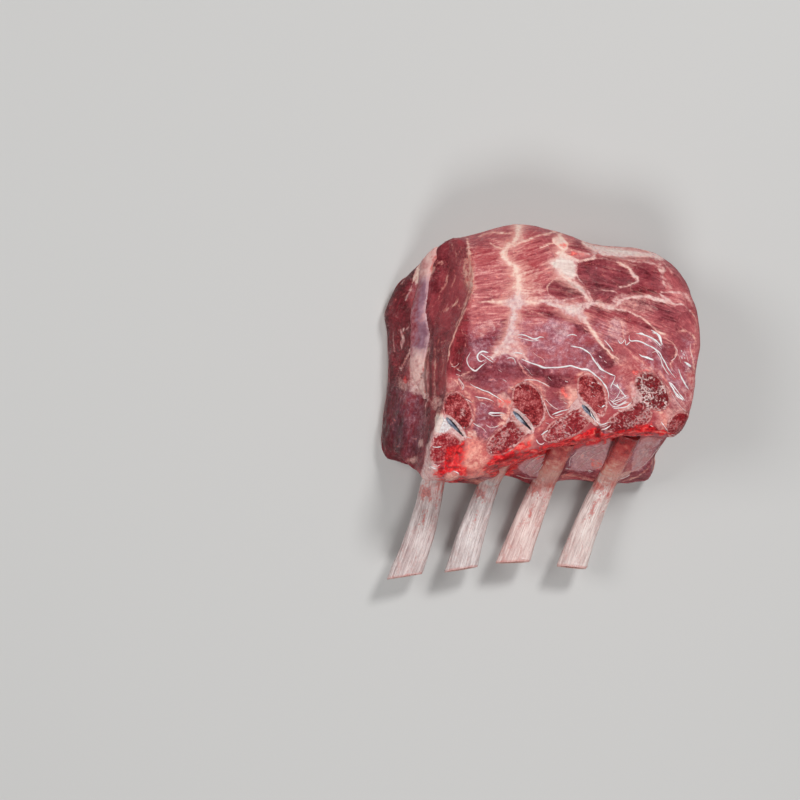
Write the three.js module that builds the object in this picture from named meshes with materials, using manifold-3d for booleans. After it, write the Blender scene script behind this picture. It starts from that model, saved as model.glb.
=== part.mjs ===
// A frenched four-rib short rack of lamb: one half of the rib cage, sawn along the backbone, lying on its outer side
// with the sawn backbone and the hollow inner side of the ribs up. Millimetres, +Z up, +X along the backbone,
// -Y towards the bare rib ends. The origin is under the middle of the whole, on the surface the meat rests on.
import * as THREE from "three";
import { mergeVertices } from "three/addons/utils/BufferGeometryUtils.js";
import Module from "manifold-3d";

// ---- driving sizes ---------------------------------------------------------------------------------------------
const GAP = 0.3; // clearance between a bone or the fat and the muscle round it
const CENTRE = { x: -0.44, y: -1.57 }; // middle of the whole in the working frame, taken off at the end

// muscle block
const THICK = 48; // height of the sawn side above the resting side
const CHINE_Z = 40.5; // height of the lower lip of the sawn side
const EDGE_LEFT = 2.4; // rounding of the left end cut
const EDGE_RIGHT = 5.0; // rounding of the right end
const RINGS = 18; // stations along the block, roundings not counted
const ROUND = 42; // points round a station
const CAP_RINGS = 5;

// fat seam
const SEAM_Z = 20.2; // height of its middle at the back
const SEAM_THICK = 3.0;
const SEAM_FLARE = 3.2; // extra thickness where it shows at the left end cut
const SEAM_START_Y = 0; // it begins beside the ribs

// ribs
const RIB_THICK = 5.6;
const RIB_SIDES = 12;
const RIB_STEPS = 14;

const clamp01 = (t) => Math.min(1, Math.max(0, t));
const smooth = (a, b, x) => {
  const t = clamp01((x - a) / (b - a));
  return t * t * (3 - 2 * t);
};
const bell = (x, c, w) => Math.exp(-(((x - c) / w) ** 2));
const lerp = (a, b, t) => a + (b - a) * t;

// ---- outline of the muscle block ---------------------------------------------------------------------------------
// s runs from 0 at the left end cut to 1 at the right end.
const dorsalY = (s) => 60.0 + 5.9 * bell(s, 0.36, 0.24) - 2.6 * smooth(0.52, 0.74, s) - 3.6 * smooth(0.86, 1.05, s);
const dorsalLowY = (s) => dorsalY(s) - 3.5 - 9.5 * bell(s, 0, 0.2);
const chineY = (s) => -29.8 + 12.8 * smooth(0.13, 0.58, s) + 3.6 * smooth(0.5, 0.8, s) - 0.5 * smooth(0.85, 1, s);
const toeY = (s) =>
  -23.2 -
  3 * smooth(0, 0.15, s) -
  6 * smooth(0.15, 0.25, s) +
  2.6 * bell(s, 0.44, 0.05) +
  0.9 * smooth(0.56, 0.64, s) -
  1.2 * bell(s, 0.88, 0.06) +
  4.5 * smooth(0.96, 1, s);

// left end: where the cut meets the sawn side, and where it meets the resting side
const leftHighX = (y) => -25.6 - 9.6 * smooth(44, 14, y) - 5.5 * smooth(6, -18, y);
const leftLowX = (y) => -59.2 + 2.6 * smooth(-16, 12, y) - 1.4 * bell(y, 33, 5) + 4.8 * smooth(34, 52, y);
const leftProfile = (z) => 0.34 * smooth(46, 24, z) + 0.28 * smooth(28, 19, z) + 0.38 * smooth(23, 3, z);
const leftX = (y, z) => lerp(leftHighX(y), leftLowX(y), leftProfile(z));
// right end: bulges in the middle, and leans in towards the resting side
const rightX = (y, z) =>
  58.3 -
  (y > 22 ? 0.0102 : 0.0055) * Math.min(Math.abs(y - 22), 43) ** 2 -
  11 * smooth(38, 2, z) * smooth(-30, 5, y);

// keys of one station's outline, as [y, z], from the lower lip of the sawn side round over the back and home
function stationKeys(s) {
  const yc = chineY(s),
    yd = dorsalY(s),
    yb = dorsalLowY(s),
    yt = toeY(s),
    span = yd - yc,
    fill = 1 - smooth(0.2, 0.45, s); // fat that fills the corner under the backbone on the left
  return [
    [yc, CHINE_Z - 5 * fill],
    [yc + 1.6, CHINE_Z + 4.2 - 3 * fill],
    [yc + 5, THICK - 0.8 - 0.8 * fill],
    [yc + 0.3 * span, THICK - 0.1],
    [yc + 0.55 * span, THICK + 0.3],
    [yc + 0.76 * span, THICK - 1.2],
    [yd - 6.5, THICK - 6],
    [yd - 1.2, THICK - 13.5],
    [yd, THICK - 20],
    [lerp(yd, yb, 0.7), 14],
    [yb - 2.5, 4.2],
    [yb - 9, 0],
    [lerp(yb, yt, 0.4), 0],
    [yt + 13, 0],
    [yt + 4.2, 2.0],
    [yt, 7.0],
    [yt + 2.0, 12.2 + 3 * fill],
    [lerp(yt, yc, 0.5) + lerp(1.5, -0.5, fill), 22.5 + 3.5 * fill],
    [yc + lerp(2.2, 0.4, fill), 33],
  ];
}

function station(s, inset) {
  const keys = stationKeys(s),
    curve = new THREE.CatmullRomCurve3(
      keys.map(([y, z]) => new THREE.Vector3(0, y, z)),
      true,
      "centripetal",
    ),
    middle = keys.reduce((m, [y, z]) => [m[0] + y / keys.length, m[1] + z / keys.length], [0, 0]),
    points = [];
  for (let i = 0; i < ROUND; i++) {
    const p = curve.getPoint(i / ROUND),
      r = Math.hypot(p.y - middle[0], p.z - middle[1]),
      k = Math.max(0, r - inset) / r;
    points.push([lerp(middle[0], p.y, k), Math.max(0, lerp(middle[1], p.z, k))]);
  }
  return { points, middle };
}

// ---- mesh helpers ------------------------------------------------------------------------------------------------
// rings: closed loops of equal length, in order; each end is closed by a fan to its own middle
function loft(rings, firstTip, lastTip) {
  const n = rings[0].length,
    position = [...rings.flat(2), ...firstTip, ...lastTip],
    index = [],
    a = rings.length * n,
    b = a + 1;
  for (let r = 0; r + 1 < rings.length; r++)
    for (let i = 0; i < n; i++) {
      const p = r * n + i,
        q = r * n + ((i + 1) % n);
      index.push(p, q, p + n, q, q + n, p + n);
    }
  for (let i = 0; i < n; i++) {
    index.push(a, (i + 1) % n, i);
    index.push(b, (rings.length - 1) * n + i, (rings.length - 1) * n + ((i + 1) % n));
  }
  const g = new THREE.BufferGeometry();
  g.setAttribute("position", new THREE.Float32BufferAttribute(position, 3));
  g.setIndex(index);
  return g;
}

const wasm = await Module();
wasm.setup();

function solid(geometry, matrix = new THREE.Matrix4()) {
  const g = new THREE.BufferGeometry();
  g.setAttribute("position", geometry.getAttribute("position").clone());
  if (geometry.index) g.setIndex(geometry.index.clone());
  g.applyMatrix4(matrix);
  const merged = mergeVertices(g, 1e-3),
    t = new Uint32Array(merged.index.array),
    make = () =>
      new wasm.Manifold(
        new wasm.Mesh({ numProp: 3, vertProperties: merged.attributes.position.array, triVerts: t }),
      );
  let made = make();
  if (made.volume() < 0) {
    for (let i = 0; i < t.length; i += 3) [t[i + 1], t[i + 2]] = [t[i + 2], t[i + 1]];
    made = make();
  }
  return made;
}

const largest = (m) => m.decompose().reduce((a, b) => (a.volume() > b.volume() ? a : b));

function geometryOf(m) {
  const mesh = m.getMesh(),
    v = new Float32Array(mesh.numVert * 3);
  for (let i = 0; i < mesh.numVert; i++)
    v.set(mesh.vertProperties.subarray(i * mesh.numProp, i * mesh.numProp + 3), i * 3);
  const g = new THREE.BufferGeometry();
  g.setAttribute("position", new THREE.BufferAttribute(v, 3));
  g.setIndex(new THREE.BufferAttribute(new Uint32Array(mesh.triVerts), 1));
  g.computeVertexNormals();
  return g;
}

// ---- muscle block --------------------------------------------------------------------------------------------------
function blockRings() {
  const length = 105,
    at = [];
  for (const t of [0, 0.12, 0.45]) at.push([(t * EDGE_LEFT) / length, EDGE_LEFT * (1 - Math.sqrt(1 - (1 - t) ** 2))]);
  for (let i = 0; i <= RINGS; i++)
    at.push([lerp(EDGE_LEFT / length, 1 - EDGE_RIGHT / length, i / RINGS), 0]);
  for (const t of [0.6, 0.28, 0.08, 0])
    at.push([1 - (t * EDGE_RIGHT) / length, EDGE_RIGHT * (1 - Math.sqrt(1 - (1 - t) ** 2))]);
  const ringOf = (s, points) => points.map(([y, z]) => [lerp(leftX(y, z), rightX(y, z), s), y, z]),
    rings = at.map(([s, inset]) => ringOf(s, station(s, inset).points)),
    cap = (s, inset) => {
      const { points, middle } = station(s, inset),
        made = [];
      for (let r = 1; r < CAP_RINGS; r++) {
        const k = 1 - r / CAP_RINGS;
        made.push(
          ringOf(
            s,
            points.map(([y, z]) => [lerp(middle[0], y, k), lerp(middle[1], z, k)]),
          ),
        );
      }
      return { made, tip: ringOf(s, [middle])[0] };
    },
    left = cap(0, EDGE_LEFT),
    right = cap(1, EDGE_RIGHT);
  return loft([...left.made.reverse(), ...rings, ...right.made], left.tip, right.tip);
}

// ---- fat seam: a slab between the muscle of the loin and the muscle outside the ribs, open at both ends and the back
const seamZ = (x, y) => SEAM_Z + 0.9 * Math.sin(x / 17 + 2.6) + 3.4 * smooth(52, 18, y) + 4.5 * smooth(10, -4, y);
const seamThick = (x, y) => SEAM_THICK + 0.5 * Math.sin(x / 9) + (SEAM_FLARE + 1.2 * smooth(30, 50, y)) * bell(x, -50, 13);

function seamGeometry(grow) {
  const nx = 18,
    ny = 6,
    x0 = -72,
    x1 = 72,
    y0 = SEAM_START_Y - grow,
    y1 = 74,
    rings = [];
  for (let i = 0; i <= nx; i++) {
    const x = lerp(x0, x1, i / nx),
      top = [],
      low = [];
    for (let j = 0; j <= ny; j++) {
      const y = lerp(y0, y1, j / ny),
        taper = 0.35 + 0.65 * smooth(0, 0.3, j / ny),
        h = (seamThick(x, y) * taper) / 2 + grow,
        z = seamZ(x, y);
      top.push([x, y, z + h]);
      low.push([x, y, z - h]);
    }
    rings.push([...top, ...low.reverse()]);
  }
  const mid = (i) => {
    const x = lerp(x0, x1, i / nx),
      y = (y0 + y1) / 2;
    return [x, y, seamZ(x, y)];
  };
  return loft(rings, mid(0), mid(nx));
}

// ---- ribs ------------------------------------------------------------------------------------------------------------
// head: beside its vertebra. exit: where it leaves the trimmed edge. end: its sawn end. w: widths at those three.
// bend: how far the bare part bows towards +X. cut: turn of the sawn end from the X axis, in degrees.
const RIBS = [
  { name: "rib_1", head: [-35.6, -18.0], exit: [-38.9, -29.6], end: [-50.2, -67.8], bend: 1.3, w: [8.6, 8.8, 12.1], cut: 8.6 },
  { name: "rib_2", head: [-12.4, -17.4], exit: [-17.5, -31.6], end: [-28.6, -65.1], bend: -0.3, w: [8.4, 7.6, 11.9], cut: 8.8 },
  { name: "rib_3", head: [9.4, -14.4], exit: [3.6, -31.0], end: [-8.8, -62.4], bend: 0.1, w: [8.4, 8.7, 12.1], cut: 1.7 },
  { name: "rib_4", head: [33.6, -12.2], exit: [27.1, -31.6], end: [13.8, -64.3], bend: -0.3, w: [8.4, 8.0, 11.2], cut: -5.9 },
];
// heights of a rib's middle line at these fractions, where 0 is the head, 1 the exit and 2 the end
const RIB_HEIGHTS = [
  [0, 36],
  [0.3, 30],
  [0.65, 20],
  [1, 12],
  [1.33, 9.6],
  [1.66, 10.4],
  [2, 12.8],
];

function ribCurve(rib) {
  const [hx, hy] = rib.head,
    [ex, ey] = rib.exit,
    [tx, ty] = rib.end,
    points = RIB_HEIGHTS.map(([t, z]) => {
      const a = Math.min(1, t),
        b = Math.max(0, t - 1);
      return new THREE.Vector3(
        lerp(hx, ex, a) + (tx - ex) * b + rib.bend * Math.sin(Math.PI * b),
        lerp(hy, ey, a) + (ty - ey) * b,
        z,
      );
    });
  return new THREE.CatmullRomCurve3(points, false, "centripetal");
}

// how far along the rib's own line t a point off to one side goes, so that the sawn end lies at rib.cut to the X axis
function endLead(rib, t, side, across) {
  const c = Math.cos(THREE.MathUtils.degToRad(rib.cut)),
    d = Math.sin(THREE.MathUtils.degToRad(rib.cut));
  return (-across * (side.x * d - side.y * c)) / (t.x * d - t.y * c);
}

function ribGeometry(rib, grow) {
  const curve = ribCurve(rib),
    rings = [],
    side = new THREE.Vector3(),
    up = new THREE.Vector3(),
    tips = [];
  for (let i = 0; i <= RIB_STEPS; i++) {
    const u = i / RIB_STEPS,
      p = curve.getPoint(u),
      t = curve.getTangent(u),
      w = (u < 0.5 ? lerp(rib.w[0], rib.w[1], u * 2) : lerp(rib.w[1], rib.w[2], (u * 2 - 1) ** 0.9)) / 2 + grow,
      h = (RIB_THICK * lerp(1.15, 0.92, u)) / 2 + grow,
      last = i === RIB_STEPS,
      first = i === 0,
      ring = [];
    side.crossVectors(t, new THREE.Vector3(0, 0, 1)).normalize();
    up.crossVectors(side, t).normalize();
    p.addScaledVector(t, (last ? grow : 0) - (first ? grow : 0));
    for (let k = 0; k < RIB_SIDES; k++) {
      const a = (2 * Math.PI * k) / RIB_SIDES,
        across = Math.sign(Math.cos(a)) * Math.abs(Math.cos(a)) ** 0.72 * w,
        high = Math.sign(Math.sin(a)) * Math.abs(Math.sin(a)) ** 0.72 * h,
        // the turn of the sawn end fades in over the last stations
        lead = endLead(rib, t, side, across) * smooth(0.84, 1, u);
      ring.push(
        p.clone().addScaledVector(side, across).addScaledVector(up, high).addScaledVector(t, lead).toArray(),
      );
    }
    rings.push(ring);
    if (first || last) tips.push(p.toArray());
  }
  return loft(rings, tips[0], tips[1]);
}

// ---- half vertebrae ----------------------------------------------------------------------------------------------
// body, lobe and canal: centre x, y, half length, half width, turn in degrees. The canal is the open groove of the
// spinal cord between body and lobe, and the pedicle joins the two beneath it.
const VERTEBRAE = [
  { name: "vertebra_1", body: [-35.6, -16.6, 7.0, 4.8, 50], lobe: [-30.9, -4.2, 5.0, 7.2, 20], canal: [-31.9, -9.9, 5.4, 1.5, -49] },
  { name: "vertebra_2", body: [-12.5, -13.7, 9.0, 4.3, 37], lobe: [-4.9, -1.8, 5.6, 8.6, 20], canal: [-7.2, -7.6, 5.5, 1.7, -48] },
  { name: "vertebra_3", body: [9.2, -9.7, 9.8, 4.1, 27], lobe: [18.3, 1.6, 4.8, 8.4, 22], canal: [17.2, -4.6, 5.2, 1.4, -51] },
  { name: "vertebra_4", body: [31.8, -7.4, 8.8, 4.2, 20], lobe: [40.4, 3.2, 5.0, 8.0, 38], canal: null },
  { name: "vertebra_5", body: [50.2, -9.0, 5.0, 3.8, 55], lobe: null, canal: null },
];
const BONE_DEEP = 11; // how far a half vertebra reaches in from the sawn side
const CANAL_DEEP = 4.5;
const SAW_Z = THICK + 0.1; // height of the sawn faces at the backbone
const PRISM_SEGMENTS = 10;

function ellipsePrism([x, y, a, b, turn], z0, z1, grow) {
  const shape = new THREE.Shape();
  shape.absellipse(0, 0, a + grow, b + grow, 0, 2 * Math.PI, false, 0);
  const g = new THREE.ExtrudeGeometry(shape, { depth: z1 - z0, bevelEnabled: false, curveSegments: PRISM_SEGMENTS });
  return solid(
    g,
    new THREE.Matrix4()
      .makeTranslation(x, y, z0)
      .multiply(new THREE.Matrix4().makeRotationZ(THREE.MathUtils.degToRad(turn))),
  );
}

function vertebra(v, grow) {
  const low = SAW_Z - BONE_DEEP - grow,
    top = SAW_Z + (grow ? 6 : 0);
  let made = ellipsePrism(v.body, low, top, grow);
  if (v.lobe) {
    const x = (v.body[0] + v.lobe[0]) / 2,
      y = (v.body[1] + v.lobe[1]) / 2,
      turn = THREE.MathUtils.radToDeg(Math.atan2(v.lobe[1] - v.body[1], v.lobe[0] - v.body[0]));
    made = made.add(ellipsePrism(v.lobe, low + 2, top, grow));
    made = made.add(ellipsePrism([x, y, 8, 3.6, turn], low + 1, top, grow));
  }
  if (v.canal && !grow) made = made.subtract(canal(v));
  return made;
}
const canal = (v) => ellipsePrism(v.canal, SAW_Z - CANAL_DEEP, SAW_Z + 6, 0);

// ---- assembly ----------------------------------------------------------------------------------------------------
const block = solid(blockRings()),
  ribs = RIBS.map((r) => ({ name: r.name, made: solid(ribGeometry(r, 0)), room: solid(ribGeometry(r, GAP)) })),
  bones = VERTEBRAE.map((v) => ({ name: v.name, made: vertebra(v, 0), room: vertebra(v, GAP) })),
  seam = largest(solid(seamGeometry(0)).intersect(block));

let meat = block.subtract(solid(seamGeometry(GAP)));
for (const b of [...ribs, ...bones]) meat = meat.subtract(b.room);
for (const v of VERTEBRAE) if (v.canal) meat = meat.subtract(canal(v));
meat = largest(meat);

const MATERIALS = {
  muscle: new THREE.MeshStandardMaterial({ color: 0x9c3f45, roughness: 0.32, metalness: 0 }),
  fat: new THREE.MeshStandardMaterial({ color: 0xe8c9bd, roughness: 0.4, metalness: 0 }),
  bone: new THREE.MeshStandardMaterial({ color: 0xd9bdb4, roughness: 0.5, metalness: 0 }),
  marrow: new THREE.MeshStandardMaterial({ color: 0xa03a3a, roughness: 0.45, metalness: 0 }),
};

const rack = new THREE.Group();
rack.name = "rack_of_lamb";
rack.position.set(-CENTRE.x, -CENTRE.y, 0);
function put(name, made, material) {
  const mesh = new THREE.Mesh(geometryOf(made), material);
  mesh.name = name;
  rack.add(mesh);
}
put("meat", meat, MATERIALS.muscle);
put("fat_seam", seam, MATERIALS.fat);
// a rib stops short of the vertebra that it meets
for (const r of ribs) {
  let made = r.made;
  for (const b of bones) made = made.subtract(b.room);
  put(r.name, largest(made), MATERIALS.bone);
}
// the sawn faces are flush with the muscle, and no bone stands out of the block
for (const b of bones) put(b.name, largest(b.made.intersect(block)), MATERIALS.marrow);

export default rack;
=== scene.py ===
import math
import bpy
import numpy as np
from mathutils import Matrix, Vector
from mathutils.bvhtree import BVHTree


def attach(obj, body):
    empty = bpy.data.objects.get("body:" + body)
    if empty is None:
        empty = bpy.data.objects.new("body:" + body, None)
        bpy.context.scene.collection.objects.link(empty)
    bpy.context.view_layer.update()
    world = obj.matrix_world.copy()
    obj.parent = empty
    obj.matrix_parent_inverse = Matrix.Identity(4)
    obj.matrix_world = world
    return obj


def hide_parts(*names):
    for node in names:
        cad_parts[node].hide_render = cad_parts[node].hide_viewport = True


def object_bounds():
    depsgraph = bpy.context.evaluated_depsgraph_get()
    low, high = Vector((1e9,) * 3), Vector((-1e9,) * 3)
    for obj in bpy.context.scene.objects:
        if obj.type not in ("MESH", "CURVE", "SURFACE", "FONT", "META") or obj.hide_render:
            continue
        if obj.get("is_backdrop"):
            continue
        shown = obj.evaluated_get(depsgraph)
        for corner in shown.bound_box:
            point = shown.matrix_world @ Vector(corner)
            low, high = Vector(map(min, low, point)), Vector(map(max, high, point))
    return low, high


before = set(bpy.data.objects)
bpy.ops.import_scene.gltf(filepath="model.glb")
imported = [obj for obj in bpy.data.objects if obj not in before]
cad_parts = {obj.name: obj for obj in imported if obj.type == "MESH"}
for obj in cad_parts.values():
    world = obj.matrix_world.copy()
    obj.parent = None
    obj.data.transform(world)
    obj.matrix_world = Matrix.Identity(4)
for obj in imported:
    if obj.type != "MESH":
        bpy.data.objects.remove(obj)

CAD_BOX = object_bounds()

# The rack's outline repeats part.mjs, in millimetres. The working frame lies CENTRE away from the row frame.
CENTRE = (-0.44, -1.57)
THICK = 48.0
CHINE_Z = 40.5
EDGE_LEFT = 2.4
EDGE_RIGHT = 5.0
LENGTH = 105.0
RIB_THICK = 5.6
SAW_Z = THICK + 0.1

# the camera stands straight above this point
EYE = np.array([-51.56, 1.57, 760.0])
PLANE_Z = 47.0  # the drawn lines below are places on this level plane, seen from the eye


# ---- small mathematics --------------------------------------------------------------------------------------------
def clamp01(t):
    return np.clip(t, 0.0, 1.0)


def smooth(a, b, x):
    t = clamp01((np.asarray(x, float) - a) / (b - a))
    return t * t * (3 - 2 * t)


def bell(x, c, w):
    return np.exp(-(((np.asarray(x, float) - c) / w) ** 2))


def lerp(a, b, t):
    return a + (b - a) * t


def hashed(ix, iy, iz, seed):
    h = (ix * 374761393 + iy * 668265263 + iz * 2147483647 + seed * 1274126177) & 0xFFFFFFFF
    h = ((h ^ (h >> 13)) * 1274126177) & 0xFFFFFFFF
    h = (h ^ (h >> 16)) & 0xFFFFFFFF
    return h


def noise(p, scale=1.0, seed=0):
    """Smooth gradient noise of points (..., 3), about -1 to 1."""
    q = np.asarray(p, float) / scale + 137.31
    i = np.floor(q).astype(np.int64)
    f = q - i
    w = f * f * f * (f * (f * 6 - 15) + 10)
    out = 0.0
    for dx in (0, 1):
        for dy in (0, 1):
            for dz in (0, 1):
                h = hashed(i[..., 0] + dx, i[..., 1] + dy, i[..., 2] + dz, seed)
                g = np.stack([(h & 1023) / 511.5 - 1, ((h >> 10) & 1023) / 511.5 - 1, ((h >> 20) & 1023) / 511.5 - 1], -1)
                d = f - np.array([dx, dy, dz], float)
                ww = (w[..., 0] if dx else 1 - w[..., 0]) * (w[..., 1] if dy else 1 - w[..., 1]) * (w[..., 2] if dz else 1 - w[..., 2])
                out = out + ww * (g * d).sum(-1)
    return out * 1.4


def fbm(p, scale, seed=0, octaves=3, fall=0.5):
    out, amp, total = 0.0, 1.0, 0.0
    for o in range(octaves):
        out = out + amp * noise(p, scale / 2**o, seed + 17 * o)
        total += amp
        amp *= fall
    return out / total


def cells(x, y, size, seed=0):
    """Distances to the nearest and second nearest of jittered points in the plane, in units of size."""
    qx, qy = x / size + 91.7, y / size + 53.1
    ix, iy = np.floor(qx).astype(np.int64), np.floor(qy).astype(np.int64)
    f1 = np.full(qx.shape, 9.0)
    f2 = np.full(qx.shape, 9.0)
    for dx in (-1, 0, 1):
        for dy in (-1, 0, 1):
            h = hashed(ix + dx, iy + dy, 0, seed)
            px = ix + dx + 0.1 + 0.8 * (h & 1023) / 1023.0
            py = iy + dy + 0.1 + 0.8 * ((h >> 10) & 1023) / 1023.0
            d = np.hypot(qx - px, qy - py)
            f2 = np.minimum(f2, np.maximum(f1, d))
            f1 = np.minimum(f1, d)
    return f1, f2


# ---- outline of the muscle block, as in part.mjs -------------------------------------------------------------------
def dorsal_y(s):
    return 60.0 + 5.9 * bell(s, 0.36, 0.24) - 2.6 * smooth(0.52, 0.74, s) - 3.6 * smooth(0.86, 1.05, s)


def dorsal_low_y(s):
    return dorsal_y(s) - 3.5 - 9.5 * bell(s, 0, 0.2)


def chine_y(s):
    return -29.8 + 12.8 * smooth(0.13, 0.58, s) + 3.6 * smooth(0.5, 0.8, s) - 0.5 * smooth(0.85, 1, s)


def toe_y(s):
    return (-23.2 - 3 * smooth(0, 0.15, s) - 6 * smooth(0.15, 0.25, s) + 2.6 * bell(s, 0.44, 0.05)
            + 0.9 * smooth(0.56, 0.64, s) - 1.2 * bell(s, 0.88, 0.06) + 4.5 * smooth(0.96, 1, s))


def left_x(y, z):
    high = -25.6 - 9.6 * smooth(44, 14, y) - 5.5 * smooth(6, -18, y)
    low = -59.2 + 2.6 * smooth(-16, 12, y) - 1.4 * bell(y, 33, 5) + 4.8 * smooth(34, 52, y)
    return lerp(high, low, 0.34 * smooth(46, 24, z) + 0.28 * smooth(28, 19, z) + 0.38 * smooth(23, 3, z))


def right_x(y, z):
    return (58.3 - np.where(y > 22, 0.0102, 0.0055) * np.minimum(np.abs(y - 22), 43) ** 2
            - 11 * smooth(38, 2, z) * smooth(-30, 5, y))


def station_keys(s):
    yc, yd, yb, yt = chine_y(s), dorsal_y(s), dorsal_low_y(s), toe_y(s)
    span = yd - yc
    fill = 1 - smooth(0.2, 0.45, s)
    one = np.ones_like(s)
    k = [
        (yc, CHINE_Z - 5 * fill), (yc + 1.6, CHINE_Z + 4.2 - 3 * fill), (yc + 5, THICK - 0.8 - 0.8 * fill),
        (yc + 0.3 * span, (THICK - 0.1) * one), (yc + 0.55 * span, (THICK + 0.3) * one), (yc + 0.76 * span, (THICK - 1.2) * one),
        (yd - 6.5, (THICK - 6) * one), (yd - 1.2, (THICK - 13.5) * one), (yd, (THICK - 20) * one),
        (lerp(yd, yb, 0.7), 14 * one), (yb - 2.5, 4.2 * one), (yb - 9, 0 * one), (lerp(yb, yt, 0.4), 0 * one),
        (yt + 13, 0 * one), (yt + 4.2, 2.0 * one), (yt, 7.0 * one), (yt + 2.0, 12.2 + 3 * fill),
        (lerp(yt, yc, 0.5) + lerp(1.5, -0.5, fill), 22.5 + 3.5 * fill), (yc + lerp(2.2, 0.4, fill), 33 * one),
    ]
    return np.stack([np.stack(v, -1) for v in k], 1)  # (n, 19, 2)


def closed_curve(keys, tau):
    """Centripetal Catmull-Rom through closed keys (n, k, 2) at key positions tau (m)."""
    n = keys.shape[1]
    i = np.floor(tau).astype(int) % n
    w = (tau - np.floor(tau))[None, :, None]
    x0, x1, x2, x3 = (keys[:, (i + d) % n] for d in (-1, 0, 1, 2))
    step = lambda a, b: np.maximum(((a - b) ** 2).sum(-1, keepdims=True), 1e-8) ** 0.25
    d0, d1, d2 = step(x0, x1), step(x1, x2), step(x2, x3)
    t1 = ((x1 - x0) / d0 - (x2 - x0) / (d0 + d1) + (x2 - x1) / d1) * d1
    t2 = ((x2 - x1) / d1 - (x3 - x1) / (d1 + d2) + (x3 - x2) / d2) * d1
    return x1 + t1 * w + (-3 * x1 + 3 * x2 - 2 * t1 - t2) * w**2 + (2 * x1 - 2 * x2 + t1 + t2) * w**3


# samples round a station, per stretch between keys: dense on the sawn side and the inner side, coarse underneath
ROUND_COUNTS = [10, 12, 46, 46, 38, 28, 12, 9, 9, 10, 6, 8, 8, 7, 12, 12, 24, 24, 18]
TAU = np.concatenate([k + np.arange(c) / c for k, c in enumerate(ROUND_COUNTS)])
CAP_LEFT, MAIN, CAP_RIGHT = 42, 224, 10
EASE = np.array([0, 0.03, 0.08, 0.15, 0.25, 0.38, 0.54, 0.75])


def block_grid():
    """Base surface: rows along the block from the middle of the left end to the middle of the right end."""
    s, inset, shrink = [], [], []
    for k in range(1, CAP_LEFT):
        s.append(0.0), inset.append(EDGE_LEFT), shrink.append(k / CAP_LEFT)
    for t in EASE:
        s.append(t * EDGE_LEFT / LENGTH), inset.append(EDGE_LEFT * (1 - math.sqrt(1 - (1 - t) ** 2))), shrink.append(1.0)
    for t in np.linspace(EDGE_LEFT / LENGTH, 1 - EDGE_RIGHT / LENGTH, MAIN):
        s.append(t), inset.append(0.0), shrink.append(1.0)
    for t in EASE[::-1]:
        s.append(1 - t * EDGE_RIGHT / LENGTH), inset.append(EDGE_RIGHT * (1 - math.sqrt(1 - (1 - t) ** 2))), shrink.append(1.0)
    for k in range(CAP_RIGHT - 1, 0, -1):
        s.append(1.0), inset.append(EDGE_RIGHT), shrink.append(k / CAP_RIGHT)
    s, inset, shrink = (np.array(v, float) for v in (s, inset, shrink))
    keys = station_keys(s)
    p = closed_curve(keys, TAU)
    mid = keys.mean(1)[:, None, :]
    r = np.hypot(*(p - mid).transpose(2, 0, 1))[..., None]
    p = mid + (p - mid) * np.maximum(0, r - inset[:, None, None]) / r
    p[..., 1] = np.maximum(0, p[..., 1])
    p = mid + (p - mid) * shrink[:, None, None]
    y, z = p[..., 0], p[..., 1]
    x = lerp(left_x(y, z), right_x(y, z), s[:, None])
    grid = np.stack([x - CENTRE[0], y - CENTRE[1], z], -1)
    tips = []
    for row, ss in ((0, 0.0), (-1, 1.0)):
        my, mz = mid[row, 0]
        tips.append([lerp(left_x(my, mz), right_x(my, mz), ss) - CENTRE[0], my - CENTRE[1], mz])
    return grid, np.array(tips, float), s


def grid_normals(p):
    du = np.roll(p, -1, 1) - np.roll(p, 1, 1)
    dv = np.empty_like(p)
    dv[1:-1] = p[2:] - p[:-2]
    dv[0], dv[-1] = p[1] - p[0], p[-1] - p[-2]
    n = np.cross(du, dv)
    n /= np.maximum(np.linalg.norm(n, axis=-1, keepdims=True), 1e-12)
    c = p.mean((0, 1))
    if ((p - c) * n).sum(-1).mean() < 0:
        n = -n
    return n


# ---- ribs ----------------------------------------------------------------------------------------------------------
RIBS = {
    "rib_1": ((-35.6, -18.0), (-38.9, -29.6), (-50.2, -67.8), 1.3, (8.6, 8.8, 12.1), 8.6),
    "rib_2": ((-12.4, -17.4), (-17.5, -31.6), (-28.6, -65.1), -0.3, (8.4, 7.6, 11.9), 8.8),
    "rib_3": ((9.4, -14.4), (3.6, -31.0), (-8.8, -62.4), 0.1, (8.4, 8.7, 12.1), 1.7),
    "rib_4": ((33.6, -12.2), (27.1, -31.6), (13.8, -64.3), -0.3, (8.4, 8.0, 11.2), -5.9),
}
RIB_HEIGHTS = [(0, 36), (0.3, 30), (0.65, 20), (1, 12), (1.33, 9.6), (1.66, 10.4), (2, 12.8)]


def open_curve(keys, u):
    """Centripetal Catmull-Rom through open keys (k, 3) at u from 0 to 1."""
    k = len(keys)
    ext = np.vstack([2 * keys[0] - keys[1], keys, 2 * keys[-1] - keys[-2]])
    q = np.clip(np.asarray(u, float), 0, 1) * (k - 1)
    i = np.minimum(np.floor(q).astype(int), k - 2)
    w = (q - i)[:, None]
    x0, x1, x2, x3 = (ext[i + d] for d in (0, 1, 2, 3))
    step = lambda a, b: np.maximum(((a - b) ** 2).sum(-1, keepdims=True), 1e-8) ** 0.25
    d0, d1, d2 = step(x0, x1), step(x1, x2), step(x2, x3)
    t1 = ((x1 - x0) / d0 - (x2 - x0) / (d0 + d1) + (x2 - x1) / d1) * d1
    t2 = ((x2 - x1) / d1 - (x3 - x1) / (d1 + d2) + (x3 - x2) / d2) * d1
    return x1 + t1 * w + (-3 * x1 + 3 * x2 - 2 * t1 - t2) * w**2 + (2 * x1 - 2 * x2 + t1 + t2) * w**3


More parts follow.
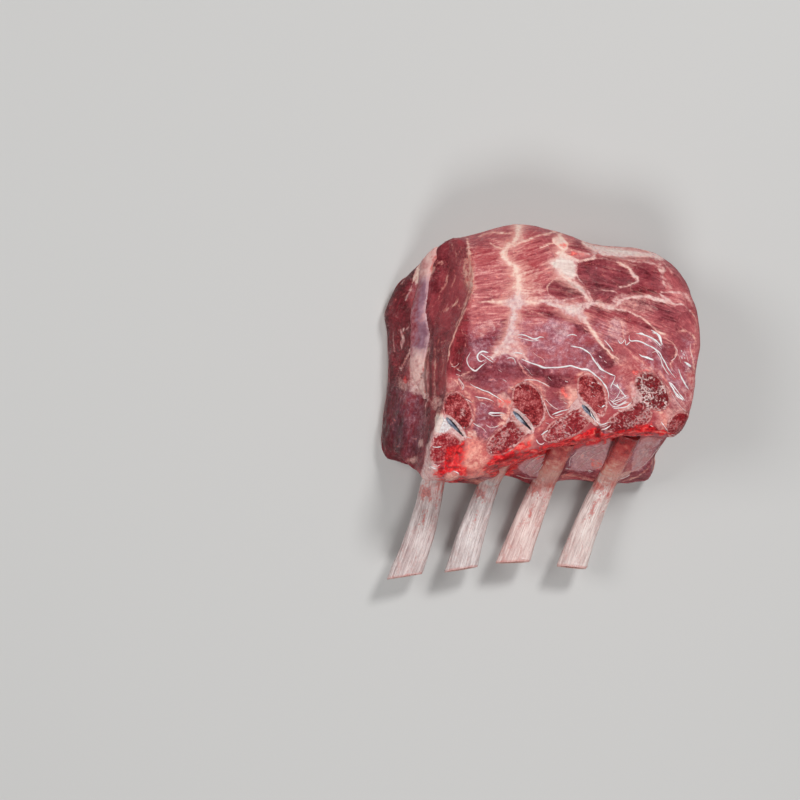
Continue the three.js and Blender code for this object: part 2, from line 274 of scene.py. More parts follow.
def rib_line(name, u):
    (hx, hy), (ex, ey), (tx, ty), bend, _, _ = RIBS[name]
    keys = []
    for t, z in RIB_HEIGHTS:
        a, b = min(1, t), max(0, t - 1)
        keys.append([lerp(hx, ex, a) + (tx - ex) * b + bend * math.sin(math.pi * b) - CENTRE[0],
                     lerp(hy, ey, a) + (ty - ey) * b - CENTRE[1], z])
    return open_curve(np.array(keys, float), u)


# ---- half vertebrae --------------------------------------------------------------------------------------------------
VERTEBRAE = {
    "vertebra_1": dict(body=(-35.6, -16.6, 7.0, 4.8, 50), lobe=(-30.9, -4.2, 5.0, 7.2, 20), canal=(-31.9, -9.9, 5.4, 1.5, -49)),
    "vertebra_2": dict(body=(-12.5, -13.7, 9.0, 4.3, 37), lobe=(-4.9, -1.8, 5.6, 8.6, 20), canal=(-7.2, -7.6, 5.5, 1.7, -48)),
    "vertebra_3": dict(body=(9.2, -9.7, 9.8, 4.1, 27), lobe=(18.3, 1.6, 4.8, 8.4, 22), canal=(17.2, -4.6, 5.2, 1.4, -51)),
    "vertebra_4": dict(body=(31.8, -7.4, 8.8, 4.2, 20), lobe=(40.4, 3.2, 5.0, 8.0, 38), canal=None),
    "vertebra_5": dict(body=(50.2, -9.0, 5.0, 3.8, 55), lobe=None, canal=None),
}


def ellipse_sd(x, y, e):
    """Signed distance to an ellipse, nearly, at row-frame places."""
    cx, cy, a, b, turn = e
    c, d = math.cos(math.radians(turn)), math.sin(math.radians(turn))
    px, py = x - (cx - CENTRE[0]), y - (cy - CENTRE[1])
    u, v = px * c + py * d, -px * d + py * c
    k0 = np.sqrt((u / a) ** 2 + (v / b) ** 2)
    k1 = np.sqrt((u / a**2) ** 2 + (v / b**2) ** 2)
    return k0 * (k0 - 1) / np.maximum(k1, 1e-6)


def bone_sd(x, y, v):
    """(distance to body or lobe, to the bridge between them, to the canal)"""
    body = ellipse_sd(x, y, v["body"])
    lobe = ellipse_sd(x, y, v["lobe"]) if v["lobe"] else np.full(x.shape, 99.0)
    bridge = np.full(x.shape, 99.0)
    if v["lobe"]:
        b, l = v["body"], v["lobe"]
        turn = math.degrees(math.atan2(l[1] - b[1], l[0] - b[0]))
        bridge = ellipse_sd(x, y, ((b[0] + l[0]) / 2, (b[1] + l[1]) / 2, 8, 3.6, turn))
    canal = ellipse_sd(x, y, v["canal"]) if v["canal"] else np.full(x.shape, 99.0)
    return body, lobe, bridge, canal


# ---- drawn lines, patches and fibre directions --------------------------------------------------------------------------
# Lines: (width mm, strength, warmth, "x,y[,width] ..."). Patches: (value, x, y, half length, half width, turn, softness).
# Areas: (field, value, softness, outline). Fibres: (x, y, reach, direction in degrees, strength).
# >>> drawn lines
FAT_LINES = [
    (3.3, 1, 0.1, "-8.3,66.1,3.3 -8.3,62.8,3.3 -9.4,60.2,2.93 -12.0,58.0,2.57 -13.8,56.2,2.2 -13.4,54.0,2.2 -11.3,52.1,3.3 -9.4,49.9,4.4 -8.3,47.0,4.76 -8.3,43.7,5.13 -8.3,40.4,5.13 -9.1,37.8,4.76 -9.8,34.9,2.93 -10.2,31.6,2.57 -10.5,28.7,2.93 -10.9,26.1,2.93"),
    (2.57, 1, 0.1, "-10.9,26.5,3.3 -12.4,23.9,2.57 -14.2,21.7,2.57 -16.0,19.5,2.2 -17.8,17.3,1.47"),
    (2.93, 0.9, 0.35, "-10.5,25.8,3.3 -9.8,23.2,3.3 -8.0,20.6,2.93 -6.1,18.4,2.2 -5.0,16.6,1.1"),
    (0.92, 0.9, 0.3, "-18.6,59.5 -15.6,58.0 -12.7,57.3"),
    (1.1, 0.9, 0.35, "-11.6,57.6 -9.1,58.7 -4.3,60.6 1.6,62.4 5.6,63.5"),
    (0.73, 0.8, 0.4, "-10.2,55.8 -4.7,57.3 1.6,58.7 5.6,59.8"),
    (0.59, 0.8, 0.4, "-5.8,60.2 -3.6,62.0 -1.7,63.9"),
    (1.1, 0.8, 0.5, "-23.0,62.0 -19.3,63.1 -14.9,63.1 -10.5,63.5"),
    (1.32, 1, 0.1, "-23.7,37.5,0.44 -19.3,37.7,0.95 -14.9,37.8,2.02 -10.5,37.3,3.3 -4.7,37.3,2.2 1.6,37.8,1.47"),
    (0.73, 0.8, 0.2, "-20.0,38.9 -16.0,38.6 -12.4,38.6 -10.2,40.4"),
    (0.66, 0.7, 0.2, "-8.3,52.1 -3.9,52.9 -0.3,54.3"),
    (0.66, 0.75, 0.2, "-8.3,48.1 -4.7,48.5 -1.0,49.2"),
    (0.66, 0.7, 0.2, "-7.6,44.1 -3.2,44.4 1.6,43.7"),
    (0.81, 0.7, 0.2, "-7.6,41.9 -3.2,41.9 1.9,40.8"),
    (0.66, 0.75, 0.2, "-7.6,39.7 -2.5,39.3 2.3,38.9"),
    (0.55, 0.7, 0.3, "-24.4,48.8 -19.3,49.9 -14.9,51.0 -10.9,52.1"),
    (0.44, 0.62, 0.4, "-24.4,45.9 -18.6,46.6 -12.0,47.4"),
    (0.44, 0.62, 0.4, "-24.4,42.6 -18.6,43.3 -12.0,43.7"),
    (0.44, 0.62, 0.4, "-23.7,53.6 -19.3,54.3 -14.9,55.1"),
    (0.48, 0.7, 0.3, "-23.7,34.2 -20.0,34.9 -14.9,35.3 -11.3,34.9"),
    (0.48, 0.7, 0.3, "-8.0,34.9 -3.2,35.3 1.6,34.9"),
    (0.48, 0.7, 0.2, "-17.5,30.5 -14.5,31.3 -12.0,32.4"),
    (0.81, 0.8, 0.6, "-8.7,16.6 -7.6,14.4 -6.1,12.2 -3.6,10.0 -0.3,8.2 3.0,6.3"),
    (0.66, 0.9, 0.2, "-30.3,10.0 -28.1,11.1 -25.9,12.2 -24.4,13.3"),
    (1.1, 0.95, 0.5, "-27.0,60.9,1.1 -26.6,57.3,1.1 -26.3,54.0,1.47 -25.5,50.7,1.1 -25.2,47.4,1.1 -25.2,44.1,1.47 -25.5,41.5,1.1 -26.6,38.9,0.73"),
    (1.47, 0.9, 0.4, "-27.7,52.5,1.1 -28.1,49.6,1.47 -27.4,46.3,1.83 -26.3,43.0,1.83"),
    (0.81, 0.85, 0.6, "-27.0,39.7 -28.1,37.1 -28.5,34.9"),
    (0.73, 0.8, 0.6, "-30.3,34.9 -28.1,35.6 -25.9,34.9"),
    (1.1, 0.9, 0.5, "-28.1,34.6,1.47 -29.6,32.4,1.25 -30.3,29.8,0.95 -31.4,26.9,0.81 -32.5,23.9,0.81 -33.6,21.0,0.73 -34.0,18.1,0.59 -34.3,15.5,0.51"),
    (0.51, 0.8, 0.5, "-29.2,27.6 -28.5,25.8 -25.9,24.3"),
    (0.4, 0.7, 0.5, "-27.4,23.9 -27.7,21.7 -27.0,19.9"),
    (0.59, 0.75, 0.7, "-32.9,15.5 -31.8,13.7 -30.3,13.3 -29.6,15.1"),
    (0.59, 0.7, 0.7, "-37.6,22.8 -35.1,23.6 -32.5,23.2"),
    (0.53, 0.87, 0.9, "-32.9,58.7 -31.8,55.8 -31.0,52.5"),
    (0.62, 0.89, 0.9, "-36.9,52.9 -35.4,50.3 -34.3,47.4 -34.7,44.4 -36.2,42.2 -37.3,40.0 -37.6,37.8"),
    (0.88, 0.87, 0.9, "-36.9,52.5 -39.1,50.7 -40.9,48.5"),
    (0.62, 0.82, 0.9, "-31.4,47.4 -32.1,44.8 -33.2,43.0"),
    (0.88, 0.87, 0.9, "-30.7,39.3 -31.0,37.5 -32.5,36.0"),
    (0.62, 0.82, 0.9, "-37.3,33.8 -34.7,35.3"),
    (0.48, 0.72, 0.9, "-33.2,31.6 -32.1,29.1 -32.5,26.5"),
    (0.48, 0.72, 0.9, "-39.5,36.4 -39.1,31.6 -37.6,28.7"),
    (0.44, 0.72, 0.9, "-29.6,58.0 -29.2,53.6 -29.9,49.9"),
    (0.62, 0.74, 0.9, "-39.1,21.7 -38.7,17.0 -39.1,11.8 -39.5,6.7"),
    (0.53, 0.72, 0.9, "-36.5,19.9 -35.8,15.5 -36.2,11.1"),
    (0.66, 0.55, 0.2, "-41.3,54.0,0.44 -40.6,50.7,0.73 -40.6,47.0,0.73 -41.3,43.0,0.88 -42.4,39.3,0.95 -42.8,35.3,0.95 -42.0,31.6,1.1 -40.9,27.6,1.25 -40.9,23.2,1.25 -41.3,18.8,1.25 -41.7,14.0,1.47 -41.7,8.9,1.47 -42.0,4.5,1.1 -42.4,0.8,0.92"),
    (0.95, 0.92, 0.8, "-51.6,26.9 -48.6,28.3 -46.1,29.8"),
    (1.14, 0.87, 0.8, "-51.2,26.1 -50.8,23.6 -51.2,21.0"),
    (0.95, 0.87, 0.8, "-52.3,12.2 -50.8,14.8 -49.4,17.3 -48.3,19.9"),
    (0.86, 0.87, 0.7, "-49.7,38.2 -48.3,40.8 -47.2,43.0"),
    (0.67, 0.82, 0.7, "-48.6,48.8 -46.8,51.0"),
    (0.67, 0.82, 0.7, "-51.6,43.7 -50.1,45.9"),
    (0.62, 0.77, 0.8, "-54.1,27.2 -53.8,21.7 -54.1,17.0"),
    (0.81, 0.5, 0.6, "-42.4,0.1 -42.4,-3.2 -42.8,-7.2 -43.1,-11.6"),
    (0.48, 0.42, 0.6, "-53.0,6.0 -53.8,2.3 -54.5,-1.7"),
    (0.44, 0.4, 0.6, "-49.7,3.4 -50.1,-1.4 -49.7,-5.8"),
    (0.44, 0.4, 0.6, "-46.8,2.3 -47.2,-2.8 -46.8,-7.6"),
    (0.44, 0.4, 0.6, "-52.3,-5.8 -52.7,-10.9 -51.9,-16.0"),
    (0.44, 0.4, 0.6, "-48.6,-9.4 -48.3,-14.2 -48.6,-17.5"),
    (0.88, 0.6, 0.5, "-39.1,9.6,0.73 -39.1,6.0,0.73 -39.1,2.3,1.83 -38.4,-0.6,2.2 -36.9,-2.5,1.83"),
    (0.59, 0.5, 0.5, "-36.5,10.4 -36.9,6.0 -36.5,2.3"),
    (1.1, 0.9, 0.3, "-0.3,57.6 2.3,58.4 4.9,59.5 7.1,60.2"),
    (4.4, 1, 0.05, "7.1,61.7,2.2 7.8,58.7,4.03 7.8,55.4,3.66 7.4,52.1,5.5 7.8,49.2,5.5 9.3,46.6,3.66 11.1,44.8,2.57 13.3,43.3,2.2 15.5,41.1,1.83 17.3,38.9,1.83"),
    (0.73, 0.85, 0.3, "9.3,55.8 12.2,56.5 15.5,55.8 18.4,55.4 20.6,56.2"),
    (1.03, 1, 0.1, "7.8,54.3 11.5,52.9 15.5,52.9 18.8,54.0 21.0,56.2"),
    (0.51, 0.7, 0.6, "13.7,58.0 16.6,57.3 19.5,56.5"),
    (2.93, 1, 0, "15.5,59.5,1.47 19.2,57.6,2.57 23.9,56.9,3.3 28.7,56.2,3.66 33.5,55.4,3.3 37.9,55.1,2.57 41.9,54.3,1.83 45.2,53.2,1.1"),
    (0.73, 0.85, 0.3, "13.7,52.1 18.1,53.2 23.2,53.6 28.3,52.5 33.1,52.1 38.2,52.5 41.9,51.8 44.1,50.7"),
    (1.25, 0.95, 0.2, "28.0,52.1,0.88 30.5,51.4,1.47 32.4,49.9,1.61 33.8,48.1,1.32 35.3,46.3,1.25 35.7,45.2,1.17 33.8,44.1,0.95 31.6,43.3,0.88 29.1,43.0,0.73"),
    (0.44, 0.7, 0.5, "23.6,50.3 26.5,49.9 29.1,48.8"),
    (0.73, 0.8, 0.3, "13.3,51.4 12.9,48.8 14.0,46.3 15.9,43.7"),
    (0.51, 0.8, 0.5, "19.9,42.2 23.2,41.9 26.1,41.9 28.0,40.8"),
    (1.1, 0.85, 0.4, "17.3,41.5 18.1,39.3 19.5,37.5"),
    (0.66, 0.9, 0.2, "2.3,43.0 4.1,45.2 6.3,46.6 9.3,45.9"),
    (0.73, 0.85, 0.2, "2.3,42.6 3.0,40.4 4.5,38.6 7.1,37.8"),
    (0.73, 0.8, 0.3, "6.3,37.8 10.0,38.6 13.7,38.9 16.6,39.7"),
    (3.3, 1, 0.1, "1.6,37.8,1.47 5.2,36.7,2.2 8.2,35.6,3.3 11.1,34.2,4.4 13.7,33.1,3.66 15.9,31.3,2.57 17.3,29.1,1.83 18.8,26.9,1.69 20.3,25.0,1.61 21.7,23.2,1.47 22.8,21.4,1.25 24.7,19.9,0.88 26.5,18.1,0.73 28.3,16.6,0.73"),
    (1.32, 0.9, 0.2, "13.3,36.4,1.47 17.3,36.7,1.61 21.0,37.1,1.47 24.3,36.4,1.61 26.5,35.6,1.61"),
    (1.25, 0.95, 0.15, "21.7,36.4,1.47 26.1,35.3,1.61 28.3,37.1,1.47 30.5,38.6,1.47 34.2,39.3,1.47 37.9,39.3,1.47 41.5,38.6,1.32 45.2,37.8,1.25 48.8,36.7,1.1 52.5,36.4,0.88"),
    (0.95, 0.9, 0.15, "26.9,36.0 29.4,34.6 32.7,33.8 35.7,32.4 38.2,30.9 40.4,28.7 42.6,26.9 45.2,25.8"),
    (0.88, 0.7, 0.5, "43.3,51.4,1.1 44.8,48.8,1.47 44.8,45.9,1.32 45.9,43.3,1.1"),
    (0.95, 0.8, 0.3, "44.4,41.5 47.4,41.5 51.0,41.1"),
    (1.1, 0.85, 0.3, "44.1,40.4 45.9,38.9 48.1,37.5"),
    (1.1, 0.75, 0.4, "50.3,40.8,0.73 52.5,40.4,1.69 54.3,38.9,1.69 55.8,36.7,0.88"),
    (0.73, 0.75, 0.5, "53.2,35.6 55.4,33.8 56.9,31.3 57.6,28.3"),
    (1.1, 0.8, 0.45, "50.3,26.9 52.9,26.9 55.1,26.1 56.5,23.9 56.2,21.0 55.4,18.4 56.2,15.1 56.5,11.5"),
    (0.73, 0.85, 0.35, "45.2,24.7 47.4,23.2 49.2,21.4 49.9,19.2 49.2,17.0 47.7,14.8 48.1,12.2"),
    (0.95, 0.8, 0.3, "29.8,30.5 30.2,27.2 30.9,23.9"),
    (0.59, 0.75, 0.3, "26.1,29.8 25.4,26.9 26.1,23.9"),
    (0.44, 0.75, 0.3, "15.1,20.6 17.0,22.1 19.2,23.2 21.4,22.8"),
    (0.59, 0.75, 0.4, "17.7,17.7 20.3,19.2 22.5,20.3"),
    (0.51, 0.7, 0.5, "33.1,19.2 30.9,20.3 28.0,20.6"),
    (0.88, 0.7, 0.7, "34.2,17.7 36.8,15.9 39.3,13.7 42.2,11.8"),
    (0.88, 0.75, 0.7, "24.3,19.2 27.6,16.2 29.8,14.0 32.7,16.2"),
    (1.1, 0.7, 0.6, "42.2,50.7 44.8,52.1 47.0,50.7 48.8,48.5"),
    (0.51, 0.66, 0.6, "49.6,48.5 51.4,45.9 52.5,42.6"),
    (0.48, 0.66, 0.5, "21.7,32.4 24.7,31.6 28.0,31.3"),
    (0.48, 0.66, 0.5, "36.4,30.2 40.1,27.2 44.4,24.3"),
    (0.59, 0.7, 0.6, "-6.1,34.6 -1.7,33.8 2.7,31.6 7.1,30.2 11.5,29.1"),
    (0.48, 0.7, 0.5, "11.8,31.6 14.4,29.4 17.3,26.5 19.9,23.9"),
    (1.83, 0.58, 0.75, "-34.3,3.8 -32.1,4.9 -29.2,4.9 -26.6,3.8 -25.2,1.6 -24.4,-1.7 -24.8,-5.0 -25.5,-8.7"),
    (0.73, 0.8, 0.6, "-33.2,9.6 -31.0,8.2 -29.2,6.0 -28.8,4.1"),
    (0.55, 0.8, 0.4, "-24.4,-1.7 -22.2,-2.8 -20.0,-3.9 -18.2,-6.1"),
    (0.48, 0.75, 0.4, "-24.1,-7.2 -22.2,-8.3 -20.8,-9.4"),
    (0.48, 0.8, 0.3, "-20.4,-7.2 -18.6,-8.7 -16.4,-8.0 -14.5,-7.2"),
    (1.83, 0.62, 0.75, "-11.3,4.5 -9.8,6.7 -6.9,8.2 -3.9,8.2 -1.0,6.7 0.8,3.8 1.6,0.1 1.6,-3.9 0.8,-7.6 -1.0,-9.8"),
    (0.73, 0.8, 0.5, "0.1,3.0 1.6,0.8 3.8,-0.6 6.3,-1.4"),
    (0.73, 0.8, 0.5, "0.5,1.2 1.6,-1.7 2.7,-3.9 4.5,-5.0 7.1,-4.3"),
    (3.3, 0.85, 0.35, "10.4,6.0,2.2 11.8,3.0,3.3 12.6,0.1,3.66 11.1,-2.1,2.57"),
    (1.83, 0.58, 0.75, "13.7,9.6 15.5,12.2 18.1,11.5 20.6,9.6 22.8,6.7 23.9,3.0 23.9,-0.6 22.5,-3.9"),
    (2.93, 0.8, 0.5, "33.5,7.8,1.83 34.6,4.5,2.93 34.6,1.2,3.3 32.7,-1.0,2.57 29.1,-2.1,1.47"),
    (1.83, 0.55, 0.75, "36.4,10.4 39.3,12.2 42.6,11.5 45.5,8.9 47.0,5.2 47.0,0.8 45.2,-2.5"),
    (1.83, 0.75, 0.5, "43.7,-2.8 45.2,-5.0 45.5,-8.0 43.7,-9.4"),
    (1.47, 0.8, 0.5, "-15.3,2.3 -13.4,0.1 -11.6,-2.1 -12.0,-4.7 -14.9,-7.6"),
    (1.1, 0.8, 0.5, "-13.8,-7.2 -10.9,-6.1 -7.6,-6.5 -4.7,-8.7 -3.2,-11.6 -3.9,-14.2"),
    (0.88, 0.7, 0.5, "-20.0,-13.5 -17.8,-10.9 -15.3,-8.7"),
    (0.88, 0.7, 0.4, "1.6,-13.1 4.1,-8.7 7.4,-5.8 10.7,-3.6 14.4,-2.5"),
    (0.88, 0.7, 0.4, "22.1,-8.7 25.4,-10.2 30.9,-10.5 36.4,-9.1"),
    (7.33, 0.62, 0.9, "-25.2,-17.5,4.4 -22.2,-19.3,8.06 -19.7,-21.9,5.86 -17.1,-24.1,3.3"),
    (4.4, 0.85, 0.8, "-26.6,-13.1,2.2 -24.4,-15.3,5.13"),
    (3.3, 0.85, 0.8, "-7.6,-15.3,3.66 -4.3,-13.5,2.93 -2.8,-10.9,1.1"),
    (0.73, 0.6, 0.6, "-26.4,59.1 -27.0,56.5 -27.8,52.1,0.95 -27.7,47.4 -27.2,43.3,0.88"),
    (0.66, 0.6, 0.6, "-26.3,59.1 -25.2,55.1 -24.8,49.9,0.88 -25.0,45.5,1.03 -25.9,42.2,1.1"),
    (0.44, 0.6, 0.2, "-43.9,43.3,0.59 -46.8,41.9 -49.7,40.0,0.29"),
    (0.37, 0.5, 0.2, "-43.5,39.7,0.51 -47.2,37.5 -50.1,35.6 -52.3,34.6,0.26"),
    (0.37, 0.6, 0.2, "-43.1,30.9,0.66 -47.2,28.3,0.59 -50.1,26.9,0.66 -51.2,24.7,0.51 -50.8,22.1,0.26"),
    (0.33, 0.4, 0.2, "-45.0,35.3,0.44 -48.6,32.7 -51.2,31.3,0.26"),
    (0.29, 0.4, 0.2, "-44.2,25.8,0.44 -47.2,22.8 -49.0,19.9,0.26"),
    (0.55, 0.8, 0.7, "-39.1,18.8,0.37 -38.4,15.5,0.73 -39.1,10.4,0.59 -38.7,5.2,0.51"),
    (0.51, 0.75, 0.7, "-39.8,22.1,0.44 -38.0,19.5,0.51 -36.5,21.0,0.44 -33.6,22.8,0.59"),
    (0.95, 0.85, 0.4, "-28.1,47.0,0.73 -26.3,44.4,1.47 -25.9,42.6,1.1 -27.0,40.4,0.73"),
    (0.88, 0.85, 0.25, "-8.3,44.8,0.88 -5.0,45.2,0.73 -1.7,45.9,0.29"),
    (0.95, 0.9, 0.2, "-8.3,43.0,1.1 -4.7,43.0,0.88 -0.3,42.6,0.29"),
    (0.88, 0.9, 0.2, "-8.3,41.1,1.1 -3.9,40.8,0.88 0.8,40.8,0.29"),
    (0.88, 0.85, 0.25, "-8.0,39.3,0.95 -3.9,38.9,0.73 0.5,38.6,0.29"),
    (0.66, 0.8, 0.3, "-10.5,44.4,0.73 -13.8,44.1,0.51 -17.1,44.4,0.22"),
    (0.66, 0.8, 0.3, "-10.9,40.0,0.73 -14.9,39.7,0.51 -18.6,40.0,0.22"),
    (0.55, 0.85, 0.75, "45.2,-13.5,0.37 43.7,-17.5,0.51 40.8,-22.6,0.59 37.5,-25.9,0.66 33.5,-28.1,0.59 29.8,-28.7,0.37"),
    (0.33, 0.7, 0.8, "42.2,-15.7 40.8,-19.0 39.0,-21.5"),
    (0.33, 0.7, 0.8, "43.3,-17.5 40.8,-20.1 38.2,-23.3"),
    (0.4, 0.7, 0.85, "18.1,-24.1 20.3,-22.6 21.7,-20.4"),
    (0.37, 0.7, 0.85, "19.2,-25.2 21.0,-23.7 22.5,-21.9"),
    (0.37, 0.6, 0.3, "12.9,-21.5 15.1,-19.7 18.1,-18.2 21.0,-16.4"),
    (0.33, 0.5, 0.3, "14.4,-23.3 17.3,-21.1 20.3,-19.3"),
    (0.37, 0.6, 0.3, "-6.1,-25.5 -3.9,-23.3 -1.7,-21.5 0.8,-20.1"),
    (0.33, 0.5, 0.3, "-3.9,-26.3 -1.4,-23.7 1.6,-21.5"),
    (0.59, 0.8, 0.85, "7.1,-25.5,0.44 11.5,-27.0,0.66 16.6,-27.7,0.59 20.3,-26.6,0.44"),
    (0.88, 1, 0.7, "-27.0,39.7,0.88 -27.9,36.7,0.88 -28.8,34.2,0.88 -29.9,32.4,0.81 -30.7,29.8,0.81 -31.4,27.2,0.73 -32.5,23.9,0.73 -33.6,21.0,0.66 -34.3,17.7,0.59"),
    (0.59, 0.95, 0.45, "-38.2,51.8,0.51 -36.8,52.7,0.73 -34.9,49.4,0.51 -34.4,47.0,0.59 -34.9,43.7,0.51 -37.3,40.9,0.44 -37.7,38.6,0.37"),
    (0.48, 0.9, 0.45, "-32.7,58.0 -31.4,55.1 -31.1,51.8"),
    (0.44, 0.85, 0.45, "-31.6,46.6 -32.1,44.1"),
    (0.55, 0.9, 0.45, "-36.8,33.8 -35.4,34.3 -34.0,35.3"),
    (0.62, 0.95, 0.45, "-32.5,36.6 -30.9,37.6 -30.5,38.9"),
    (0.4, 0.8, 0.5, "-37.6,39.3 -36.2,37.5 -34.3,36.4"),
    (0.37, 0.75, 0.5, "-35.8,35.6 -34.7,38.2"),
    (0.37, 0.75, 0.5, "-33.6,32.7 -31.4,31.3 -29.9,29.1"),
    (0.37, 0.7, 0.5, "-39.8,36.4 -39.1,32.7 -38.4,28.7 -36.9,25.8"),
    (0.33, 0.6, 0.4, "-54.1,4.5 -53.8,2.1 -52.7,-0.6"),
    (0.33, 0.6, 0.4, "-51.3,4.0 -51.8,1.2 -52.7,-1.7"),
    (0.33, 0.6, 0.4, "-48.5,2.6 -49.0,-0.6 -49.2,-4.5"),
    (0.33, 0.6, 0.4, "-50.6,-8.3 -50.2,-11.1 -49.7,-13.8"),
    (0.33, 0.6, 0.4, "-46.6,-8.3 -47.1,-11.1 -48.0,-14.4"),
    (0.33, 0.6, 0.4, "-45.2,-5.4 -45.2,-8.3 -44.5,-12.0"),
    (0.33, 0.55, 0.4, "-56.0,-11.1 -54.6,-14.8 -53.8,-18.6"),
    (0.33, 0.55, 0.4, "-57.6,-14.6 -56.5,-18.1"),
    (0.29, 0.55, 0.4, "-52.7,-5.8 -52.1,-9.1 -51.6,-12.0"),
    (0.29, 0.55, 0.4, "-54.5,-2.8 -54.1,-6.1 -54.5,-9.4"),
    (0.29, 0.55, 0.4, "-46.4,1.6 -46.1,-1.4 -46.6,-4.3"),
    (0.29, 0.7, 0.9, "40.8,-14.6 40.1,-17.5 38.2,-20.1 36.8,-23.0"),
    (0.29, 0.6, 0.6, "11.1,-21.1 13.3,-19.7 15.5,-19.3"),
    (0.29, 0.6, 0.6, "12.2,-23.0 15.1,-21.5 18.1,-21.1"),
    (0.29, 0.6, 0.6, "21.7,-15.7 23.9,-16.4 25.4,-15.3"),
    (0.29, 0.6, 0.6, "-4.7,-21.9 -2.1,-20.8 0.5,-19.3"),
    (0.95, 0.72, 0.7, "0.9,3.5,0.59 2.0,-0.4,1.03 0.9,-4.9,0.95 -1.4,-8.2,0.51"),
    (0.88, 0.72, 0.7, "-29.1,3.8,0.59 -26.3,2.3,0.88 -24.6,-0.4,0.88 -24.4,-3.7,0.81 -25.2,-8.2,0.59"),
    (1.69, 0.58, 0.65, "-31.4,9.0,0.73 -28.1,7.4,1.47 -23.0,5.1,1.83 -17.8,3.0,1.69 -12.0,1.8,0.92"),
    (0.88, 0.6, 0.7, "-23.7,2.3,0.51 -20.0,1.2,0.95 -16.4,0.1,0.73"),
    (0.73, 0.6, 0.7, "-19.7,-3.6,0.51 -16.7,-5.0,0.81 -13.8,-5.8,0.59"),
    (1.1, 0.6, 0.6, "5.6,4.5,0.59 9.3,3.0,1.1 12.2,0.8,1.1 14.4,-1.7,0.66"),
    (0.95, 0.6, 0.6, "27.2,8.9,0.55 29.1,6.0,1.03 30.2,2.7,0.88 29.1,0.1,0.59"),
]
# painted shade: dark lines drawn in creases, beside the ribs and under the overhanging edge
SHADE_LINES = [
    (1.25, 0.9, 0, "-41.7,40.8 -42.0,37.1 -41.7,33.1 -40.2,29.8 -39.8,25.0 -40.2,19.9 -40.6,14.8 -40.6,8.9 -40.6,3.0"),
    (0.73, 0.7, 0, "-38.0,26.5 -37.6,21.4 -37.3,16.2 -37.6,10.4 -38.0,5.2"),
    (0.88, 0.7, 0, "-40.9,-1.4 -40.6,-5.8 -41.3,-10.2 -41.7,-15.3"),
    (0.44, 0.6, 0, "-9.8,-19.7 -5.6,-19.2 0.0,-18.1 4.5,-16.4 7.9,-15.1 12.4,-13.9"),
    (0.44, 0.5, 0, "29.1,-12.3 33.8,-11.9 38.4,-12.3 44.0,-12.8"),
    (0.48, 0.7, 0, "-34.7,26.5 -35.4,22.8 -36.9,19.2 -38.0,15.5"),
    (0.44, 0.6, 0, "-39.1,38.2 -38.4,31.6 -38.0,25.0 -38.4,19.2"),
    (0.59, 0.5, 0, "16.2,50.7 18.1,47.7 20.6,44.1 23.9,41.5"),
    (0.59, 0.5, 0, "3.0,43.3 5.6,44.8 8.9,44.8 12.6,43.3 16.2,41.1"),
    (0.4, 0.6, 0, "12.6,-16.4 10.4,-19.3 9.3,-22.2 10.0,-24.1"),
    (0.37, 0.5, 0, "26.9,-13.1 25.8,-17.1 23.2,-23.0 21.4,-25.9"),
    (0.37, 0.5, 0, "2.7,-19.0 0.1,-22.2 -2.5,-25.5 -3.9,-27.0"),
    (0.4, 0.55, 0, "34.9,-12.4 33.1,-16.8 31.3,-21.5 30.5,-24.4"),
    (0.33, 0.5, 0, "12.6,-16.8 16.2,-15.3 21.7,-13.8 26.5,-12.4"),
    (0.37, 0.5, 0, "18.1,-15.3 19.5,-16.8 18.8,-18.2"),
    (0.29, 0.45, 0, "15.1,-17.5 16.6,-18.6 15.9,-20.4"),
    (0.29, 0.45, 0, "38.6,-15.3 39.3,-17.5 38.2,-19.7"),
    (0.29, 0.4, 0, "36.4,-16.8 37.1,-19.7 36.0,-22.6"),
]
BLOOD_LINES = [
    (2.93, 1, 0, "-33.6,-16.0,1.47 -33.2,-19.0,2.93 -33.2,-21.9,3.3 -34.3,-24.4,2.57 -36.2,-25.5,1.1"),
    (2.2, 0.85, 0, "-29.9,-24.1,1.1 -29.2,-26.3,1.47 -30.7,-27.7,1.1"),
    (2.93, 1, 0, "-18.9,-22.2,1.1 -16.0,-22.6,3.3 -12.7,-21.5,3.3 -9.8,-19.7,2.2 -6.1,-18.6,1.47 -1.7,-17.9,1.47 2.7,-16.4,1.47 6.3,-14.6,1.83 10.4,-13.5,2.2 14.4,-12.7,2.2 18.1,-11.3,2.57 20.6,-10.9,1.83 23.9,-11.6,1.1 28.3,-10.5,1.47 32.7,-9.8,1.83 36.4,-8.7,2.57 39.3,-8.0,2.2 41.9,-9.1,1.83 44.4,-10.9,1.47"),
    (1.1, 0.8, 0, "-13.1,-17.5 -10.5,-16.0 -7.6,-14.6"),
    (3.3, 1, 0, "-14.9,-23.3 -10.5,-21.9 -6.1,-20.1 -0.3,-18.2"),
    (2.57, 1, 0, "2.7,-16.8 8.9,-15.3 16.2,-13.8 22.8,-12.4"),
    (2.2, 1, 0, "29.1,-11.6,2.57 34.2,-10.2,2.57 38.6,-9.1,1.83 42.2,-9.4,1.1 46.6,-10.5,0.59 49.6,-10.7,0.37"),
    (1.1, 1, 0, "-39.1,-25.5,0.59 -36.9,-24.4 -34.7,-23.7 -32.1,-23.5 -29.6,-24.1 -28.1,-25.7"),
    (0.95, 1, 0, "-36.5,-27.4 -33.2,-28.0 -29.9,-27.6 -28.1,-26.6"),
]
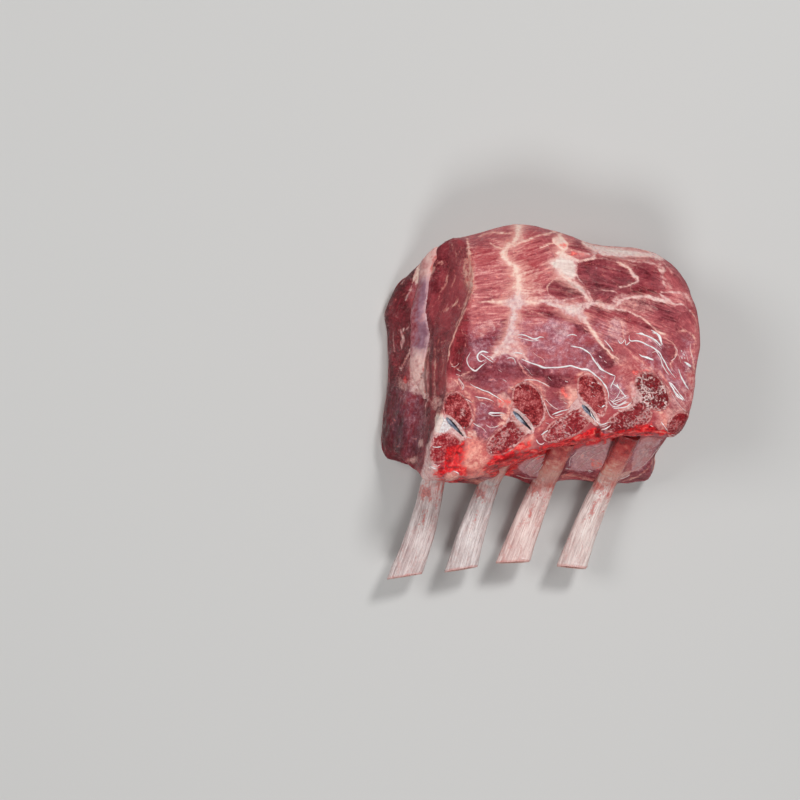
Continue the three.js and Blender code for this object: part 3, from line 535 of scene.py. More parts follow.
FOLD_LINES = [
    (0.61, 1, 0, "-19.2,18.9 -21.6,19.4,0.65 -23.1,18.1,0.69 -23.0,16.4,0.61 -21.8,15.6,0.41 -20.6,16.2,0.33"),
    (0.37, 0.9, 0, "-22.2,18.5 -20.7,17.8 -19.2,16.6 -17.4,15.3"),
    (0.37, 0.8, 0, "-19.6,17.7 -18.0,17.2 -17.4,16.2"),
    (0.37, 0.8, 0, "-25.7,19.1,0.24 -26.9,17.0 -26.7,14.6 -25.3,13.0,0.49 -23.9,12.2,0.57 -22.7,13.2,0.49 -21.6,14.3,0.33 -19.6,15.6,0.29"),
    (0.53, 1, 0, "-8.6,25.4,0.33 -6.6,25.5,0.49 -4.5,24.8 -2.9,24.0,0.61 -1.3,24.0,0.65 -0.1,24.8,0.53 1.2,24.5,0.33"),
    (0.33, 0.8, 0, "-8.6,24.7 -6.6,24.2 -4.5,23.5 -2.5,23.2 -0.5,23.6"),
    (0.69, 1, 0, "-7.2,16.6,0.9 -5.3,15.8,0.73 -3.3,15.1,0.61 -1.3,14.3,0.65 1.2,13.4,0.73 3.6,13.4,0.61 6.5,13.5,0.69 8.9,13.8,0.81 10.9,14.1,0.65 13.0,13.6,0.73 15.0,12.9,0.73 17.5,12.5,0.81 19.1,11.5,0.57 21.1,9.9,0.49 22.7,8.1,0.41 24.4,5.2,0.37 25.0,2.8,0.29"),
    (0.49, 1, 0, "10.9,21.3,0.49 12.6,21.1,0.57 14.2,20.9 16.2,19.9,0.53 18.1,18.5,0.45 19.3,16.6,0.61 20.5,14.6 21.9,12.9,0.57 23.6,12.0,0.49 25.4,11.3,0.37"),
    (0.41, 1, 0, "-26.1,7.7,0.29 -24.1,6.5,0.37 -21.6,5.4,0.49 -19.2,4.5,0.49 -17.2,3.4,0.41 -15.1,2.2,0.29 -13.5,0.8,0.2"),
    (0.33, 0.8, 0, "-24.1,3.0 -22.0,2.5,0.45 -19.6,2.0,0.33 -17.2,1.1,0.2"),
    (0.53, 1, 0, "-19.4,-3.3,0.33 -18.0,-3.1,0.65 -15.5,-3.2,0.45 -13.1,-3.2,0.24"),
    (0.33, 0.8, 0, "-19.2,-3.5 -17.6,-4.1 -15.5,-4.2 -13.5,-4.0,0.2"),
    (0.53, 1, 0, "4.0,-3.9,0.24 5.6,-3.2,0.61 7.7,-2.5,0.49 10.1,-1.8,0.29"),
    (0.29, 0.7, 0, "5.2,-4.2 6.9,-3.9 8.5,-3.2"),
    (0.57, 1, 0, "0.1,-11.3,0.29 1.4,-10.4,0.65 2.7,-9.3,0.29"),
    (0.37, 0.8, 0, "-1.5,-12.9 -0.9,-14.2,0.45 0.4,-14.7,0.37 1.4,-13.9,0.24"),
    (0.33, 0.7, 0, "-30.2,9.7 -29.0,8.1,0.41 -28.1,6.5 -28.9,5.0"),
    (0.24, 0.6, 0, "-22.9,-7.8 -21.6,-8.6 -20.4,-9.4"),
    (0.33, 0.7, 0, "-20.0,-7.4 -18.8,-8.4 -17.2,-8.6 -15.1,-7.8"),
    (0.33, 0.7, 0, "1.6,2.0 3.2,0.3 5.2,-1.3 6.5,-1.9"),
    (0.33, 0.7, 0, "1.2,0.8 2.4,-2.1 3.6,-4.5 5.2,-5.4"),
    (0.37, 0.7, 0, "-6.2,8.8 -3.7,9.1 -1.3,8.7 1.2,7.6 3.2,6.4"),
    (0.61, 1, 0, "22.3,-1.0 23.5,-0.3"),
    (0.41, 0.8, 0, "-10.2,18.7 -8.6,18.9,0.53 -6.6,18.5"),
    (0.37, 0.8, 0, "-12.3,16.8 -11.0,17.1 -9.4,16.3 -9.1,15.0"),
    (0.24, 0.5, 0, "-2.9,19.1 -1.3,17.7 0.8,16.6 1.6,15.0"),
    (0.37, 0.8, 0, "21.1,-7.0 22.7,-7.4,0.49 24.8,-6.6"),
    (0.49, 0.9, 0, "23.4,-9.2 25.1,-8.1"),
    (0.45, 1, 0, "20.5,15.6,0.41 22.1,13.2,0.49 24.2,11.7,0.45 26.2,10.9,0.49 27.4,10.3,0.37"),
    (0.37, 0.9, 0, "27.4,10.3 26.8,8.7 26.0,7.3 25.6,5.8,0.24"),
    (0.37, 0.9, 0, "27.8,7.5,0.49 28.4,6.3 29.3,5.0,0.24"),
    (0.24, 0.6, 0, "25.4,4.6 26.2,3.6 27.8,4.2"),
    (0.37, 0.9, 0, "26.0,-0.7,0.49 27.8,-0.9 29.9,0.1 31.9,0.6,0.2"),
    (0.33, 0.8, 0, "25.8,0.9 28.2,1.4 30.7,2.6 31.9,3.6,0.2"),
    (0.2, 0.6, 0, "27.4,2.3 29.5,2.5 31.1,3.3"),
    (0.33, 0.9, 0, "28.4,23.6 29.3,22.2 30.3,22.9 30.6,24.0 31.1,22.7 31.2,21.6"),
    (0.24, 0.7, 0, "29.1,24.6 29.9,23.6"),
    (0.41, 0.9, 0, "31.2,21.6 32.1,22.3 32.9,22.9"),
    (0.53, 1, 0, "32.5,25.4,0.33 32.3,24.2,0.45 33.0,23.1,0.61 35.2,23.4,0.53 37.2,22.7,0.53 39.6,21.5,0.65 41.7,20.5,0.65 43.7,18.7,0.53 44.9,16.4,0.45 46.2,14.0,0.37 47.8,11.5,0.33 49.4,9.5,0.24"),
    (0.57, 1, 0, "35.4,25.7,0.33 36.8,26.0,0.61 38.4,25.2,0.49 40.5,24.4,0.49 42.5,23.1,0.57 44.1,21.5,0.61"),
    (0.49, 1, 0, "40.7,26.4,0.33 42.5,26.0,0.49 43.4,24.6,0.53 44.6,21.8,0.65"),
    (0.61, 1, 0, "36.0,18.4,0.41 37.6,17.4,0.65 38.4,17.6,0.33 39.6,17.0,0.73 41.4,16.3,0.57"),
    (0.29, 0.6, 0, "40.7,18.9 42.1,19.3 44.1,18.5"),
    (0.37, 0.6, 0, "49.0,21.3 50.0,20.0 50.0,18.5 49.0,16.8 47.6,15.8"),
    (0.37, 0.5, 0, "54.7,22.5 54.9,20.1 55.5,17.7 55.9,16.2"),
    (0.37, 0.8, 0, "50.4,13.2 51.2,10.7 52.7,8.3 53.9,5.8"),
    (0.45, 1, 0, "47.1,8.3,0.57 48.6,6.7,0.45 50.2,4.6,0.37 51.9,2.6,0.41 52.9,1.2,0.24"),
    (0.29, 0.7, 0, "47.4,7.5 49.0,4.6 50.6,2.6 52.3,1.3"),
    (0.29, 0.6, 0, "47.8,4.2 49.8,1.0 51.9,-1.5 53.5,-2.7"),
    (0.57, 1, 0, "52.6,15.4,0.33 53.9,14.8,0.65 55.2,13.9,0.33"),
    (0.37, 0.8, 0, "51.4,19.8 51.9,19.2"),
    (0.37, 0.8, 0, "52.3,18.5 52.8,17.9"),
    (0.37, 0.8, 0, "51.5,17.2 51.9,16.6"),
    (0.37, 0.7, 0, "52.7,17.3 52.9,16.6"),
    (0.41, 0.8, 0, "21.4,17.8 22.3,16.9"),
    (0.33, 0.7, 0, "20.8,23.3 22.0,22.9"),
    (0.33, 0.7, 0, "23.2,15.9 24.2,15.1"),
    (0.41, 0.9, 0, "18.1,12.4,0.49 20.5,10.3,0.41 22.5,8.3,0.37 24.2,6.3,0.33 24.8,3.4,0.29 24.8,1.7,0.2"),
    (0.29, 0.7, 0, "24.8,1.4 25.8,-0.3 27.4,-1.1"),
    (0.37, 0.8, 0, "44.1,-6.4 45.3,-8.0 46.6,-9.6,0.24"),
    (0.29, 0.6, 0, "47.8,-10.9 50.2,-11.5"),
    (0.37, 0.8, 0, "18.1,-2.4 19.7,-5.6 21.7,-7.2 24.2,-6.8 25.8,-6.4,0.24"),
    (0.33, 0.7, 0, "22.1,-9.2 24.2,-8.8 25.8,-7.4"),
    (0.41, 0.8, 0, "-32.2,-24.5,0.24 -30.8,-24.9,0.53 -30.0,-25.5,0.24"),
    (0.33, 0.7, 0, "-36.7,-22.2 -38.5,-23.0 -40.5,-22.7 -40.8,-23.6 -37.7,-23.7"),
    (0.37, 0.8, 0, "-39.8,-15.4,0.49 -38.3,-15.7,0.33 -36.4,-15.5,0.49"),
    (0.29, 0.6, 0, "-30.4,9.5 -29.2,7.5 -28.3,5.4"),
    (0.33, 0.7, 0, "-27.7,1.9 -26.3,1.4 -25.3,0.6,0.2"),
    (0.37, 0.8, 0, "-24.7,-6.8 -23.5,-7.7 -22.0,-8.5,0.24"),
    (0.33, 0.7, 0, "-28.1,-11.5 -26.7,-12.1 -24.9,-12.4,0.2"),
    (0.24, 0.6, 0, "-32.0,13.6 -30.4,14.4 -29.9,15.2"),
    (0.24, 0.6, 0, "-36.5,9.7 -34.5,9.1"),
    (0.34, 0.7, 0, "24.8,-23.8 26.1,-24.1"),
    (0.51, 0.8, 0, "17.2,-23.9 18.7,-24.3"),
    (0.39, 0.7, 0, "9.0,-23.6 10.3,-23.9"),
    (0.39, 0.7, 0, "-18.3,-17.2 -17.9,-17.9"),
    (0.28, 0.7, 0, "-2.9,-25.5 -1.1,-24.5 0.9,-21.7"),
    (0.28, 0.6, 0, "15.8,-24.5 19.2,-23.9 22.0,-22.8"),
    (0.28, 0.6, 0, "10.5,-22.8 11.0,-19.7 13.6,-17.3"),
    (0.34, 0.7, 0, "28.8,-27.2 30.6,-26.8 32.7,-25.5"),
    (0.34, 0.6, 0, "-9.0,-25.9 -5.6,-27.0 -1.7,-27.4"),
    (0.23, 0.45, 0, "1.9,-18.2 -1.1,-19.4 -3.9,-21.4 -6.1,-23.7"),
    (0.23, 0.45, 0, "1.2,-20.4 -1.1,-22.0 -3.6,-24.5"),
    (0.23, 0.4, 0, "-0.3,-18.9 -3.4,-20.1 -6.7,-22.8"),
    (0.23, 0.4, 0, "1.2,-23.1 -1.1,-24.2 -4.5,-25.5"),
    (0.23, 0.4, 0, "24.3,-16.6 20.3,-18.3 16.4,-21.1 13.6,-23.9"),
    (0.23, 0.4, 0, "25.1,-14.4 20.3,-16.0 15.2,-18.0 11.9,-21.1"),
    (0.23, 0.4, 0, "44.0,-14.9 41.2,-18.3 38.4,-21.7 35.0,-23.9"),
    (0.23, 0.4, 0, "41.7,-14.4 38.4,-17.2 35.5,-21.1"),
    (0.45, 0.7, 0, "1.9,-18.2 -1.1,-19.4 -3.9,-21.4 -6.1,-23.7"),
    (0.39, 0.6, 0, "1.2,-20.4 -1.1,-22.0 -3.6,-24.5"),
    (0.34, 0.6, 0, "25.1,-14.4 20.3,-16.0 15.2,-18.0 11.9,-21.1"),
    (0.34, 0.6, 0, "24.3,-16.6 20.3,-18.3 16.4,-21.1 13.6,-23.9"),
    (0.34, 0.6, 0, "44.0,-14.9 41.2,-18.3 38.4,-21.7 35.0,-23.9"),
    (0.33, 0.8, 0, "25.9,0.8 28.2,3.0 29.3,5.6"),
    (0.29, 0.75, 0, "26.5,-0.1 30.4,1.9 32.4,2.5"),
    (0.29, 0.7, 0, "26.1,-1.2 28.3,-0.6 30.9,0.8 32.7,0.8"),
    (0.26, 0.7, 0, "29.3,4.2 31.5,3.0"),
    (0.33, 0.8, 0, "21.0,-7.4 23.2,-8.0 24.8,-7.4"),
    (0.26, 0.6, 0, "-24.1,-7.6 -23.0,-7.4 -21.3,-8.7 -19.9,-10.4"),
    (0.29, 0.9, 0, "-40.2,-22.6 -39.1,-23.5 -38.0,-23.7"),
    (0.26, 0.8, 0, "-39.5,-21.5 -38.7,-22.1 -37.8,-22.2"),
    (0.26, 0.8, 0, "9.3,-23.2 10.4,-23.7 11.1,-23.7"),
    (0.26, 0.8, 0, "17.3,-24.4 18.4,-24.8 19.2,-24.4"),
    (0.29, 0.6, 0, "40.1,24.3 42.2,22.5 44.4,20.3"),
    (0.22, 0.6, 0, "49.6,19.2 50.7,17.3 51.4,15.1"),
    (0.22, 0.6, 0, "52.5,19.9 53.6,17.7 54.0,15.5"),
    (0.66, 1, 0, "40.3,27.2,0.33 42.2,26.1,0.66 43.7,24.8,0.73 44.3,23.2,0.59 44.4,21.4,0.29"),
    (0.51, 1, 0, "34.8,26.0,0.29 38.8,25.1,0.59 42.2,23.3,0.59 43.7,21.4,0.37"),
    (0.73, 1, 0, "37.0,17.8,0.37 38.8,17.1,0.81 41.3,16.1,0.44"),
    (0.55, 1, 0, "46.8,8.3,0.29 48.1,6.3,0.66 49.6,4.1,0.55 52.3,1.6,0.37"),
    (0.44, 0.95, 0, "47.7,6.8 49.8,3.1 52.0,1.9"),
    (0.48, 0.95, 0, "51.0,11.9,0.29 52.0,8.9,0.55 54.1,5.6,0.37"),
    (0.81, 1, 0, "52.9,15.6,0.37 54.0,14.6,0.88 55.0,13.5,0.44"),
    (0.37, 0.9, 0, "26.0,7.7 28.1,6.4 29.8,4.5 31.5,2.2"),
    (0.37, 0.9, 0, "25.4,1.6 27.8,-0.3 31.5,1.2"),
    (0.37, 0.9, 0, "33.3,0.8 31.5,-0.9 26.6,-1.5"),
    (0.48, 0.9, 0, "9.6,25.0,0.26 11.5,25.6,0.44 13.3,25.0,0.29"),
    (0.37, 0.8, 0, "23.2,23.6 25.0,21.7 26.5,19.2"),
    (0.37, 0.8, 0, "41.9,20.3 43.7,17.3 44.8,14.0 47.0,10.7"),
]
PATCHES = {
    "tone": [
        (0.82, -18.2, 49.9, 8.79, 14.66, 0, 0.5),
        (0.76, -3.9, 52.1, 7.33, 13.19, 0, 0.6),
        (0.74, -17.8, 33.8, 8.79, 5.13, 0, 0.6),
        (0.8, -2.1, 25.4, 10.99, 9.53, 0, 0.7),
        (0.4, 23.9, 47.4, 12.09, 6.23, -12, 0.3),
        (0.42, 9.3, 41.9, 7.33, 3.3, -12, 0.3),
        (0.5, 22.5, 40.0, 4.76, 2.57, 0, 0.5),
        (0.5, 40.1, 46.3, 6.23, 5.5, -20, 0.5),
        (0.44, 39.3, 40.8, 6.6, 1.83, -5, 0.5),
        (0.46, 41.9, 34.2, 13.19, 2.93, -18, 0.5),
        (0.44, 26.1, 33.1, 12.46, 2.2, -17, 0.5),
        (0.48, 46.6, 30.5, 8.79, 2.2, -28, 0.5),
        (0.45, 1.6, 33.8, 7.33, 2.2, -8, 0.5),
        (0.5, 53.2, 30.9, 3.3, 4.4, 0, 0.6),
        (0.55, 48.8, 48.5, 3.66, 5.86, 0, 0.6),
        (0.6, 15.5, 27.2, 4.4, 3.66, -30, 0.6),
        (0.42, 18.1, 20.6, 3.3, 2.57, 0, 0.5),
        (0.44, 22.8, 17.3, 3.66, 2.57, 0, 0.5),
        (0.52, 43.7, 19.9, 3.3, 4.4, 0, 0.5),
        (0.52, -17.8, 23.2, 5.86, 3.3, 15, 0.5),
        (0.3, -16.0, 11.5, 11.73, 3.3, 5, 0.5),
        (0.36, -1.7, 11.8, 3.66, 1.83, -10, 0.5),
        (0.28, 5.6, 8.2, 4.4, 2.2, 0, 0.4),
        (0.4, -16.7, 6.3, 8.79, 2.93, -22, 0.5),
        (0.42, -21.1, -1.4, 3.3, 2.93, 0, 0.5),
        (0.36, -20.8, -10.2, 4.4, 3.66, 0, 0.5),
        (0.4, -17.1, -5.0, 3.3, 2.57, 0, 0.5),
        (0.5, 7.1, 0.8, 3.66, 2.2, 0, 0.5),
        (0.42, 4.1, -2.8, 2.57, 2.2, 0, 0.5),
        (0.58, 12.6, 14.4, 4.4, 1.47, 0, 0.6),
        (0.8, 32.7, 9.6, 4.4, 3.66, 0, 0.7),
        (0.5, 11.5, 9.6, 5.13, 2.93, -10, 0.6),
        (0.25, -34.0, 38.2, 7.33, 22.72, 0, 0.3),
        (0.3, -33.2, 25.4, 4.4, 9.53, 0, 0.5),
        (0.2, -38.0, 10.7, 3.66, 16.49, 0, 0.4),
        (0.26, -32.5, 16.2, 4.4, 9.53, 0, 0.5),
        (0.16, -53.0, 30.9, 6.6, 22.72, 0, 0.4),
        (0.22, -50.1, 38.2, 4.03, 15.39, 0, 0.5),
        (0.22, -50.1, -7.6, 10.99, 16.86, 0, 0.4),
        (0.2, -47.2, 1.6, 5.13, 8.06, 0, 0.6),
        (0.8, -32.9, 8.9, 3.3, 3.3, 0, 0.6),
        (0.45, 15.5, 57.3, 5.13, 2.2, -8, 0.5),
        (0.9, 14.4, 55.1, 4.4, 1.1, 0, 0.7),
        (0.5, 16.2, -19.7, 8.06, 4.76, 12, 0.5),
        (0.42, 18.1, -25.5, 10.99, 2.2, 0, 0.5),
        (0.36, 32.7, -27.0, 7.33, 2.2, 0, 0.5),
        (0.36, -3.9, -27.0, 8.79, 1.47, 0, 0.5),
        (0.34, 41.9, -21.1, 1.83, 5.86, -25, 0.5),
        (0.4, -25.9, -27.4, 8.79, 1.47, 0, 0.5),
        (0.15, 21.7, -10.2, 1.83, 1.83, 0, 0.4),
    ],
    "red": [
        (0.9, -30.3, 19.9, 3.3, 8.06, -10, 0.5),
        (0.6, -34.0, 13.3, 3.66, 5.13, 0, 0.6),
        (0.5, -3.9, 51.0, 5.13, 10.99, 0, 0.8),
        (0.5, -22.2, 54.3, 8.06, 3.66, 0, 0.8),
        (0.4, 15.5, 25.0, 4.4, 2.93, -20, 0.8),
        (0.5, 39.3, 41.5, 6.6, 2.2, 0, 0.6),
        (0.25, 1.6, 33.5, 8.06, 2.57, 0, 0.7),
        (0.3, 25.4, 32.7, 12.46, 2.2, -17, 0.6),
        (0.2, 43.7, 43.7, 7.33, 7.33, 0, 0.8),
        (0.6, 36.4, 12.6, 8.06, 3.66, 0, 0.8),
        (0.6, 10.7, 4.5, 5.13, 3.66, 0, 0.8),
    ],
    "veil": [
        (0.85, 6.0, 25.8, 4.76, 5.5, -15, 0.7),
        (0.6, 1.6, 21.0, 8.06, 3.66, 0, 0.8),
        (0.7, 27.6, 27.6, 2.2, 4.03, 0, 0.5),
        (0.45, 21.7, 25.4, 5.13, 4.4, 0, 0.8),
        (0.75, 6.0, 37.5, 2.93, 1.1, 0, 0.5),
        (0.2, -14.9, 11.8, 13.19, 4.03, 5, 0.6),
        (0.12, 5.6, 8.5, 4.4, 2.57, 0, 0.6),
        (0.25, -16.7, 7.1, 9.53, 3.3, -22, 0.6),
        (0.6, -21.1, -2.8, 3.66, 3.66, 0, 0.6),
        (0.6, -20.0, -9.4, 5.13, 4.4, 0, 0.6),
        (0.5, -17.8, 23.2, 5.86, 3.3, 15, 0.6),
        (0.6, 20.6, 11.8, 3.66, 2.57, -30, 0.6),
        (0.7, 27.6, 4.5, 3.3, 5.86, 0, 0.6),
        (0.45, -3.9, 15.5, 7.33, 3.3, -10, 0.7),
        (0.5, 12.6, 17.3, 8.79, 2.93, 0, 0.7),
        (0.5, 41.9, 14.4, 5.13, 5.13, -30, 0.7),
        (0.55, 49.6, 7.1, 5.13, 8.06, 20, 0.7),
        (0.45, 40.1, 21.7, 5.13, 2.93, -20, 0.7),
        (0.5, 54.0, 18.1, 2.93, 7.33, 0, 0.7),
        (0.45, 7.1, 0.1, 3.66, 2.57, 0, 0.6),
        (0.6, -9.8, 31.6, 1.83, 2.93, 0, 0.7),
        (0.1, -50.1, -5.8, 9.53, 14.66, 0, 0.6),
        (1.0, -2.8, -23.0, 5.13, 3.3, 25, 0.8),
        (1.0, 16.6, -19.7, 8.06, 4.76, 14, 0.8),
        (0.9, 37.9, -19.0, 4.76, 6.23, 10, 0.8),
        (0.6, 22.5, -9.8, 1.83, 1.47, 0, 0.5),
    ],
    "film": [
        (0.35, -19.7, 29.1, 4.76, 2.57, 0, 1),
        (0.5, -21.5, 26.1, 3.3, 1.47, 10, 0.8),
        (0.9, -42.8, 50.7, 3.3, 4.76, 25, 0.3),
        (0.75, -45.3, 13.3, 3.3, 6.6, 15, 0.5),
        (0.7, -45.3, 7.4, 3.3, 3.66, 0, 0.5),
        (0.5, -32.5, 7.1, 2.93, 2.2, 0, 0.7),
        (0.6, 4.1, 51.8, 3.3, 2.57, 0, 0.7),
        (0.55, 40.1, 11.8, 5.13, 2.57, -15, 0.8),
        (0.5, 29.1, 16.2, 3.66, 2.93, 0, 0.8),
        (0.45, 51.0, 1.6, 4.4, 6.6, 0, 0.8),
        (0.5, 55.4, 7.1, 2.2, 9.53, 6, 0.7),
        (0.6, 9.3, 3.0, 3.66, 2.2, 0, 0.7),
        (0.7, -35.4, -5.8, 2.93, 3.3, 0, 0.5),
        (0.6, -13.1, -15.7, 2.93, 1.47, 20, 0.7),
        (0.7, -31.8, -25.7, 3.11, 1.65, 0, 0.4),
        (0.5, -44.2, -14.6, 1.47, 1.83, 0, 0.5),
        (0.5, -47.2, -20.4, 2.57, 1.47, 15, 0.6),
        (0.45, -26.6, 9.6, 2.93, 1.47, 0, 0.7),
        (0.5, 48.1, -5.4, 2.57, 1.83, 0, 0.7),
        (0.55, -0.3, 4.5, 2.93, 3.3, 0, 0.8),
        (0.26, 16.2, -19.3, 7.33, 4.03, 12, 0.8),
        (0.22, 38.6, -18.6, 3.66, 4.76, 10, 0.8),
        (0.3, -2.8, -23.0, 4.4, 2.57, 25, 0.5),
    ],
    "blood": [
        (0.34, 8.2, 58.4, 1.47, 1.1, 0, 0.8),
        (0.3, -12.4, 0.5, 2.57, 2.2, 0, 0.9),
        (0.35, -22.2, -18.6, 9.53, 5.13, 0, 0.8),
        (0.55, -6.9, -15.3, 4.4, 1.83, 20, 0.7),
        (0.32, 38.6, -7.2, 3.3, 1.83, 0, 0.9),
        (0.3, 12.6, 55.1, 3.66, 1.1, 0, 0.8),
        (0.35, 37.1, 11.1, 4.4, 1.47, 0, 0.7),
        (0.4, -47.2, 38.2, 0.73, 0.73, 0, 0.5),
        (0.3, 20.6, -22.6, 1.83, 2.57, -20, 0.9),
        (0.36, 10.0, -25.5, 2.93, 1.47, 0, 0.9),
        (0.3, 25.8, -25.5, 1.83, 2.2, 0, 0.9),
        (0.42, 6.0, -19.0, 2.2, 3.3, 0, 0.9),
        (0.42, 31.3, -15.3, 2.57, 2.93, 0, 0.9),
        (0.34, 40.8, -21.1, 1.47, 3.66, -20, 0.9),
        (0.95, -33.2, -19.7, 2.2, 4.03, 0, 0.5),
        (0.8, -36.5, -24.1, 1.47, 1.47, 0, 0.5),
        (0.6, -25.9, -24.1, 6.6, 1.1, -5, 0.6),
    ],
    "lump": [
        (1, -25.2, -19.0, 12.46, 6.6, 0, 0.5),
        (0.8, -7.6, -17.5, 7.33, 3.66, 0, 0.6),
        (0.8, -32.5, -25.5, 4.4, 2.57, 0, 0.4),
        (0.5, 18.1, -13.1, 18.32, 2.57, 8, 0.6),
        (0.5, 36.4, -9.4, 10.99, 2.57, 8, 0.6),
    ],
    "fat": [
        (0.95, -36.5, -6.1, 2.02, 3.3, 35, 0.5),
        (0.8, -13.1, -4.7, 1.47, 2.57, 40, 0.5),
        (0.8, 13.7, 0.8, 1.47, 2.2, 30, 0.5),
    ],
    # painted shade where the meat meets the ribs at the front
    "crease_shade": [
        (0.5, -28.8, -28.1, 8.06, 1.1, 2, 0.6),
    ],
}
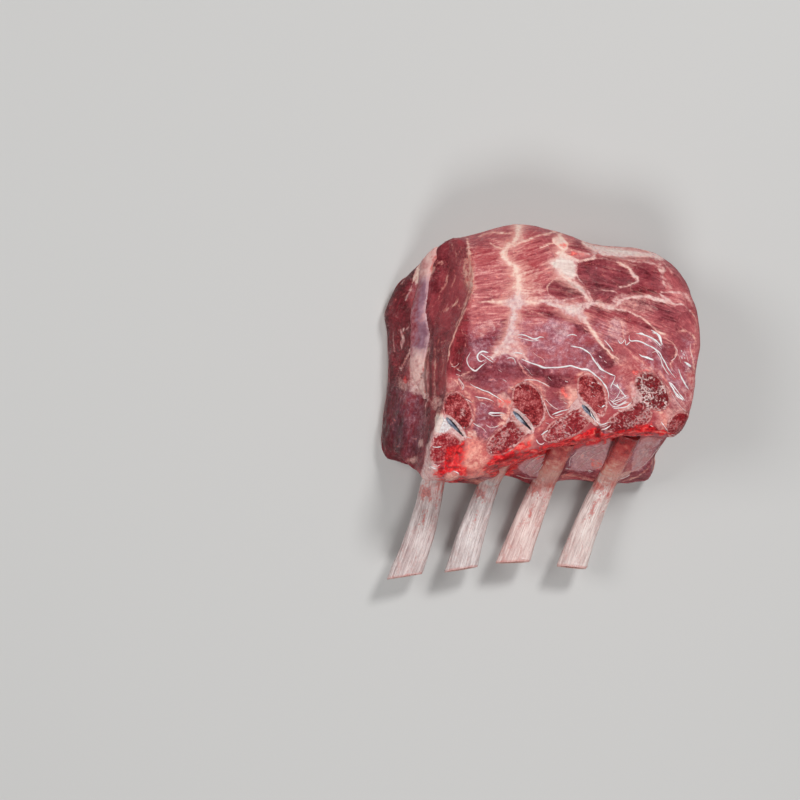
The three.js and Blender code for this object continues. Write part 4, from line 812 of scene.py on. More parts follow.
AREAS = [
    ("tone", 0.42, 0.37, "13.6,52.1 17.5,52.7 22.0,53.6 25.9,53.1 28.3,51.6 30.6,49.7 33.2,47.6 35.1,45.0 34.0,44.0 30.6,43.7 28.5,42.7 27.2,40.6 25.9,38.5 22.3,37.3 19.1,37.7 17.3,40.0 15.4,43.2 14.1,45.8 13.1,48.4"),
    ("tone", 0.34, 1.1, "16.0,46.3 20.2,45.0 25.4,44.0 29.6,43.7 25.9,42.1 20.7,42.1 17.0,43.2"),
    ("tone", 0.36, 0.33, "1.8,43.2 3.9,45.3 6.5,46.6 9.7,45.8 12.8,44.2 15.4,41.6 16.4,40.0 13.9,39.8 10.2,40.0 7.1,39.3 4.5,40.0 2.4,41.6"),
    ("tone", 0.56, 0.44, "4.5,39.1 10.2,39.7 16.5,39.5 17.8,38.0 14.9,37.4 10.2,37.4 6.5,38.0"),
    ("tone", 0.46, 0.48, "29.1,52.3 33.2,53.1 38.0,52.1 42.1,50.5 43.5,47.4 45.8,43.2 45.3,40.0 41.1,39.3 35.9,40.0 30.6,40.8 32.2,43.2 35.3,44.2 35.9,45.8 33.2,49.5 30.6,51.3"),
    ("tone", 0.36, 1.1, "32.2,41.1 38.0,43.2 43.7,41.1 45.3,39.8 38.5,39.5"),
    ("tone", 0.55, 0.55, "45.3,52.1 49.0,52.1 51.3,50.0 52.1,45.8 53.7,41.6 51.0,41.1 47.9,43.2 45.8,45.8 44.2,48.9"),
    ("tone", 0.43, 0.55, "29.1,37.7 33.2,38.1 38.5,38.0 43.7,37.7 47.9,36.1 52.1,35.6 54.2,34.8 56.3,30.6 56.3,28.0 52.1,29.1 45.8,30.6 40.1,33.2 34.8,35.1 30.6,36.1"),
    ("tone", 0.38, 0.73, "20.7,36.1 25.9,35.3 30.6,34.3 35.9,32.1 40.1,29.6 43.7,26.9 40.1,27.4 34.8,28.5 30.6,30.1 25.9,32.1 21.7,34.0 19.6,35.6"),
    ("red", 0.4, 1.1, "20.7,36.1 25.9,35.3 30.6,34.3 35.9,32.1 34.8,28.5 30.6,30.1 25.9,32.1 21.7,34.0 19.6,35.6"),
    ("tone", 0.38, 1.1, "-7.1,33.2 -2.4,34.8 2.9,35.3 7.1,34.2 10.2,32.2 13.4,30.1 16.5,28.0 19.1,25.4 16.0,25.9 11.3,28.5 7.1,30.6 1.8,31.6 -3.4,31.6 -6.5,31.7"),
    ("red", 0.3, 1.47, "-7.1,33.2 -2.4,34.8 2.9,35.3 7.1,34.2 10.2,32.2 13.4,30.1 16.5,28.0 19.1,25.4 16.0,25.9 11.3,28.5 7.1,30.6 1.8,31.6 -3.4,31.6 -6.5,31.7"),
    ("tone", 0.62, 1.83, "17.5,35.3 20.7,33.8 25.9,30.6 24.9,27.5 25.9,24.3 28.0,22.2 24.9,22.0 21.7,23.3 19.1,25.9 17.0,29.6 16.5,32.7"),
    ("tone", 0.86, 1.47, "-0.3,29.6 4.5,30.9 8.6,30.6 11.8,29.1 12.3,25.9 10.2,23.8 7.1,23.3 3.9,24.9 1.3,26.4"),
    ("veil", 0.95, 1.1, "0.3,29.1 4.5,30.9 8.6,30.6 11.8,29.1 12.3,25.9 10.2,23.8 7.1,23.3 3.9,24.9 1.3,26.4"),
    ("white", 0.35, 1.47, "3.9,29.1 8.1,29.3 10.7,27.5 9.7,24.9 6.5,24.9 4.5,26.4"),
    ("tone", 0.78, 0.73, "25.4,30.6 28.0,31.1 30.4,30.4 30.6,27.5 30.1,24.9 28.5,23.3 25.9,24.3 24.9,27.0"),
    ("veil", 0.85, 0.73, "25.4,30.6 28.0,31.1 30.4,30.4 30.6,27.5 30.1,24.9 28.5,23.3 25.9,24.3 24.9,27.0"),
    ("tone", 0.44, 0.37, "-15.4,30.2 -12.3,31.9 -10.7,31.7 -11.0,29.1 -14.4,28.9"),
    ("film", 0.45, 3.3, "-24.1,26.2 -23.0,28.5 -19.6,30.4 -15.7,30.4 -15.3,28.0 -18.6,25.9 -21.7,24.8"),
    ("tone", 0.5, 0.55, "-24.3,23.3 -20.2,25.3 -16.0,26.9 -12.8,26.3 -12.3,23.8 -13.9,20.7 -16.5,19.9 -23.3,19.9 -26.4,22.2"),
    ("veil", 0.6, 0.73, "-24.3,23.3 -20.2,25.3 -16.0,26.9 -12.8,26.3 -12.3,23.8 -13.9,20.7 -16.5,19.9 -23.3,19.9 -26.4,22.2"),
    ("red", 1.0, 2.2, "-6.5,53.7 -2.4,52.1 -0.3,48.4 -0.3,45.3 -4.4,44.8 -6.5,47.4 -7.6,51.0"),
    ("tone", 0.62, 2.2, "-6.0,53.7 -2.4,52.1 -0.3,48.4 -1.3,45.8 -4.4,45.3 -6.0,47.4"),
    ("fat", 0.7, 0.59, "-9.3,65.2 -7.2,65.2 -6.3,62.6 -6.0,59.9 -7.1,58.9 -8.6,59.4 -9.4,62.0"),
    ("fat", 0.85, 0.51, "-13.9,58.1 -11.3,58.6 -12.0,56.3 -12.3,54.2 -14.4,54.1 -15.2,55.2"),
    ("fat", 0.62, 0.95, "-11.5,52.1 -9.7,51.3 -6.5,50.0 -4.4,48.4 -5.5,46.9 -8.6,47.1 -10.2,48.9"),
    ("fat", 0.7, 1.47, "-10.5,44.2 -7.1,44.8 -4.4,43.2 -1.0,41.9 -2.4,39.8 -6.0,38.5 -9.7,37.7 -11.5,38.4 -10.6,41.1"),
    ("fat", 1.0, 1.1, "-12.3,38.5 -7.6,39.1 -6.0,37.2 -7.3,35.1 -10.7,35.1 -12.0,36.4"),
    ("film", 0.8, 1.47, "-11.5,35.1 -7.3,35.1 -6.8,31.7 -8.4,28.3 -11.0,28.0 -11.5,31.7"),
    ("white", 0.35, 1.47, "-11.0,34.3 -7.6,34.6 -7.3,31.7 -8.6,28.8 -10.7,28.8"),
    ("fat", 0.8, 0.73, "-12.0,26.7 -8.4,27.5 -7.3,25.4 -10.5,23.3 -12.2,20.4 -14.8,19.9 -13.9,22.8 -12.3,24.9"),
    ("fat", 0.95, 0.55, "4.2,61.0 8.1,61.6 10.1,59.4 10.3,57.3 8.9,56.4 7.1,56.9 5.5,58.3 4.3,59.4"),
    ("white", 0.45, 0.73, "5.5,60.7 7.9,61.2 9.4,59.4 8.4,58.9 6.5,58.9"),
    ("fat", 0.95, 0.44, "5.0,55.6 7.1,56.8 10.2,54.7 13.9,53.2 17.5,53.2 20.7,54.3 20.4,53.6 16.5,52.3 12.3,52.2 9.2,53.6 6.5,54.1"),
    ("fat", 0.85, 0.95, "2.1,51.3 3.9,53.1 7.1,54.8 11.3,53.1 13.5,52.1 13.1,49.5 12.9,46.9 12.4,45.2 10.2,46.2 6.5,46.9 7.1,48.8 3.9,50.4"),
    ("white", 0.85, 1.1, "3.9,51.8 7.1,53.7 11.0,52.6 12.8,51.3 12.3,48.4 11.8,46.3 9.2,47.4 7.6,49.2 5.0,50.5"),
    ("fat", 0.85, 0.48, "10.0,45.9 12.9,45.3 15.6,42.6 17.6,39.5 19.2,37.6 17.5,37.6 15.9,40.0 13.1,43.1"),
    ("fat", 0.75, 1.1, "1.3,39.0 3.9,40.0 6.5,38.5 10.2,37.3 15.4,37.1 19.4,36.8 17.8,35.1 15.4,33.2 14.1,31.1 11.3,32.5 8.9,34.2 6.5,35.6 3.9,36.9"),
    ("white", 0.55, 1.1, "9.2,35.9 12.3,36.6 14.9,35.9 13.9,33.2 11.8,33.2 9.7,34.3"),
    ("veil", 0.8, 0.73, "1.8,40.0 3.9,38.5 7.1,36.9 8.1,35.9 5.0,36.6 2.4,38.5"),
    ("fat", 1.0, 0.51, "17.0,58.6 22.8,58.0 30.6,56.9 38.5,55.9 43.7,54.8 45.4,53.7 38.5,54.2 30.6,54.4 22.8,54.6 20.7,55.6 18.6,57.0"),
    ("white", 0.7, 0.73, "19.1,57.7 25.4,57.2 33.2,56.2 40.1,55.2 33.2,55.1 25.4,55.6"),
    # painted shade: a thin shadow line below the top strip of fat
    ("crease_shade", 0.55, 0.37, "23.3,54.2 30.6,54.1 38.0,53.9 43.2,53.6 38.0,53.5 30.6,53.5 23.3,53.7"),
    ("fat", 0.72, 0.88, "32.2,53.0 36.4,53.2 40.1,52.7 43.7,51.3 45.8,51.0 46.6,48.8 44.8,47.4 43.3,48.5 42.1,51.0 38.5,52.1 32.7,52.5"),
    ("fat", 0.5, 0.92, "44.2,47.4 46.3,46.3 48.2,43.7 49.2,41.6 46.9,42.1 45.3,44.8"),
    ("fat", 0.62, 0.95, "27.2,39.9 29.6,41.1 33.5,40.8 30.6,39.4 28.6,38.0 27.2,35.8 24.9,35.8 25.9,38.0"),
    ("fat", 0.66, 0.88, "50.8,40.7 53.7,40.0 56.3,37.5 56.4,34.6 54.2,37.8 52.1,39.2"),
    ("fat", 0.55, 1.1, "45.3,38.0 49.0,37.4 52.1,36.3 50.5,35.9 46.3,36.6"),
    ("tone", 0.28, 0.73, "-57.3,33.1 -54.4,34.8 -52.0,37.2 -48.7,40.5 -47.1,42.9 -46.7,37.2 -47.1,31.1 -46.7,25.0 -46.7,18.1 -56.4,18.1"),
    # painted shade: the far left edge of the end cut, dark muscle made darker still where the face turns down
    ("tone", 0.06, 0.73, "-57.1,31.9 -53.6,33.1 -52.4,29.1 -52.0,25.0 -50.7,18.1 -56.6,18.1"),
    ("tone", 0.44, 1.1, "-53.6,35.4 -48.7,39.2 -45.5,42.5 -42.2,42.9 -42.6,37.2 -44.2,32.3 -48.7,29.9 -51.2,27.8 -52.4,31.9"),
    ("tone", 0.16, 0.55, "-51.6,47.4 -49.1,50.2 -45.9,53.1 -43.8,53.9 -44.6,51.4 -46.3,48.6 -47.1,45.7 -47.1,43.7 -50.3,39.6 -52.4,38.0"),
    ("fat", 0.85, 0.59, "-44.0,53.7 -41.4,55.7 -38.5,55.9 -38.9,53.5 -40.6,50.6 -41.0,46.6 -41.4,44.9 -43.4,44.4 -45.9,44.0 -47.2,45.7 -46.3,48.6 -44.6,51.4"),
    ("veil", 0.6, 1.83, "-46.7,43.5 -41.4,44.5 -42.4,39.2 -42.8,33.9 -41.8,29.9 -41.0,25.8 -41.0,18.1 -46.3,18.1 -46.7,25.0 -47.1,30.7 -45.5,37.2"),
    ("film", 0.35, 1.1, "-46.7,43.5 -41.4,44.5 -42.4,39.2 -42.8,33.9 -41.8,29.9 -41.0,25.8 -41.0,18.1 -46.3,18.1 -46.7,25.0 -47.1,30.7 -45.5,37.2"),
    ("tone", 0.44, 0.48, "-38.5,55.5 -33.6,58.8 -27.9,59.6 -27.1,55.1 -28.4,51.4 -28.6,46.2 -27.9,41.7 -28.6,37.2 -29.6,33.9 -30.8,30.3 -32.0,25.8 -32.8,23.4 -34.5,22.5 -36.1,20.9 -37.7,19.7 -39.8,20.9 -40.6,25.0 -41.8,29.9 -42.6,33.9 -41.8,40.5 -41.0,46.2 -40.2,49.4 -38.5,52.3"),
    ("tone", 0.4, 1.47, "-32.8,59.6 -27.1,60.8 -26.7,55.5 -30.4,54.3 -32.4,56.7"),
    ("fat", 0.7, 1.47, "-26.9,46.2 -25.8,46.6 -24.8,43.9 -25.4,41.6 -27.1,41.1 -27.6,43.3"),
    ("white", 0.35, 0.73, "-26.7,45.3 -24.7,44.9 -25.1,42.1 -26.9,41.7"),
    ("warmth", 0.75, 1.1, "-28.8,55.9 -23.9,55.9 -23.9,41.3 -28.8,41.3"),
    ("red", 1, 0.44, "-26.8,51.4 -25.5,51.0 -25.3,47.8 -26.2,46.6 -26.7,48.6"),
    ("film", 0.35, 1.83, "-26.3,59.6 -23.9,60.4 -22.2,57.6 -24.7,55.1 -26.3,56.7"),
    ("red", 1, 0.73, "-27.1,33.1 -26.6,29.1 -27.0,25.0 -27.9,20.9 -29.6,18.1 -33.6,18.1 -32.8,21.7 -31.2,25.0 -29.5,29.9 -28.4,32.7"),
    ("tone", 0.5, 0.73, "-27.1,33.1 -26.6,29.1 -27.0,25.0 -27.9,20.9 -29.6,18.1 -33.6,18.1 -32.8,21.7 -31.2,25.0 -29.5,29.9 -28.4,32.7"),
    ("blood", 0.1, 2.2, "-27.5,30.7 -27.0,26.6 -27.9,21.7 -30.4,18.9 -31.6,20.9 -30.0,25.8"),
    ("fat", 0.72, 2.57, "-46.7,18.5 -41.0,21.7 -41.0,19.3 -41.8,15.6 -41.6,11.5 -41.8,8.3 -41.4,4.6 -41.0,1.4 -42.2,-1.1 -43.0,1.4 -43.8,4.2 -45.9,3.4 -47.9,4.6 -48.7,7.5 -48.3,11.1 -47.5,14.8"),
    ("white", 0.3, 1.1, "-45.9,16.8 -42.2,19.3 -42.6,13.6 -42.6,8.3 -42.6,4.2 -46.7,5.4 -47.5,9.5"),
    ("film", 0.62, 1.47, "-52.4,9.5 -48.7,7.9 -48.5,5.4 -50.7,4.9 -52.8,6.7"),
    ("blood", 0.62, 0.92, "-50.5,9.9 -48.7,9.9 -48.2,8.3 -49.1,7.7 -50.3,8.3"),
    ("tone", 0.36, 1.1, "-41.0,20.9 -38.9,20.9 -38.5,13.6 -39.3,6.3 -39.8,1.4 -41.0,4.6 -41.3,11.5 -41.4,16.8"),
    ("tone", 0.4, 0.55, "-37.3,8.3 -34.8,8.3 -35.6,4.2 -37.7,3.7 -38.5,5.4"),
    ("fat", 0.62, 1.1, "-40.6,0.6 -38.9,3.4 -36.1,2.2 -35.7,-0.3 -37.7,-2.0 -39.8,-2.0"),
    ("tone", 0.27, 1.1, "-56.4,9.5 -52.8,10.3 -52.0,5.4 -48.7,4.6 -45.5,3.0 -43.4,0.6 -42.2,-1.9 -43.4,-6.8 -43.4,-12.9 -42.6,-19.0 -42.6,-24.3 -48.7,-22.7 -54.8,-21.0 -58.9,-19.0 -58.9,-3.5 -57.3,3.4"),
    ("veil", 0.16, 1.47, "-54.0,4.6 -48.7,4.2 -45.5,2.6 -43.4,0.1 -43.0,-6.8 -43.4,-12.9 -46.7,-17.0 -52.8,-14.9 -55.6,-6.8"),
    ("film", 0.85, 0.73, "-45.2,-13.1 -43.7,-12.9 -43.2,-14.3 -44.2,-15.4 -45.4,-14.7"),
    ("film", 0.8, 0.88, "-48.9,-19.8 -46.7,-19.2 -45.7,-20.2 -46.7,-21.6 -48.5,-21.4"),
    # painted shade in two small creases
    ("crease_shade", 0.7, 0.37, "-42.0,-1.1 -40.9,-0.5 -41.0,-3.1 -42.1,-4.7 -42.6,-3.1"),
    ("crease_shade", 0.5, 0.37, "-39.5,-4.3 -38.7,-4.3 -39.1,-9.2 -40.1,-9.2"),
    ("fat", 1, 0.48, "-38.6,-3.1 -36.1,-3.4 -34.4,-4.7 -32.8,-7.7 -30.4,-9.7 -27.9,-12.2 -28.8,-13.0 -30.8,-11.3 -33.6,-10.5 -36.1,-10.9 -38.5,-12.2 -39.4,-10.0 -38.7,-6.8"),
    ("white", 0.9, 0.66, "-38.1,-3.9 -36.1,-4.3 -34.5,-6.0 -32.8,-8.4 -34.5,-10.0 -36.7,-10.4 -38.3,-10.4 -38.5,-7.2"),
    ("blood", 1, 5.86, "-33.6,-15.7 -30.4,-14.1 -27.1,-12.5 -24.3,-12.1 -26.3,-14.9 -29.2,-17.4 -29.5,-20.6 -31.1,-22.7 -28.7,-23.9 -28.7,-26.3 -30.4,-28.4 -36.1,-28.4 -36.9,-25.5 -34.9,-23.1 -33.6,-20.6 -34.1,-17.8"),
    ("film", 1, 0.37, "-35.3,-25.5 -32.8,-24.2 -30.4,-25.1 -30.8,-27.1 -33.6,-27.7 -35.2,-27.1"),
    ("tone", 0.4, 0.59, "-29.0,10.1 -25.3,10.9 -21.6,14.6 -17.2,15.4 -13.1,15.0 -9.4,14.6 -7.0,12.2 -6.2,10.1 -8.6,9.3 -13.9,8.5 -15.1,5.2 -16.7,3.2 -22.0,5.6 -26.1,8.1"),
    ("tone", 0.38, 0.55, "-7.4,15.0 -2.9,13.8 2.8,13.0 3.2,11.7 -0.5,10.9 -2.1,10.3 -4.9,11.7"),
    ("tone", 0.33, 0.55, "1.2,10.1 3.2,10.9 6.5,10.1 8.9,8.1 9.3,6.9 7.3,5.6 4.4,6.5 2.0,8.5"),
    ("tone", 0.5, 0.92, "-24.1,3.2 -19.2,2.0 -15.9,0.8 -19.2,-2.9 -20.8,-5.4 -23.3,-1.3 -24.1,1.2"),
    ("tone", 0.48, 0.92, "-24.5,-1.3 -20.0,-3.7 -15.9,-5.4 -15.1,-7.8 -17.6,-10.6 -22.0,-13.9 -24.1,-11.9 -23.3,-9.4 -24.9,-5.4"),
    ("tone", 0.4, 0.55, "-1.3,-10.6 1.2,-9.4 3.6,-10.6 1.2,-14.3 -1.3,-14.7"),
    ("film", 0.9, 0.92, "-16.3,2.8 -13.9,4.6 -11.0,2.8 -8.6,0.3 -9.8,-1.3 -13.5,-1.3 -15.9,-0.5"),
    ("blood", 0.34, 1.83, "-16.7,1.6 -13.9,2.0 -12.3,-0.5 -15.1,-1.3"),
    ("fat", 0.85, 0.73, "10.1,4.4 13.0,5.4 15.8,1.6 14.4,-1.3 11.3,-3.0 10.5,0.3"),
    ("warmth", 0.55, 0.73, "9.7,5.2 13.4,6.0 15.8,1.6 13.4,-0.9 10.9,1.2"),
    ("red", 0.9, 1.1, "13.0,10.9 15.8,11.7 16.0,8.9 14.6,6.0 12.6,8.1 11.8,10.1"),
    ("film", 0.5, 1.1, "4.4,4.4 9.3,6.0 10.9,3.6 9.3,2.0 5.2,2.8"),
    ("blood", 0.3, 1.47, "4.4,4.4 9.3,6.0 10.9,3.6 9.3,2.0 5.2,2.8"),
    ("fat", 0.8, 0.81, "-18.0,17.8 -15.1,20.7 -12.3,22.7 -9.8,21.1 -7.0,19.1 -5.1,17.0 -8.6,16.6 -12.3,18.6 -15.1,17.8"),
    ("veil", 0.55, 1.47, "-5.3,21.9 1.2,23.6 5.2,21.9 7.7,19.9 5.2,17.4 2.0,18.3 -2.9,19.5"),
    ("tone", 0.74, 1.83, "-5.3,21.9 1.2,23.6 9.3,23.1 9.3,19.1 5.2,16.6 2.0,17.4 -2.9,19.5"),
    ("tone", 0.36, 0.44, "20.5,18.9 22.5,20.5 25.4,19.3 27.8,16.4 26.2,13.6 23.4,13.2 20.9,15.6"),
    ("tone", 0.44, 0.44, "44.5,21.7 47.4,22.1 49.8,20.1 49.4,17.2 47.0,14.8 45.3,17.2 44.5,19.7"),
    ("tone", 0.5, 0.44, "49.4,25.0 51.9,27.0 55.1,26.6 55.9,24.6 53.9,22.9 50.6,23.4"),
    ("tone", 0.8, 0.73, "25.4,27.4 26.6,30.3 29.9,30.7 31.1,27.4 31.5,23.8 29.5,22.1 26.6,24.2"),
    ("veil", 0.85, 0.73, "25.4,27.4 26.6,30.3 29.9,30.7 31.1,27.4 31.5,23.8 29.5,22.1 26.6,24.2"),
    ("tone", 0.76, 0.73, "27.8,11.1 30.3,16.4 34.4,18.1 39.2,14.8 42.5,12.8 38.4,11.5 35.2,9.9 33.1,7.5 32.7,4.2 29.5,7.9"),
    ("film", 0.35, 0.73, "27.8,11.1 30.3,16.4 34.4,18.1 39.2,14.8 42.5,12.8 38.4,11.5 35.2,9.9 33.1,7.5 32.7,4.2 29.5,7.9"),
    ("veil", 0.9, 0.73, "25.4,7.5 27.4,9.5 29.5,6.7 32.3,2.6 31.5,1.0 26.2,1.0 25.0,3.4"),
    ("veil", 0.6, 1.1, "46.6,12.8 50.6,13.2 53.1,6.7 53.9,4.2 50.6,4.2 48.2,8.3"),
    ("fat", 0.75, 0.73, "33.3,5.0 36.0,5.6 37.7,2.6 37.3,0.5 34.4,-0.1 33.0,2.5"),
    ("film", 0.7, 1.1, "46.6,-1.1 50.6,-1.5 53.9,-2.7 50.6,-3.9 48.2,-6.4 46.6,-5.1 44.9,-2.7"),
    ("tone", 0.78, 1.1, "54.7,11.5 57.2,14.8 57.2,9.9 55.9,1.8 54.7,-2.7 53.9,0.1 54.7,6.3"),
    ("red", 0.6, 1.1, "54.7,11.5 57.2,14.8 57.2,9.9 55.9,1.8 54.7,-2.7 53.9,0.1 54.7,6.3"),
    ("fat", 0.85, 5.86, "-29.3,-14.9 -25.9,-12.7 -22.0,-13.8 -18.6,-15.5 -18.0,-18.3 -19.1,-20.6 -18.0,-24.5 -19.1,-26.5 -22.0,-28.7 -27.0,-28.6 -28.6,-25.7 -29.7,-21.7 -29.7,-17.7"),
    ("blood", 0.26, 5.13, "-29.9,-14.4 -22.0,-13.8 -18.0,-16.0 -16.9,-24.5 -22.0,-29.0 -27.6,-28.5 -29.9,-21.7"),
    ("warmth", 0.95, 4.4, "-34.9,-14.4 -22.0,-13.8 -18.0,-16.0 -16.9,-24.5 -22.0,-29.0 -27.6,-28.5 -29.9,-21.7"),
    ("blood", 1, 5.13, "-33.8,-17.2 -30.4,-13.8 -27.0,-13.8 -29.7,-17.7 -29.9,-21.7 -30.4,-23.9 -28.6,-26.3 -29.3,-28.0 -31.5,-27.7 -34.4,-26.9 -36.6,-25.2 -34.4,-22.2 -33.2,-20.0"),
    ("blood", 1, 5.13, "-18.0,-19.1 -14.1,-17.7 -10.7,-18.2 -8.9,-20.6 -12.4,-21.7 -11.7,-23.9 -15.2,-25.2 -18.0,-24.1 -19.1,-22.4 -18.6,-20.6"),
    ("blood", 1, 1.83, "-10.7,-18.2 -5.6,-17.5 0.0,-16.3 4.5,-14.6 9.0,-12.8 13.6,-11.1 18.6,-9.3 20.6,-9.3 19.2,-10.7 15.8,-12.3 12.4,-12.9 7.9,-14.1 4.5,-15.3 0.0,-17.1 -5.6,-18.3 -10.1,-19.1"),
    ("blood", 1, 1.83, "23.7,-12.0 28.8,-10.3 32.7,-9.7 36.1,-9.2 40.9,-8.6 40.3,-11.0 38.4,-11.7 33.8,-11.1 28.8,-11.8 26.0,-12.8"),
    ("fat", 0.7, 0.92, "-11.3,-14.9 -6.7,-13.2 -2.2,-13.8 -4.5,-16.0 -9.0,-17.2 -12.4,-17.7"),
    ("warmth", 0.9, 0.92, "-12.4,-14.9 -2.2,-12.7 -1.1,-14.9 -9.0,-17.7 -13.5,-18.9"),
    # pleura windows under the overhanging edge: pale membrane, with tone and white raised further as painted light
    # against the edge's shade
    ("tone", 1, 0.51, "-8.4,-23.9 -5.6,-21.1 -1.1,-19.4 3.4,-17.7 1.7,-21.7 0.6,-25.1 -3.9,-26.2 -6.7,-25.6"),
    ("veil", 1, 0.51, "-8.4,-23.9 -5.6,-21.1 -1.1,-19.4 3.4,-17.7 1.7,-21.7 0.6,-25.1 -3.9,-26.2 -6.7,-25.6"),
    ("white", 0.2, 0.59, "-7.3,-23.7 -4.5,-21.4 -0.5,-20.0 2.6,-18.6 1.2,-21.7 0.0,-24.5 -3.9,-25.5 -6.2,-25.0"),
    ("tone", 1, 0.51, "9.0,-23.7 9.9,-18.9 13.0,-16.6 19.2,-14.9 27.1,-12.7 25.5,-17.7 23.3,-21.7 18.6,-24.2 13.6,-25.2"),
    ("veil", 1, 0.51, "9.0,-23.7 9.9,-18.9 13.0,-16.6 19.2,-14.9 27.1,-12.7 25.5,-17.7 23.3,-21.7 18.6,-24.2 13.6,-25.2"),
    ("white", 0.25, 0.59, "10.2,-23.4 10.8,-19.7 13.6,-17.5 19.2,-15.8 26.0,-13.5 24.5,-17.7 22.3,-21.1 18.6,-23.4 13.6,-24.4"),
    ("tone", 1, 0.59, "34.4,-17.7 37.2,-13.2 45.1,-13.2 43.4,-17.2 40.6,-21.7 36.7,-24.5 33.3,-25.1"),
    ("veil", 0.75, 0.59, "34.4,-17.7 37.2,-13.2 45.1,-13.2 43.4,-17.2 40.6,-21.7 36.7,-24.5 33.3,-25.1"),
    ("white", 0.32, 0.66, "35.3,-17.7 37.8,-14.1 44.0,-14.1 42.3,-17.2 39.8,-21.1 36.1,-23.7 34.1,-23.9"),
    ("film", 0.8, 0.44, "18.3,-21.1 22.0,-20.4 22.7,-22.8 19.2,-23.6"),
    ("blood", 0.5, 0.59, "18.1,-20.8 22.3,-20.3 22.9,-23.1 18.9,-23.9"),
    ("film", 0.5, 0.73, "7.4,-24.8 10.2,-25.6 15.8,-26.8 19.2,-27.3 15.8,-28.2 7.9,-27.4"),
    ("red", 0.8, 0.73, "7.4,-24.5 10.2,-25.5 15.8,-26.6 19.2,-27.3 15.8,-28.3 7.9,-27.6"),
    ("red", 0.8, 0.73, "-13.5,-26.2 -9.0,-26.2 -1.7,-27.3 -4.5,-28.8 -10.1,-27.4"),
    ("film", 1, 0.44, "26.5,-25.1 30.5,-23.9 33.3,-24.5 32.2,-26.2 28.8,-27.3 26.8,-26.5"),
    ("lump", 0.9, 1.1, "-37.2,-13.2 -18.0,-13.2 -10.1,-17.2 -9.0,-22.2 -16.9,-26.2 -21.4,-29.0 -37.2,-28.5"),
    ("tone", 0.55, 0.73, "9.0,-23.7 9.9,-18.9 13.0,-16.6 11.9,-20.0 11.0,-23.7"),
    ("red", 0.8, 1.1, "42.9,-17.2 45.1,-13.8 46.3,-13.2 44.0,-18.9 40.6,-24.5 37.2,-26.2 39.5,-22.8"),
    ("tone", 0.4, 1.1, "42.9,-17.2 45.1,-13.8 46.3,-13.2 44.0,-18.9 40.6,-24.5 37.2,-26.2 39.5,-22.8"),
    ("cool", 0.8, 3.66, "-0.3,40.0 7.1,40.0 15.4,38.0 20.7,38.0 20.7,31.7 13.9,29.6 7.1,31.7 -0.3,35.9"),
    ("cool", 0.9, 2.93, "-12.3,40.0 -6.5,40.0 -5.5,34.8 -6.5,27.5 -7.6,24.3 -12.3,19.1 -16.0,19.1 -13.9,24.3 -11.8,29.6"),
    ("cool", 0.6, 3.66, "2.9,53.7 14.4,53.7 20.7,38.0 15.4,38.0 10.2,45.8 2.9,49.5"),
    ("cool", 0.8, 2.2, "16.5,59.4 45.8,55.2 45.8,53.1 16.5,54.2"),
    ("cool", 0.7, 2.93, "31.5,8.3 39.2,8.3 39.2,-1.9 31.5,-1.9"),
    ("cool", 0.7, 5.13, "-19.2,24.0 -5.3,23.1 -4.5,15.8 -19.2,15.8"),
    ("cool", 0.4, 3.66, "-43.4,2.2 -33.6,2.2 -33.6,-3.5 -43.4,-3.5"),
    ("tone", 0.56, 2.57, "-50.7,39.6 -47.1,43.5 -45.5,43.7 -45.5,18.1 -50.7,18.9 -52.0,29.1"),
    ("cool", 0.6, 2.57, "-54.8,47.8 -45.5,43.7 -45.5,18.1 -54.8,18.1"),
    ("tone", 0.38, 1.1, "-38.5,21.7 -34.8,21.7 -34.6,13.6 -35.7,8.3 -38.3,8.3"),
    ("red", 0.8, 1.47, "-41.4,21.7 -34.8,21.7 -34.6,13.6 -35.7,8.3 -41.0,5.4"),
    ("cool", 0.6, 3.66, "22.8,43.2 56.8,43.2 56.8,32.7 22.8,32.7"),
    ("cool", 0.5, 3.66, "32.2,54.7 50.0,54.7 50.0,42.1 32.2,42.1"),
    ("cool", 0.7, 2.93, "-58.9,13.6 -41.4,13.6 -41.4,-25.1 -58.9,-25.1"),
    ("red", 0.8, 2.93, "-41.3,19.9 -34.7,19.9 -35.4,8.3 -38.5,2.2 -38.4,-13.1 -41.3,-13.1"),
    # painted light: lift areas lighten the muscle where it renders darker under these lamps, mostly on steep faces and
    # under the overhanging edge
    ("lift", 0.5, 3.66, "23.2,36.0 36.4,38.2 46.6,31.6 48.1,19.9 40.1,13.3 26.1,16.2 20.3,27.2"),
    ("lift", 0.8, 1.83, "-30.3,49.9 -25.2,52.1 -23.7,36.4 -28.1,33.8"),
    ("lift", 0.6, 2.93, "-7.6,46.3 5.6,46.3 5.6,33.8 -7.6,33.8"),
    ("lift", 0.7, 2.2, "-25.9,33.1 -14.9,33.1 -14.9,25.0 -25.9,25.0"),
    ("lift", 0.7, 2.2, "-27.4,8.2 -14.9,7.4 -16.4,-2.1 -22.2,-2.8 -27.4,1.6"),
    ("lift", 0.7, 1.47, "-7.6,-16.0 7.1,-16.0 5.6,-27.7 -11.3,-27.7"),
    ("lift", 0.7, 1.47, "12.6,-13.8 40.1,-11.6 36.4,-27.7 10.7,-28.5"),
    ("lift", 0.6, 2.2, "-20.8,7.1 -7.6,10.7 1.6,7.1 -14.9,1.6"),
    ("lift", 0.5, 2.93, "43.7,52.1 54.7,43.7 56.2,23.6 49.6,23.6 44.4,38.2"),
    ("veil", 0.55, 4.4, "-25.9,27.2 7.1,30.9 21.7,21.7 21.7,11.8 -7.6,14.0 -25.9,16.2"),
    ("film", 0.45, 1.47, "24.7,31.6 30.5,32.4 32.7,26.5 29.8,21.4 24.7,23.6"),
